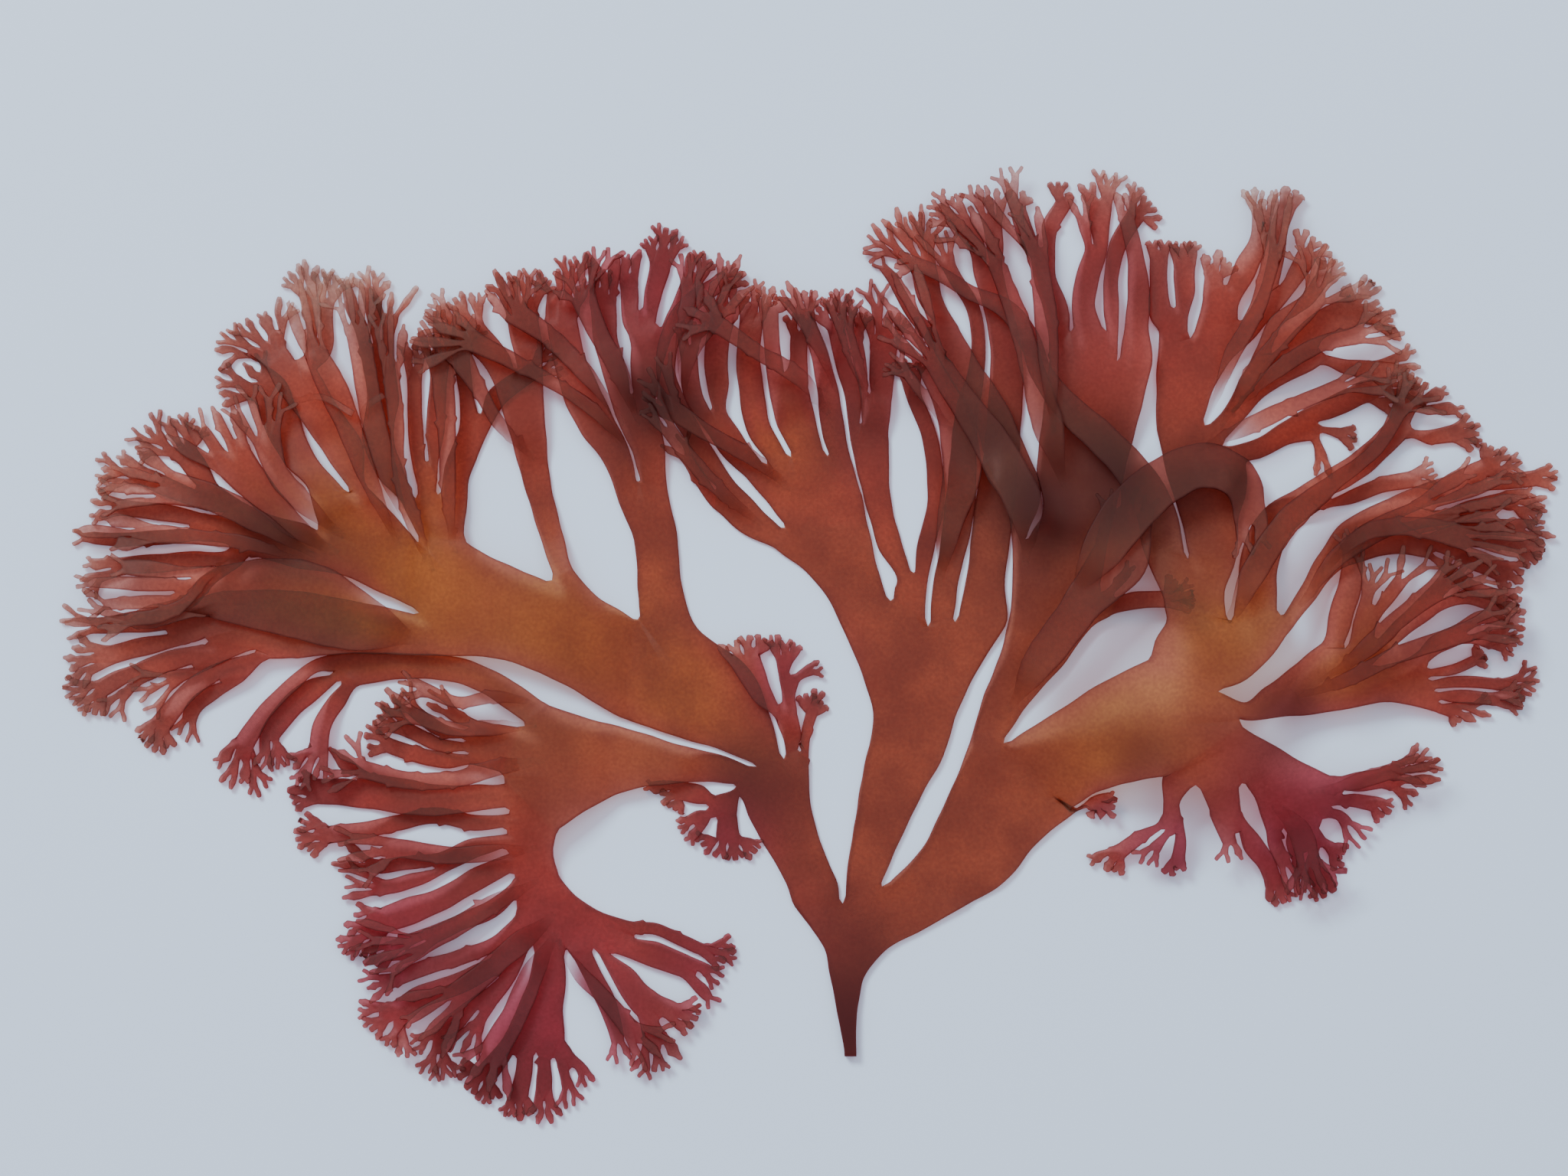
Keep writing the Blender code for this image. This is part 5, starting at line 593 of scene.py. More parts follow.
SOLID_CUT = Cut(3.1, 0.8, 1.15, False)
FINE_CUT = Cut(0.5, 0.88, 1.9, True)
FIRST_FORK = ForkHabit((3.0, 6.0), (1, 2, 2, 2, 3), 0.75, (0.9, 1.7), (0.8, 1.1))
LAST_FORK = ForkHabit((1.5, 3.0), (1, 1, 2, 2, 2), 0.5, (1.3, 2.6), (0.48, 0.68))

# Margins beside a notch: how far the edge steps in, at most and as a share of the width, how far from
# the notch it does so most, and over which share of the strip's length the step is gone again
NOTCH_STEP = 0.26
NOTCH_SHARE = 0.16
NOTCH_REACH = 0.5
NOTCH_FADE = 0.4

# Waves of a margin: their height, at most and as a share of the width, how quickly the long and the
# short one follow each other, in radians a millimetre, the short one's share, how they rise from a
# strip's ends, and the first stretch of a margin, which eases into them
WAVE = 0.09
WAVE_SHARE = 0.03
LONG_WAVE = 0.45
SHORT_WAVE = 1.5
SHORT_SHARE = 0.4
WAVE_RISE = 0.6
STILL_START = 0.05

# Teeth of a margin: the greatest width and the least length of a strip that has them, the length at
# its end that has none, where the first stands, how far apart they are, how many are missing, how tall
# they are, half of their width, how pointed they are and how far they lean, as a share of their height
TOOTH_WIDTH = 2.0
TOOTH_LENGTH = 2.5
TOOTH_END = 0.8
FIRST_TOOTH = (0.8, 4.0)
TEETH_APART = (3.0, 5.5)
TEETH_MISSING = 0.45
TOOTH_HEIGHT = (0.2, 0.6)
TOOTH_HALF = 0.42
TOOTH_POINT = 1.4
TOOTH_LEAN = 0.8

# Rows from this width are left as they are, and those narrower by this much get all the fullness
FULL_WIDTH = 6.0
FULL_FADE = 3.0

# Row steps in a tiny finger and in a broad blade, as shares of the usual step, and where broad begins
TINY_STEP = 0.7
BROAD_STEP = 1.7
BROAD_WIDTH = 3.5

# The solid's own fans: how many fingers need no groups, how deep the notches stand, how wide a finger is
# in its room, where a group forks, and how wide it is there for each finger or as a share of its room
MOST_TOGETHER = 3
SOLID_NOTCH = 0.25
SOLID_FINGER = 0.9
GROUP_FORK = 0.42
GROUP_FINGER = 0.62
GROUP_WIDTH = 0.8

# The fine fans: how far out a finger is widest, and how much of its room it fills there
WEB_WIDEST = 0.72
WEB_FILL = 0.54

# Forked ends: the most of a finger that is cut back, the shortest finger that forks, the fewest rows
# that it has, how long the widening before a fork is, how long the new ends are, how far before its tip
# and how narrow each is rounded off, and how far out the notch between them stands
MOST_BACK = 0.55
LEAST_LENGTH = 1.0
LEAST_ROWS = 4
WIDENING = 1.6
END_LENGTHS = (0.62, 0.98)
END_ROUNDING = 0.14
END_WIDTH = 0.6
END_NOTCH = 0.1

# The solid's heights: how many of its points are looked at round an edge point, how close they stand
# where one is above the other, and how many times finer the heights are rounded off
NEAR_POINTS = 4
SAME_SPOT = 0.01
FINER = 4

# Where two rows are stitched, the near row's point comes first by this much when both stand level
TIE = 1e-7

# The sprays: where their distances start, past the reach of what thickens the stipe, how far out their
# notches stand, and the seed of the first one
SPRAY_START = 50.0
SPRAY_WEBS = (0.08, 0.4)
SPRAY_SEED = 100

# How much wider than their numbers the fine blade's slim rows are, and the length of edge that is taken
# to lie before its foot
FULLER = 0.4
BEFORE_FOOT = 0.4

# Ripples: the width of blade from which they grow and how much wider it is where they are full, their
# share along the middle, how quickly the two waves follow each other, in radians a millimetre, and how
# far the quick one is out of step between the middle and a margin
RIPPLE_START = 1.5
RIPPLE_GROWTH = 8.0
RIPPLE_MIDDLE = 0.25
RIPPLE_QUICK = 0.55
RIPPLE_SLOW = 0.23
RIPPLE_TURN = 1.7

# Fingers narrower than this lift towards their ends, by this much at most
TILT_WIDTH = 3.0
TILT = 0.16

# Colour across a blade: the dark margin's width, at most and as a share of the blade's, how far in from
# it the thick middle begins, how sharply, and the distance over which it comes in past a fork
MARGIN_WIDTH = 0.35
MARGIN_SHARE = 0.2
BODY_DEPTH = 4.0
BODY_RISE = 0.7
BODY_EASE = 7.0

# Pale ends: how far down a finger they reach in plain and in pale places, how pale a plain one is, how
# much of that a rosy one loses, and how pale the far reach is
TIP_REACH = 4.5
PALE_REACH = 12.0
TIP_PALE = 0.32
ROSE_LOSS = 0.75
PALE_MOST = 0.9


@dataclass
class Strip:
    """A branch once it is cut into rows.

    Attributes:
        left: left edge points, one a row.
        right: right edge points, one a row.
        along: distance of each row from the foot of the stipe.
        parent: number of the strip that it grows from, or -1.
        key: its place in the plant: its place in each fork that leads to it, and None for a tiny finger.
        start: distance from the foot of the stipe where its run of heights begins.
        whole: distance where that run ends.
        fork: the points of its end row, the notches among them.
        far: greatest distance from the foot of the stipe to any tip that it leads to.
    """

    left: Array
    right: Array
    along: Array
    parent: int
    key: tuple | None
    start: float
    whole: float
    fork: list[Array] = field(default_factory=list)
    far: float = 0.0

    def widths(self) -> Array:
        """The width of each row."""
        return np.hypot(*(self.right - self.left).T)

    def width(self) -> float:
        """The middling width."""
        return float(np.median(self.widths()))


def size(vector: Array) -> float:
    """The vector's length."""
    return float(np.hypot(*vector))


def unit(vector: Array) -> Array:
    """The vector at length one."""
    return vector / max(size(vector), LEAST)


def smooth(share: Array) -> Array:
    """An even rise from 0 to 1, flat at both ends: three squares less two cubes of the clipped share."""
    share = np.clip(share, 0.0, 1.0)
    return share * share * (3 - 2 * share)


def edge_controls(branch: Branch, base: tuple[Array, Array], fuller: float) -> tuple[list, list]:
    """The left and right points that a branch's edges pass through, its base row included.

    Args:
        branch: the branch.
        base: the left and right points that it grows from.
        fuller: how much wider than its numbers a slim row is.

    Returns:
        The left points and the right points.
    """
    centres = [(base[0] + base[1]) / 2]
    for row in branch.rows:
        numbers = np.array(row)
        centres.append(numbers[:2] if len(row) == 3 else (numbers[:2] + numbers[2:]) / 2)
    left = [base[0]]
    right = [base[1]]
    for index, row in enumerate(branch.rows, start=1):
        if len(row) == 4:
            left.append(np.array(row[:2]))
            right.append(np.array(row[2:]))
            continue
        ahead = centres[min(index + 1, len(centres) - 1)]
        heading = unit(ahead - centres[index - 1])
        width = row[2] + fuller * max(0.0, min(1.0, (FULL_WIDTH - row[2]) / FULL_FADE))
        sideways = np.array((-heading[1], heading[0])) * width / 2
        left.append(centres[index] + sideways)
        right.append(centres[index] - sideways)
    return left, right


def velocities(points: list[Array], before: Array | None) -> list[Array]:
    """The direction of a smooth edge at each of its points.

    The slopes of the two spans that meet at a point are mixed, each by the other's length.

    Args:
        points: the points that the edge passes through.
        before: the edge point before the first, or None.

    Returns:
        One direction a point, per unit of length.
    """
    chain = ([before] if before is not None else []) + list(points)
    steps = np.diff(np.array(chain), axis=0)
    lengths = np.maximum(np.hypot(*steps.T), LEAST)
    slopes = steps / lengths[:, None]
    weighted = slopes[:-1] * lengths[1:, None] + slopes[1:] * lengths[:-1, None]
    inner = weighted / (lengths[:-1] + lengths[1:])[:, None]
    result = [slopes[0], *inner, slopes[-1]]
    return result[1:] if before is not None else result


def along_edge(points: list[Array], speeds: list[Array], span: int, part: Array) -> Array:
    """Points on a smooth edge: a cubic that meets both ends of a span in their directions.

    Args:
        points: the points that the edge passes through.
        speeds: the direction at each.
        span: which stretch between two points.
        part: how far along the stretch, from 0 to 1, one number a point.

    Returns:
        One point a part.
    """
    part = part[:, None]
    length = size(points[span + 1] - points[span])
    return ((2 * part ** 3 - 3 * part ** 2 + 1) * points[span]
            + (part ** 3 - 2 * part ** 2 + part) * length * speeds[span]
            + (3 * part ** 2 - 2 * part ** 3) * points[span + 1]
            + (part ** 3 - part ** 2) * length * speeds[span + 1])


@dataclass
class Growth:
    """Cuts the whole plant into strips.

    Attributes:
        cut: how finely, and how finger ends are drawn.
        fuller: how much wider than its numbers a slim row is.
        start: distance from the foot of the stipe to where the growth begins.
        taper: how wide the last end of a finger is, as a share of its middle.
        webs: how far out the notches of a fan stand, as shares of its length, at least and at most.
        strips: the strips, each after the one that it grows from.
        seed: seed of the small random differences between fingers.
    """

    cut: Cut
    fuller: float = 0.0
    start: float = 0.0
    taper: float = 0.8
    webs: Pair = (0.18, 0.5)
    strips: list[Strip] = field(default_factory=list)
    seed: int = 11

    def __post_init__(self) -> None:
        """Start the seeded draws."""
        self.draws = np.random.default_rng(self.seed)

    def step(self, branch: Branch, key: tuple | None) -> float:
        """Distance between rows: less in a tiny finger, more in a broad blade."""
        if not self.cut.fine:
            return self.cut.row_step
        if key is None:
            return TINY_STEP * self.cut.row_step
        broad = len(branch.rows[0]) == 4 or branch.rows[0][2] > BROAD_WIDTH
        return (BROAD_STEP if broad else 1.0) * self.cut.row_step

    def fan_out(self, left: Array, right: Array, tips: list) -> tuple[list, list, list]:
        """The notches and short branches that carry a row of finger ends, as the solid has them.

        Args:
            left: left end of their base row.
            right: right end of it.
            tips: the numbered finger ends, from left to right, each (number, (x, y)).

        Returns:
            The notches between the fingers, the fingers, and what each adds to its key.
        """
        groups = [[tip] for tip in tips]
        if len(tips) > MOST_TOGETHER:
            middle = len(tips) // 2
            groups = [tips[:middle], tips[middle:]]
        across = right - left
        forward = unit(np.array((-across[1], across[0])))
        width = size(across)
        notches = []
        kids = []
        names = []
        passed = 0
        for group in groups:
            near = passed / len(tips)
            passed += len(group)
            far = passed / len(tips)
            base = left + across * (near + far) / 2
            ends = [point for _, point in group]
            goal = np.mean(ends, axis=0)
            room = width * (far - near)
            if len(group) == 1:
                waist = min(max(SOLID_FINGER * room, self.cut.tip_width), self.cut.finger_width)
                kids.append(Branch([(*(base + (goal - base) * 0.5), waist), (*goal, self.cut.tip_width)]))
                names.append(("tip", group[0][0]))
            else:
                fork = base + (goal - base) * GROUP_FORK
                waist = max(GROUP_FINGER * len(group), GROUP_WIDTH * room)
                kids.append(Branch([(*fork, waist)], tips=ends, first_tip=group[0][0]))
                names.append(("group", group[0][0]))
            if far < 1:
                notches.append(tuple(left + across * far + forward * SOLID_NOTCH * width))
        return notches, kids, names

    def web_out(self, left: Array, right: Array, tips: list, forks: int) -> tuple[list, list, list]:
        """The notches and fingers of a fan whose fingers part late, so that a broad web holds them.

        A notch stands part of the way from the fan's base to the middle between its two finger ends. A
        finger fills a little over half of its room.

        Args:
            left: left end of their base row.
            right: right end of it.
            tips: the numbered finger ends, from left to right, each (number, (x, y)).
            forks: how many times a finger's end forks further.

        Returns:
            The notches between the fingers, the fingers, and what each adds to its key.
        """
        ends = np.array([point for _, point in tips], float)
        across = right - left
        count = len(ends)
        notches = []
        for number in range(1, count):
            root = left + across * (number / count)
            goal = (ends[number - 1] + ends[number]) / 2
            notches.append(tuple(root + (goal - root) * float(self.draws.uniform(*self.webs))))
        apart = np.hypot(*np.diff(ends, axis=0).T)
        base = size(across) / count
        kids = []
        names = []
        for number, end in enumerate(ends):
            root = left + across * (number + 0.5) / count
            gaps = apart[max(number - 1, 0):number + 1]
            room = base + (gaps.min() - base) * WEB_WIDEST if len(gaps) else self.cut.finger_width
            width = min(max(WEB_FILL * room, self.cut.tip_width), self.cut.finger_width)
            middle = root + (end - root) * WEB_WIDEST
            kids.append(Branch([(*middle, width), (*end, self.cut.tip_width)], forks=forks))
            names.append(("tip", tips[number][0]))
        return notches, kids, names

    def fork_end(self, strip: Strip, forks: int) -> tuple[list, list]:
        """Cut a finger back a little and let its end go on as one, two or three blunt ones.

        The rows before the fork widen to hold them, by a smooth step.

        Args:
            strip: the finger, already cut into rows, which is shortened in place.
            forks: how many more times it may fork, this time included.

        Returns:
            The notches between the new ends, and the ends.
        """
        habit = LAST_FORK if forks == 1 else FIRST_FORK
        length = float(strip.along[-1] - strip.along[0])
        back = min(MOST_BACK * length, float(self.draws.uniform(*habit.back)))
        count = int(self.draws.choice(habit.counts))
        if len(strip.along) < LEAST_ROWS or length < LEAST_LENGTH:
            return [], []
        keep = min(max(int(np.searchsorted(strip.along, strip.along[-1] - back)), 2), len(strip.along) - 2)
        back = float(strip.along[-1] - strip.along[keep])
        strip.left = strip.left[:keep + 1]
        strip.right = strip.right[:keep + 1]
        strip.along = strip.along[:keep + 1]
        middle = (strip.left + strip.right) / 2
        half = (strip.right - strip.left) / 2
        ease = smooth(1 - (strip.along[-1] - strip.along) / WIDENING)
        grown = 1 + np.maximum(habit.room * count / strip.widths() - 1, 0.0) * ease
        strip.left = middle - half * grown[:, None]
        strip.right = middle + half * grown[:, None]
        left = strip.left[-1]
        across = strip.right[-1] - left
        sideways = unit(across)
        forward = np.array((-sideways[1], sideways[0]))
        spread = float(self.draws.uniform(*habit.spread))
        width = float(self.draws.uniform(*habit.width))
        notches = []
        kids = []
        for number in range(count):
            place = (number + 0.5) / count
            root = left + across * place
            way = forward + sideways * (place - 0.5) * spread * (1 if count > 1 else 0)
            goal = root + way * back * float(self.draws.uniform(*END_LENGTHS))
            before_end = goal - unit(way) * END_ROUNDING
            kids.append(Branch([(*(root + (goal - root) * 0.5), width), (*before_end, self.taper * width),
                                (*goal, END_WIDTH * self.taper * width)], forks=forks - 1))
            if number:
                notches.append(tuple(left + across * number / count + forward * END_NOTCH))
        return notches, kids

    def grow(self, branch: Branch, base: tuple, before: tuple, parent: int = -1,
             key: tuple | None = (), in_fan: bool = False) -> float:
        """Cut a branch, and all that grows from it, into strips of rows.

        Args:
            branch: the branch.
            base: the left and right points that it grows from.
            before: the edge point before each of those, or None beside a notch.
            parent: number of the strip that it grows from.
            key: its place in the plant, or None for a tiny finger.
            in_fan: whether it is a finger of a web, whose heights run from the web's base.

        Returns:
            The greatest distance from the foot of the stipe to a tip on it.
        """
        left, right = edge_controls(branch, base, self.fuller if key is not None else 0.0)
        left_speeds = velocities(left, before[0])
        right_speeds = velocities(right, before[1])
        left_rows = [left[0][None]]
        right_rows = [right[0][None]]
        for span in range(len(left) - 1):
            length = max(size(left[span + 1] - left[span]), size(right[span + 1] - right[span]))
            parts = max(1, round(length / self.step(branch, key)))
            part = np.arange(1, parts + 1) / parts
            left_rows.append(along_edge(left, left_speeds, span, part))
            right_rows.append(along_edge(right, right_speeds, span, part))
        left_rows = np.concatenate(left_rows)
        right_rows = np.concatenate(right_rows)
        steps = np.hypot(*np.diff((left_rows + right_rows) / 2, axis=0).T)
        root = self.strips[parent].along[-1] if parent >= 0 else self.start
        ahead = 0.0
        if in_fan:
            above = self.strips[parent]
            ahead = size((base[0] + base[1] - above.left[-1] - above.right[-1]) / 2)
        along = root + ahead + np.concatenate(([0.0], np.cumsum(steps)))
        strip = Strip(left_rows, right_rows, along, parent, key, root, float(along[-1]))
        number = len(self.strips)
        self.strips.append(strip)
        notches = branch.notches
        kids = branch.kids
        names: list = list(range(len(kids)))
        if branch.tips:
            tips = list(enumerate(branch.tips, start=branch.first_tip))
            if self.cut.fine:
                notches, kids, names = self.web_out(left_rows[-1], right_rows[-1], tips, branch.forks)
            else:
                notches, kids, names = self.fan_out(left_rows[-1], right_rows[-1], tips)
        if self.cut.fine:
            if not kids and branch.forks:
                notches, kids = self.fork_end(strip, branch.forks)
                names = [None] * len(kids)
            self.trim(strip, before)
        strip.far = float(strip.along[-1])
        if kids:
            strip.fork = [strip.left[-1], *(np.array(notch) for notch in notches), strip.right[-1]]
        for place, (kid, name) in enumerate(zip(kids, names)):
            outer_left = strip.left[-2] if place == 0 else None
            outer_right = strip.right[-2] if place == len(kids) - 1 else None
            kid_base = (strip.fork[place], strip.fork[place + 1])
            kid_key = None if name is None or key is None else (*key, name)
            webbed = bool(branch.tips) and self.cut.fine
            reached = self.grow(kid, kid_base, (outer_left, outer_right), number, kid_key, webbed)
            strip.far = max(strip.far, reached)
        return strip.far

    def trim(self, strip: Strip, before: tuple) -> None:
        """Round the notches beside a strip, and give its margins small waves and teeth.

        Beside a notch the edge steps in towards the strip's middle by a hump that rises as a square
        root and dies away again. Waves are two sines along the strip that fade to nothing at both ends.
        Teeth are narrow peaks on slim strips, leaning towards the tip.

        Args:
            strip: the strip, changed in place.
            before: for each side, None where the edge starts at a notch.
        """
        along = strip.along - strip.along[0]
        length = max(float(along[-1]), LEAST)
        widths = strip.widths()
        inward = (strip.right - strip.left) / np.maximum(widths, LEAST)[:, None]
        heading = np.stack((-inward[:, 1], inward[:, 0]), axis=1)
        fade = np.sin(np.pi * np.clip(along / length, 0.0, 1.0)) ** WAVE_RISE
        toothed = float(widths.mean()) < TOOTH_WIDTH and length > TOOTH_LENGTH
        for side, edge, way in ((0, strip.left, 1.0), (1, strip.right, -1.0)):
            shift = np.zeros(len(along))
            if before[side] is None:
                room = np.minimum(NOTCH_STEP, NOTCH_SHARE * widths)
                reach = along / NOTCH_REACH
                shift += room * np.sqrt(reach) * np.exp(0.5 * (1 - reach))
                shift *= np.clip((length - along) / (NOTCH_FADE * length), 0.0, 1.0)
            phase = self.draws.uniform(0, 2 * np.pi, 2)
            wave = np.sin(along * LONG_WAVE + phase[0])
            wave = wave + SHORT_SHARE * np.sin(along * SHORT_WAVE + phase[1])
            shift += wave * fade * np.minimum(WAVE, WAVE_SHARE * widths)
            lean = np.zeros(len(along))
            if toothed:
                first = self.draws.uniform(*FIRST_TOOTH)
                for spot in np.arange(first, length - TOOTH_END, self.draws.uniform(*TEETH_APART)):
                    if self.draws.uniform() < TEETH_MISSING:
                        continue
                    tall = self.draws.uniform(*TOOTH_HEIGHT)
                    peak = np.clip(1 - np.abs(along - spot) / TOOTH_HALF, 0.0, 1.0) ** TOOTH_POINT
                    shift -= tall * peak
                    lean += TOOTH_LEAN * tall * peak
            still = np.clip(along / STILL_START, 0.0, 1.0)
            edge += inward * (way * shift * still)[:, None] + heading * lean[:, None]


@dataclass
class Drape:
    """The height of every branch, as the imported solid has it.

    Attributes:
        profiles: for each place in the plant, the share of the branch's length and the height there.
    """

    profiles: dict[tuple, tuple[Array, Array]]

    @classmethod
    def from_node(cls, node: bpy.types.Object, strips: list[Strip]) -> Drape:
        """Read the underside's height at each edge point of the solid's own rows.

        The run of heights of a finger in a group goes on from the group's own run, so that it starts at
        the base of the fan.

        Args:
            node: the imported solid.
            strips: the plant cut as the solid is.

        Returns:
            The heights.
        """
        mesh = node.data
        places = np.empty(len(mesh.vertices) * 3)
        mesh.vertices.foreach_get("co", places)
        places = np.unique(np.round(places.reshape(-1, 3) / MM, 4), axis=0)
        tree = KDTree(len(places))
        for index, place in enumerate(places):
            tree.insert((place[0], place[1], 0.0), index)
        tree.balance()
        runs: dict[tuple, tuple[Array, Array]] = {}
        worst = 0.0
        for strip in strips:
            heights = []
            for point in strip.left:
                spot = (point[0] + FOOT[0], point[1] + FOOT[1], 0.0)
                found = tree.find_n(spot, NEAR_POINTS)
                nearest = found[0][2]
                worst = max(worst, nearest)
                level = [places[index][2] for _, index, apart in found if apart < nearest + SAME_SPOT]
                heights.append(min(level))
            along = strip.along
            key = strip.key
            heights = np.array(heights)
            above = strips[strip.parent].key if strip.parent >= 0 else ()
            if above and isinstance(above[-1], tuple) and above[-1][0] == "group":
                before, before_heights = runs[above]
                along = np.concatenate((before, along[1:]))
                heights = np.concatenate((before_heights, heights[1:]))
                key = (*above[:-1], key[-1])
            runs[key] = (along, heights)
        LOG.info("solid's rows found within %.3f mm", worst)
        profiles = {}
        for key, (along, heights) in runs.items():
            profiles[key] = ((along - along[0]) / max(float(along[-1] - along[0]), LEAST), heights)
        return cls(profiles)

    def height(self, strip: Strip, along: Array) -> Array:
        """The height along a strip, rounded off between the solid's rows.

        Args:
            strip: the strip.
            along: distances from the foot of the stipe.

        Returns:
            One height a distance.
        """
        shares, heights = self.profiles[strip.key]
        fine = np.linspace(0.0, 1.0, FINER * len(shares) + 1)
        rough = np.interp(fine, shares, heights)
        rounded = rough.copy()
        rounded[1:-1] = (rough[:-2] + 2 * rough[1:-1] + rough[2:]) / 4
        share = (along - strip.start) / max(strip.whole - strip.start, LEAST)
        return np.interp(share, fine, rounded)


def stitch(near: Array, far: Array, near_share: Array, far_share: Array) -> Array:
    """Triangles between two rows of unlike counts, taken in the order of their shares across.

    Args:
        near: point numbers of the near row, left to right.
        far: point numbers of the far row, left to right.
        near_share: how far across each near point is, from 0 to 1.
        far_share: the same for the far points.

    Returns:
        One triangle a row of the result.
    """
    shares = np.concatenate((near_share[1:], far_share[1:] + TIE))
    kinds = np.concatenate((np.zeros(len(near) - 1, int), np.ones(len(far) - 1, int)))
    order = np.argsort(shares, kind="stable")
    kinds = kinds[order]
    near_place = np.concatenate(([0], np.cumsum(kinds == 0)))[:-1]
    far_place = np.concatenate(([0], np.cumsum(kinds == 1)))[:-1]
    step_near = kinds == 0
    third = np.where(step_near, near[np.minimum(near_place + 1, len(near) - 1)],
                     far[np.minimum(far_place + 1, len(far) - 1)])
    return np.stack((near[near_place], third, far[far_place]), axis=1)


@dataclass
class Surface:
    """The blade's underside as a growing list of points and faces.

    Attributes:
        points: point arrays, in the plan of the plant, with their heights.
        notes: attribute arrays that go with them, by name.
        quads: four-cornered faces.
        triangles: three-cornered faces at the forks.
        count: how many points there are so far.
    """

    points: list[Array] = field(default_factory=list)
    notes: dict[str, list[Array]] = field(default_factory=dict)
    quads: list[Array] = field(default_factory=list)
    triangles: list[Array] = field(default_factory=list)
    count: int = 0

    def add(self, points: Array, **notes: Array) -> Array:
        """Add points with their attributes.

        Args:
            points: one point a row.
            notes: one number a point, by name.

        Returns:
            Their point numbers.
        """
        self.points.append(points)
        for name, values in notes.items():
            self.notes.setdefault(name, []).append(values)
        numbers = np.arange(self.count, self.count + len(points))
        self.count += len(points)
        return numbers

    def whole(self) -> tuple[Array, dict[str, Array], Array, Array]:
        """All points, attributes, quads and triangles, each as one array."""
        notes = {name: np.concatenate(values) for name, values in self.notes.items()}
        return np.concatenate(self.points), notes, np.concatenate(self.quads), np.concatenate(self.triangles)

    def join(self, other: Surface) -> None:
        """Take in another surface.

        Args:
            other: the surface to add.
        """
        points, notes, quads, triangles = other.whole()
        start = self.count
        self.add(points, **notes)
        self.quads.append(quads + start)
        self.triangles.append(triangles + start)


@dataclass
class Layers:
    """How high the plant stands at each place of the plan.

    The plan is a grid of small cells. Each cell keeps the highest point that falls in it.

    Attributes:
        cell: width of a cell, in millimetres.
        start: corner of the grid in the plan.
        shape: number of cells each way.
        clear: how far a spray's underside stays above what it lies on.
        slope: how steeply the hill over a raised place falls away.
        hill_rounds: how many cells the foot of such a hill may be away.
        near_cells: how many cells round a high place count as high.
        soft_cells: over how many cells each way the hill is softened.
        foot_clear: how far a spray's foot stays above what carries it.
        foot_run: distance over which the spray comes up from there.
        spots: where across each face its heights are noted, as shares.
    """

    cell: float = 0.4
    start: Pair = (-102.0, -18.0)
    shape: tuple[int, int] = (490, 330)
    clear: float = 0.45
    slope: float = 0.22
    hill_rounds: int = 24
    near_cells: int = 2
    soft_cells: int = 3
    foot_clear: float = 0.1
    foot_run: float = 3.0
    spots: tuple[float, ...] = (0.17, 0.5, 0.83)

    def __post_init__(self) -> None:
        """Start with empty cells."""
        self.high = np.zeros(self.shape[0] * self.shape[1])

    def fill(self, surface: Surface) -> None:
        """Note the heights of nine spots of each quad, each a weighted mean of its corners.

        Args:
            surface: the surface to note.
        """
        points, _, quads, _ = surface.whole()
        corners = points[quads]
        for u in self.spots:
            near = corners[:, 0] * (1 - u) + corners[:, 1] * u
            far = corners[:, 3] * (1 - u) + corners[:, 2] * u
            for v in self.spots:
                spot = near * (1 - v) + far * v
                np.maximum.at(self.high, self.place(spot), spot[:, 2])

    def place(self, points: Array) -> Array:
        """The cell that each point falls in."""
        cells = ((points[:, :2] - self.start) / self.cell).astype(int)
        return cells[:, 0] * self.shape[1] + cells[:, 1]

    def spread_out(self, grid: Array, reach: int, take: np.ufunc) -> Array:
        """Each cell's largest or summed value over the square of cells within reach of it.

        Args:
            grid: the cells.
            reach: how many cells each way.
            take: np.maximum or np.add.

        Returns:
            The new cells.
        """
        for axis in (0, 1):
            rolled = [np.roll(grid, step, axis) for step in range(-reach, reach + 1)]
            grid = take.reduce(rolled)
        return grid

    def lay_over(self, sheet: Surface) -> None:
        """Raise a flat sheet until it lies over all that is there, as a smooth hill.

        The hill falls away from each high cell by no more than its slope, and is then softened. In the
        first millimetres from its foot the sheet comes out of the blade that carries it.

        Args:
            sheet: the sheet, changed in place.
        """
        points, notes, _, _ = sheet.whole()
        high = self.high.reshape(self.shape)
        top = self.spread_out(high, self.near_cells, np.maximum)
        for _ in range(self.hill_rounds):
            top = np.maximum(top, self.spread_out(top, 1, np.maximum) - self.slope * self.cell)
        soft = self.spread_out(top, self.soft_cells, np.add) / (2 * self.soft_cells + 1) ** 2
        where = self.place(points)
        over = soft.reshape(-1)[where] + self.clear
        here = high.reshape(-1)[where] + self.foot_clear
        away = smooth((notes["along"] - SPRAY_START) / self.foot_run)
        lift = here * (1 - away) + over * away
        passed = 0
        for part in sheet.points:
            part[:, 2] += lift[passed:passed + len(part)]
            passed += len(part)


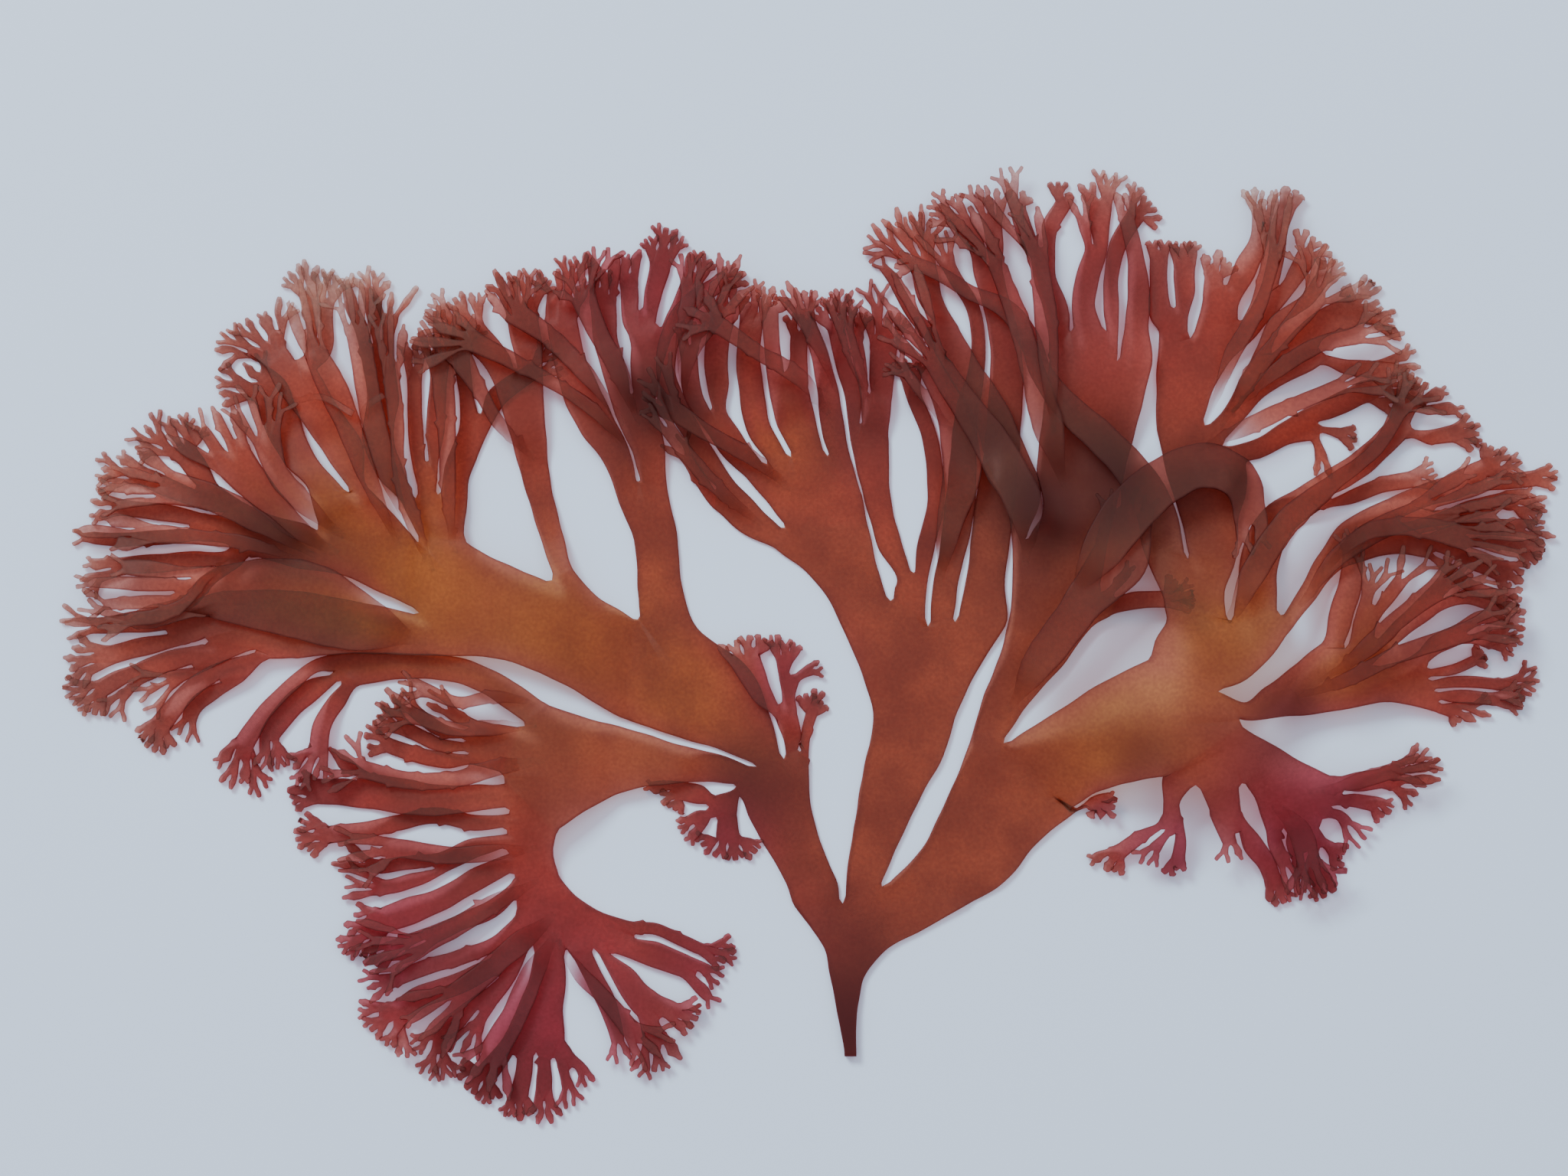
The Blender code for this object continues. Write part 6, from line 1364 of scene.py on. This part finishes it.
@dataclass
class ThallusBlade:
    """The whole plant as one finely cut blade.

    Attributes:
        thickness: thickness of the blade.
        stipe_thickness: thickness of the stipe at its foot.
        stipe_fade: distance over which the stipe thins into the blade.
        column_step: distance between points across the blade.
        rim: width of the margin that has its own narrow columns.
        rim_share: the same at most, as a share of the strip's width.
        ripple: height of the ripples on the face of a broad blade.
        foot_share: how wide a spray's foot is, as a share of its first row.
        foot_fade: distance over which a spray takes on its own colour.
        steep: where the normal's upward part is less than this, the blade gets thinner.
        thinnest: the least that is left of its thickness there.
        seed: seed of the ripples and lifts.
    """

    thickness: float = 0.42
    stipe_thickness: float = 1.3
    stipe_fade: float = 9.0
    column_step: float = 1.15
    rim: float = 0.22
    rim_share: float = 0.22
    ripple: float = 0.34
    foot_share: float = 0.3
    foot_fade: float = 5.5
    steep: float = 0.5
    thinnest: float = 0.1
    seed: int = 5

    def shares_across(self, width: float) -> Array:
        """Where the points of a row stand: one in each margin's rim, and the rest spread evenly.

        Args:
            width: the width of the strip.

        Returns:
            Shares from 0 at the left edge to 1 at the right.
        """
        rim = min(self.rim / width, self.rim_share)
        inner = max(0, round((width - 2 * self.rim) / self.column_step) - 1)
        return np.concatenate(([0.0], np.linspace(rim, 1 - rim, inner + 2), [1.0]))

    def row_points(self, strip: Strip, shares: Array, heights: Array, lift: Array,
                   phase: Array) -> tuple[Array, dict[str, Array]]:
        """All points of a strip: straight across from edge to edge, then raised.

        The height is the drape's, plus a lift that grows towards a finger's end, plus ripples: a sine
        along the blade, out of step on its two sides, that is strongest near the margins.

        Args:
            strip: the strip.
            shares: where across the points stand.
            heights: the drape's height at each row.
            lift: an extra height at each row.
            phase: two phases for the ripples.

        Returns:
            The points by row and column, and their attributes.
        """
        across = shares[None, :, None]
        plan = strip.left[:, None] * (1 - across) + strip.right[:, None] * across
        widths = strip.widths()[:, None]
        along = strip.along[:, None]
        side = 2 * shares[None] - 1
        broad = np.clip((widths - RIPPLE_START) / RIPPLE_GROWTH, 0.0, 1.0)
        ripple = self.ripple * broad * (RIPPLE_MIDDLE + (1 - RIPPLE_MIDDLE) * np.abs(side) ** 2)
        quick = np.sin(along * RIPPLE_QUICK + phase[0] + side * RIPPLE_TURN)
        wave = 0.5 + 0.5 * quick * np.cos(along * RIPPLE_SLOW + phase[1])
        height = heights[:, None] + lift[:, None] + ripple * wave
        from_edge = np.minimum(shares[None], 1 - shares[None]) * widths
        margin = np.minimum(MARGIN_WIDTH, MARGIN_SHARE * widths)
        notes = {
            "tipward": np.broadcast_to(strip.far - along, height.shape).copy(),
            "edge": np.clip(from_edge / margin, 0.0, 1.0),
            "body": np.clip(from_edge / BODY_DEPTH, 0.0, 1.0) ** BODY_RISE,
            "along": np.broadcast_to(along, height.shape).copy(),
        }
        return np.concatenate((plan, height[:, :, None]), axis=2), notes

    def surface(self, strips: list[Strip], drape: Drape | None) -> Surface:
        """The underside of the whole plant.

        A strip is a grid of rows and columns. Its end row is replaced by the base rows of the strips
        that follow, which lie along the fork from notch to notch, so the sheet has no seam.

        Args:
            strips: the plant, finely cut.
            drape: the heights, or None for a sheet that is laid over the others later.

        Returns:
            The surface.
        """
        draws = np.random.default_rng(self.seed)
        surface = Surface()
        followers: dict[int, list[int]] = {}
        for number, strip in enumerate(strips):
            followers.setdefault(strip.parent, []).append(number)
        bases: dict[int, tuple[Array, Array, Array]] = {}
        ends: dict[int, float] = {}
        tilts: dict[int, float] = {-1: 0.0}
        for number, strip in enumerate(strips):
            shares = self.shares_across(strip.width())
            along = strip.along - strip.along[0]
            share = along / max(float(along[-1]), LEAST)
            if drape is None:
                heights = np.zeros(len(share))
            elif strip.key is None:
                heights = np.full(len(share), ends[strip.parent])
            else:
                heights = drape.height(strip, strip.along)
            ends[number] = float(heights[-1])
            tilt = 0.0
            if strip.width() < TILT_WIDTH:
                tilt = float(draws.uniform(0.0, TILT))
            start = tilts[strip.parent]
            tilts[number] = start + tilt
            lift = start + tilt * share
            phase = draws.uniform(0, 2 * np.pi, 2)
            points, notes = self.row_points(strip, shares, heights, lift, phase)
            if number:
                near, near_shares, body = bases[number]
                before = np.interp(shares, near_shares, body)
                ease = smooth(along / BODY_EASE)[:, None]
                notes["body"] = before[None] * (1 - ease) + notes["body"] * ease
            else:
                near = surface.add(points[0], **{name: values[0] for name, values in notes.items()})
                near_shares = shares
            kids = followers.get(number, [])
            last = len(points) if not kids else len(points) - 1
            inner = points[1:last]
            numbers = surface.add(inner.reshape(-1, 3),
                                  **{name: values[1:last].reshape(-1) for name, values in notes.items()})
            grid = numbers.reshape(len(inner), len(shares))
            if len(grid):
                surface.triangles.append(stitch(near, grid[0], near_shares, shares))
                surface.quads.append(np.stack((grid[:-1, :-1], grid[:-1, 1:], grid[1:, 1:], grid[1:, :-1]),
                                              axis=-1).reshape(-1, 4))
                near, near_shares = grid[-1], shares
            if kids:
                heads = [ends[number]] * len(kids)
                if drape is not None and strips[kids[0]].key is not None:
                    heads = [float(drape.height(strips[kid], strips[kid].along[:1])[0]) for kid in kids]
                rises = [(first + second) / 2 - ends[number] for first, second in zip(heads, heads[1:])]
                far, far_shares = self.fork_row(surface, strips, number, kids, rises, points[-1, :, 2],
                                                shares, notes, bases)
                surface.triangles.append(stitch(near, far, near_shares, far_shares))
        return surface

    def fork_row(self, surface: Surface, strips: list[Strip], number: int, kids: list[int],
                 rises: list[float], heights: Array, shares: Array, notes: dict[str, Array],
                 bases: dict) -> tuple[Array, Array]:
        """The end row of a strip, laid along its fork and shared with the strips that follow.

        Args:
            surface: the surface, which gets the row's points.
            strips: all strips.
            number: which of them ends here.
            kids: the strips that follow.
            rises: how much higher than the strip's end each notch between them stands.
            heights: heights of the strip's own end row.
            shares: where across that row's points stand.
            notes: the strip's attributes.
            bases: filled with each follower's base row, where its points stand, and their body.

        Returns:
            The row's point numbers, and where across they stand.
        """
        corners = np.array(strips[number].fork)
        spans = np.hypot(*np.diff(corners, axis=0).T)
        starts = np.concatenate(([0.0], np.cumsum(spans))) / spans.sum()
        parts = []
        own = []
        for place, kid in enumerate(kids):
            inner = self.shares_across(strips[kid].width())
            own.append(inner)
            piece = starts[place] + inner * (starts[place + 1] - starts[place])
            parts.append(piece if place == 0 else piece[1:])
        across = np.concatenate(parts)
        plan = np.stack([np.interp(across, starts, corners[:, axis]) for axis in (0, 1)], axis=1)
        height = np.interp(across, shares, heights) + np.interp(across, starts, [0.0, *rises, 0.0])
        at_end = {name: np.interp(across, shares, values[-1]) for name, values in notes.items()}
        numbers = surface.add(np.column_stack((plan, height)), **at_end)
        passed = 0
        for kid, inner in zip(kids, own):
            own_part = slice(passed, passed + len(inner))
            bases[kid] = (numbers[own_part], inner, at_end["body"][own_part])
            passed += len(inner) - 1
        return numbers, across

    def build(self, node: bpy.types.Object) -> list[bpy.types.Object]:
        """Make the blade and the sprays that lie over it.

        Args:
            node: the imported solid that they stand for.

        Returns:
            The pieces.
        """
        foot = (np.array((-FOOT_WIDTH / 2, 0.0)), np.array((FOOT_WIDTH / 2, 0.0)))
        rough = Growth(SOLID_CUT)
        rough.grow(THALLUS, foot, (None, None))
        drape = Drape.from_node(node, rough.strips)
        fine = Growth(FINE_CUT, FULLER)
        fine.grow(THALLUS, foot, (foot[0] - (0.0, BEFORE_FOOT), foot[1] - (0.0, BEFORE_FOOT)))
        main = self.surface(fine.strips, drape)
        layers = Layers()
        layers.fill(main)
        sprays = Surface()
        for number, spray in enumerate(SPRAYS):
            growth = Growth(FINE_CUT, start=SPRAY_START, webs=SPRAY_WEBS, seed=SPRAY_SEED + number)
            first = spray.rows[0]
            heading = unit(np.array(spray.rows[1][:2]) - np.array(first[:2]))
            sideways = np.array((-heading[1], heading[0])) * first[2] * self.foot_share / 2
            base = (np.array(first[:2]) + sideways, np.array(first[:2]) - sideways)
            rest = Branch(spray.rows[1:], tips=spray.tips, forks=min(spray.forks, 1))
            growth.grow(rest, base, (base[0] - heading, base[1] - heading))
            sheet = self.surface(growth.strips, None)
            layers.lay_over(sheet)
            layers.fill(sheet)
            sprays.join(sheet)
        return [self.piece("thallus_blade", main, 0.0), self.piece("upper_sprays", sprays, 1.0)]

    def piece(self, name: str, surface: Surface, foot: float) -> bpy.types.Object:
        """Make one mesh, with its colours' attributes and its thickness.

        Args:
            name: its name.
            surface: its underside.
            foot: 1 where each growth's foot takes no colour of its own, being part of what carries it.

        Returns:
            The piece.
        """
        points, notes, quads, triangles = surface.whole()
        for hue in Hue:
            notes[hue.value] = self.drift(hue, points[:, :2])
        notes["pale"] = self.fade(notes["tipward"], notes["pale"], notes["rose"])
        notes["foot"] = foot * np.exp(-((notes["along"] - SPRAY_START) / self.foot_fade) ** 2)
        points[:, :2] += FOOT
        mesh = bpy.data.meshes.new(name)
        mesh.from_pydata(points * MM, [], [*quads.tolist(), *triangles.tolist()])
        for note, values in notes.items():
            layer = mesh.attributes.new(note, "FLOAT", "POINT")
            layer.data.foreach_set("value", values.astype(np.float32))
        mesh.shade_smooth()
        blade = bpy.data.objects.new(name, mesh)
        bpy.context.scene.collection.objects.link(blade)
        self.thicken(blade, notes["along"])
        LOG.info("%s: %d faces underneath, up to %.1f mm high", name, len(mesh.polygons), points[:, 2].max())
        return blade

    def drift(self, hue: Hue, plan: Array) -> Array:
        """How far each point drifts towards a colour: soft round patches, the strongest one winning.

        Args:
            hue: the colour.
            plan: points in the plan.

        Returns:
            One number a point, from 0 to 1.
        """
        amount = np.zeros(len(plan))
        for x, y, reach, strength in PATCHES[hue]:
            apart = np.hypot(plan[:, 0] - x, plan[:, 1] - y)
            amount = np.maximum(amount, strength * np.exp(-(apart / reach) ** 2))
        return amount

    def fade(self, tipward: Array, pale: Array, rose: Array) -> Array:
        """How pale each point is: a bell of its distance from the finger's end, stronger in pale places.

        Args:
            tipward: distance from the finger's end.
            pale: how pale the place is.
            rose: how rosy the place is.

        Returns:
            One number a point, from 0 to 1.
        """
        near = np.exp(-(tipward / TIP_REACH) ** 2) * (TIP_PALE + (1 - TIP_PALE) * pale)
        wide = pale * np.exp(-(tipward / PALE_REACH) ** 2)
        return np.maximum(near * (1 - ROSE_LOSS * rose), PALE_MOST * wide)

    def thicken(self, blade: bpy.types.Object, along: Array) -> None:
        """Give the sheet its thickness, upwards from the underside, and less where a fold stands steep.

        Args:
            blade: the blade's open sheet.
            along: each point's distance from the foot of the stipe.
        """
        extra = (self.stipe_thickness - self.thickness) * np.exp(-(along / self.stipe_fade) ** 2)
        weights = (self.thickness + extra) / self.stipe_thickness
        normals = np.zeros(3 * len(along))
        blade.data.vertices.foreach_get("normal", normals)
        weights *= np.clip(normals[2::3] / self.steep, self.thinnest, 1.0)
        group = blade.vertex_groups.new(name="thickness")
        levels = np.round(weights, 2)
        for level in np.unique(levels):
            group.add(np.nonzero(levels == level)[0].tolist(), float(level), "REPLACE")
        solid = blade.modifiers.new("thickness", "SOLIDIFY")
        solid.thickness = self.stipe_thickness * MM
        solid.offset = 1.0
        solid.vertex_group = "thickness"


@dataclass(frozen=True)
class TissueFinish:
    """Thin wet algal tissue: light passes through it and takes its colour, and its face is glossy.

    Attributes:
        thick: colour of the tissue low down the plant.
        upper: colour towards the fingers.
        gold: colour where the thick middles glow.
        rose: colour of the rosy fans.
        pale: colour of the palest finger ends.
        dark: colour of the stipe and of margins.
        painted_shade: colour of the painted shade laid over the darkest folds and overlaps.
        margin: how much darker the margins are, from 0 to 1.
        pale_margin: the same in pale places, as a share of it.
        seen_through: share of light that passes through one face.
        upward: distances from a finger's end between which the upper colour gives way.
        cloud: size number of the soft clouds in the tissue, and how dark they are at most.
        grain: the same for its fine grain.
        bumps: strength and depth of the unevenness that goes with the clouds.
        roughness: how dull its gloss is.
        shine: how strong its gloss is.
    """

    thick: Colour = (0.76, 0.42, 0.30)
    upper: Colour = (0.80, 0.39, 0.30)
    gold: Colour = (0.82, 0.53, 0.26)
    rose: Colour = (0.72, 0.27, 0.33)
    pale: Colour = (0.93, 0.80, 0.72)
    dark: Colour = (0.44, 0.16, 0.17)
    painted_shade: Colour = (0.40, 0.18, 0.17)
    margin: float = 0.5
    pale_margin: float = 0.3
    seen_through: float = 0.925
    upward: Pair = (12.0, 45.0)
    cloud: Pair = (130.0, 0.3)
    grain: Pair = (2300.0, 0.2)
    bumps: Pair = (0.25, 0.0002)
    roughness: float = 0.34
    shine: float = 0.35

    def material(self) -> bpy.types.Material:
        """Build the material.

        Returns:
            The tissue's material.
        """
        material = bpy.data.materials.new("wet_tissue")
        material.use_nodes = True
        tree = material.node_tree
        tree.nodes.clear()
        nodes = tree.nodes
        links = tree.links

        def value(name: str) -> Socket:
            """An attribute of the blade."""
            node = nodes.new("ShaderNodeAttribute")
            node.attribute_name = name
            return node.outputs["Fac"]

        def mix(factor: Socket | float, first: object, second: object) -> Socket:
            """A colour between two."""
            node = nodes.new("ShaderNodeMix")
            node.data_type = "RGBA"
            for place, given in ((0, factor), (6, first), (7, second)):
                socket = node.inputs[place]
                if isinstance(given, Socket):
                    links.new(given, socket)
                elif isinstance(given, tuple):
                    socket.default_value = (*given, 1.0)
                else:
                    socket.default_value = given
            return node.outputs[2]

        def curve(source: Socket, *ends: float) -> Socket:
            """A number eased from the range between the first two ends to that between the last two."""
            node = nodes.new("ShaderNodeMapRange")
            node.interpolation_type = "SMOOTHSTEP"
            links.new(source, node.inputs["Value"])
            for name, end in zip(("From Min", "From Max", "To Min", "To Max"), ends):
                node.inputs[name].default_value = end
            return node.outputs["Result"]

        def times(first: Socket, second: Socket) -> Socket:
            """Two numbers multiplied."""
            node = nodes.new("ShaderNodeMath")
            node.operation = "MULTIPLY"
            links.new(first, node.inputs[0])
            links.new(second, node.inputs[1])
            return node.outputs[0]

        def noise(scale: float, detail: float) -> Socket:
            """An even noise over the object's own coordinates."""
            node = nodes.new("ShaderNodeTexNoise")
            node.inputs["Scale"].default_value = scale
            node.inputs["Detail"].default_value = detail
            links.new(spot, node.inputs["Vector"])
            return node.outputs["Fac"]

        spot = nodes.new("ShaderNodeTexCoord").outputs["Object"]
        cloud = noise(self.cloud[0], 3.0)
        grain = noise(self.grain[0], 2.0)

        colour = mix(curve(value("tipward"), *self.upward, 1.0, 0.0), self.thick, self.upper)
        colour = mix(value("rose"), colour, self.rose)
        colour = mix(times(value("gold"), curve(value("body"), 0.1, 0.9, 0.15, 1.0)), colour, self.gold)
        colour = mix(value("pale"), colour, self.pale)
        colour = mix(value("dark"), colour, self.dark)
        # Painted shade: the darkest folds and overlaps are darkened in the colour itself
        colour = mix(value("painted_shade"), colour, self.painted_shade)
        colour = mix(curve(cloud, 0.3, 0.7, 0.0, self.cloud[1]), colour, self.dark)
        colour = mix(curve(grain, 0.35, 0.65, 0.0, self.grain[1]), colour, self.dark)
        bare = curve(value("pale"), 0.0, 1.0, self.margin, self.pale_margin * self.margin)
        colour = mix(times(curve(value("edge"), 0.0, 0.9, 1.0, 0.0), bare), colour, self.dark)

        bump = nodes.new("ShaderNodeBump")
        bump.inputs["Strength"].default_value = self.bumps[0]
        bump.inputs["Distance"].default_value = self.bumps[1]
        links.new(cloud, bump.inputs["Height"])

        face = nodes.new("ShaderNodeBsdfPrincipled")
        links.new(colour, face.inputs["Base Color"])
        links.new(bump.outputs["Normal"], face.inputs["Normal"])
        face.inputs["Roughness"].default_value = self.roughness
        face.inputs["Specular IOR Level"].default_value = self.shine
        clear = nodes.new("ShaderNodeBsdfTransparent")
        links.new(mix(value("foot"), colour, (1.0, 1.0, 1.0)), clear.inputs["Color"])
        join = nodes.new("ShaderNodeMixShader")
        links.new(curve(value("foot"), 0.0, 1.0, self.seen_through, 1.0), join.inputs["Fac"])
        links.new(face.outputs["BSDF"], join.inputs[1])
        links.new(clear.outputs["BSDF"], join.inputs[2])
        output = nodes.new("ShaderNodeOutputMaterial")
        links.new(join.outputs["Shader"], output.inputs["Surface"])
        return material


@dataclass
class Dish:
    """The pale surface that the plant lies on.

    Attributes:
        span: width of the surface, in metres.
        level: how high it lies, in metres.
        colour: its colour.
        roughness: how dull it is.
    """

    span: float = 3.0
    level: float = -0.0001
    colour: Colour = (0.63, 0.77, 0.98)
    roughness: float = 0.9

    def build(self) -> bpy.types.Object:
        """Make the surface just under the plant.

        Returns:
            The surface.
        """
        half = self.span / 2
        mesh = bpy.data.meshes.new("pale_surface")
        corners = ((-half, -half), (half, -half), (half, half), (-half, half))
        mesh.from_pydata([(x, y, self.level) for x, y in corners], [], [(0, 1, 2, 3)])
        floor = bpy.data.objects.new("pale_surface", mesh)
        bpy.context.scene.collection.objects.link(floor)
        material = bpy.data.materials.new("pale_surface")
        material.use_nodes = True
        shader = material.node_tree.nodes["Principled BSDF"]
        shader.inputs["Base Color"].default_value = (*self.colour, 1.0)
        shader.inputs["Roughness"].default_value = self.roughness
        mesh.materials.append(material)
        return floor


@dataclass
class Studio:
    """The camera straight above the plant, and soft light from the upper left.

    Attributes:
        aim: the middle of the picture, in the plan of the plant.
        across: width of the picture at the plant, in millimetres.
        lens: focal length of the camera.
        sensor: width of its sensor, in millimetres.
        sky: colour of the even light of the room.
        sky_strength: how strong that light is.
    """

    aim: Pair = (-7.8, 54.9)
    across: float = 184.3
    lens: float = 85.0
    sensor: float = 36.0
    sky: Colour = (0.86, 0.92, 1.0)
    sky_strength: float = 0.5

    def add_camera(self) -> None:
        """Hang the camera over the plant, looking straight down."""
        data = bpy.data.cameras.new("camera")
        data.lens = self.lens
        data.sensor_width = self.sensor
        height = self.across * self.lens / self.sensor
        camera = bpy.data.objects.new("camera", data)
        camera.location = ((self.aim[0] + FOOT[0]) * MM, (self.aim[1] + FOOT[1]) * MM, height * MM)
        bpy.context.scene.collection.objects.link(camera)
        bpy.context.scene.camera = camera

    def add_light(self, name: str, place: tuple[float, float, float], size: float, power: float) -> None:
        """Add a soft square light that faces the plant.

        Args:
            name: its name.
            place: where it hangs, in metres.
            size: its width, in metres.
            power: its power, in watts.
        """
        data = bpy.data.lights.new(name, "AREA")
        data.size = size
        data.energy = power
        light = bpy.data.objects.new(name, data)
        light.location = place
        light.rotation_euler = (-Vector(place)).to_track_quat("-Z", "Y").to_euler()
        bpy.context.scene.collection.objects.link(light)

    def build(self) -> None:
        """Add the camera, the lights and the even light of the room."""
        self.add_camera()
        self.add_light("window", (-0.45, 0.6, 0.8), size=0.35, power=11.0)
        self.add_light("room", (0.1, 0.3, 1.1), size=1.2, power=7.0)
        world = bpy.data.worlds.new("room")
        world.use_nodes = True
        background = world.node_tree.nodes["Background"]
        background.inputs["Color"].default_value = (*self.sky, 1.0)
        background.inputs["Strength"].default_value = self.sky_strength
        bpy.context.scene.world = world


def main() -> None:
    """Build the plant and its surroundings."""
    logging.basicConfig(level=logging.INFO, format="%(name)s: %(message)s")
    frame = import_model()
    Studio().build()
    Dish().build()
    tissue = TissueFinish().material()
    for piece in ThallusBlade().build(frame["nodes"][NODE]):
        piece.data.materials.append(tissue)
        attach(piece, ROOT_BODY)
        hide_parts(NODE)
        LOG.info("dressed %s", piece.name)
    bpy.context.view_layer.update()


if __name__ == "__main__":
    main()
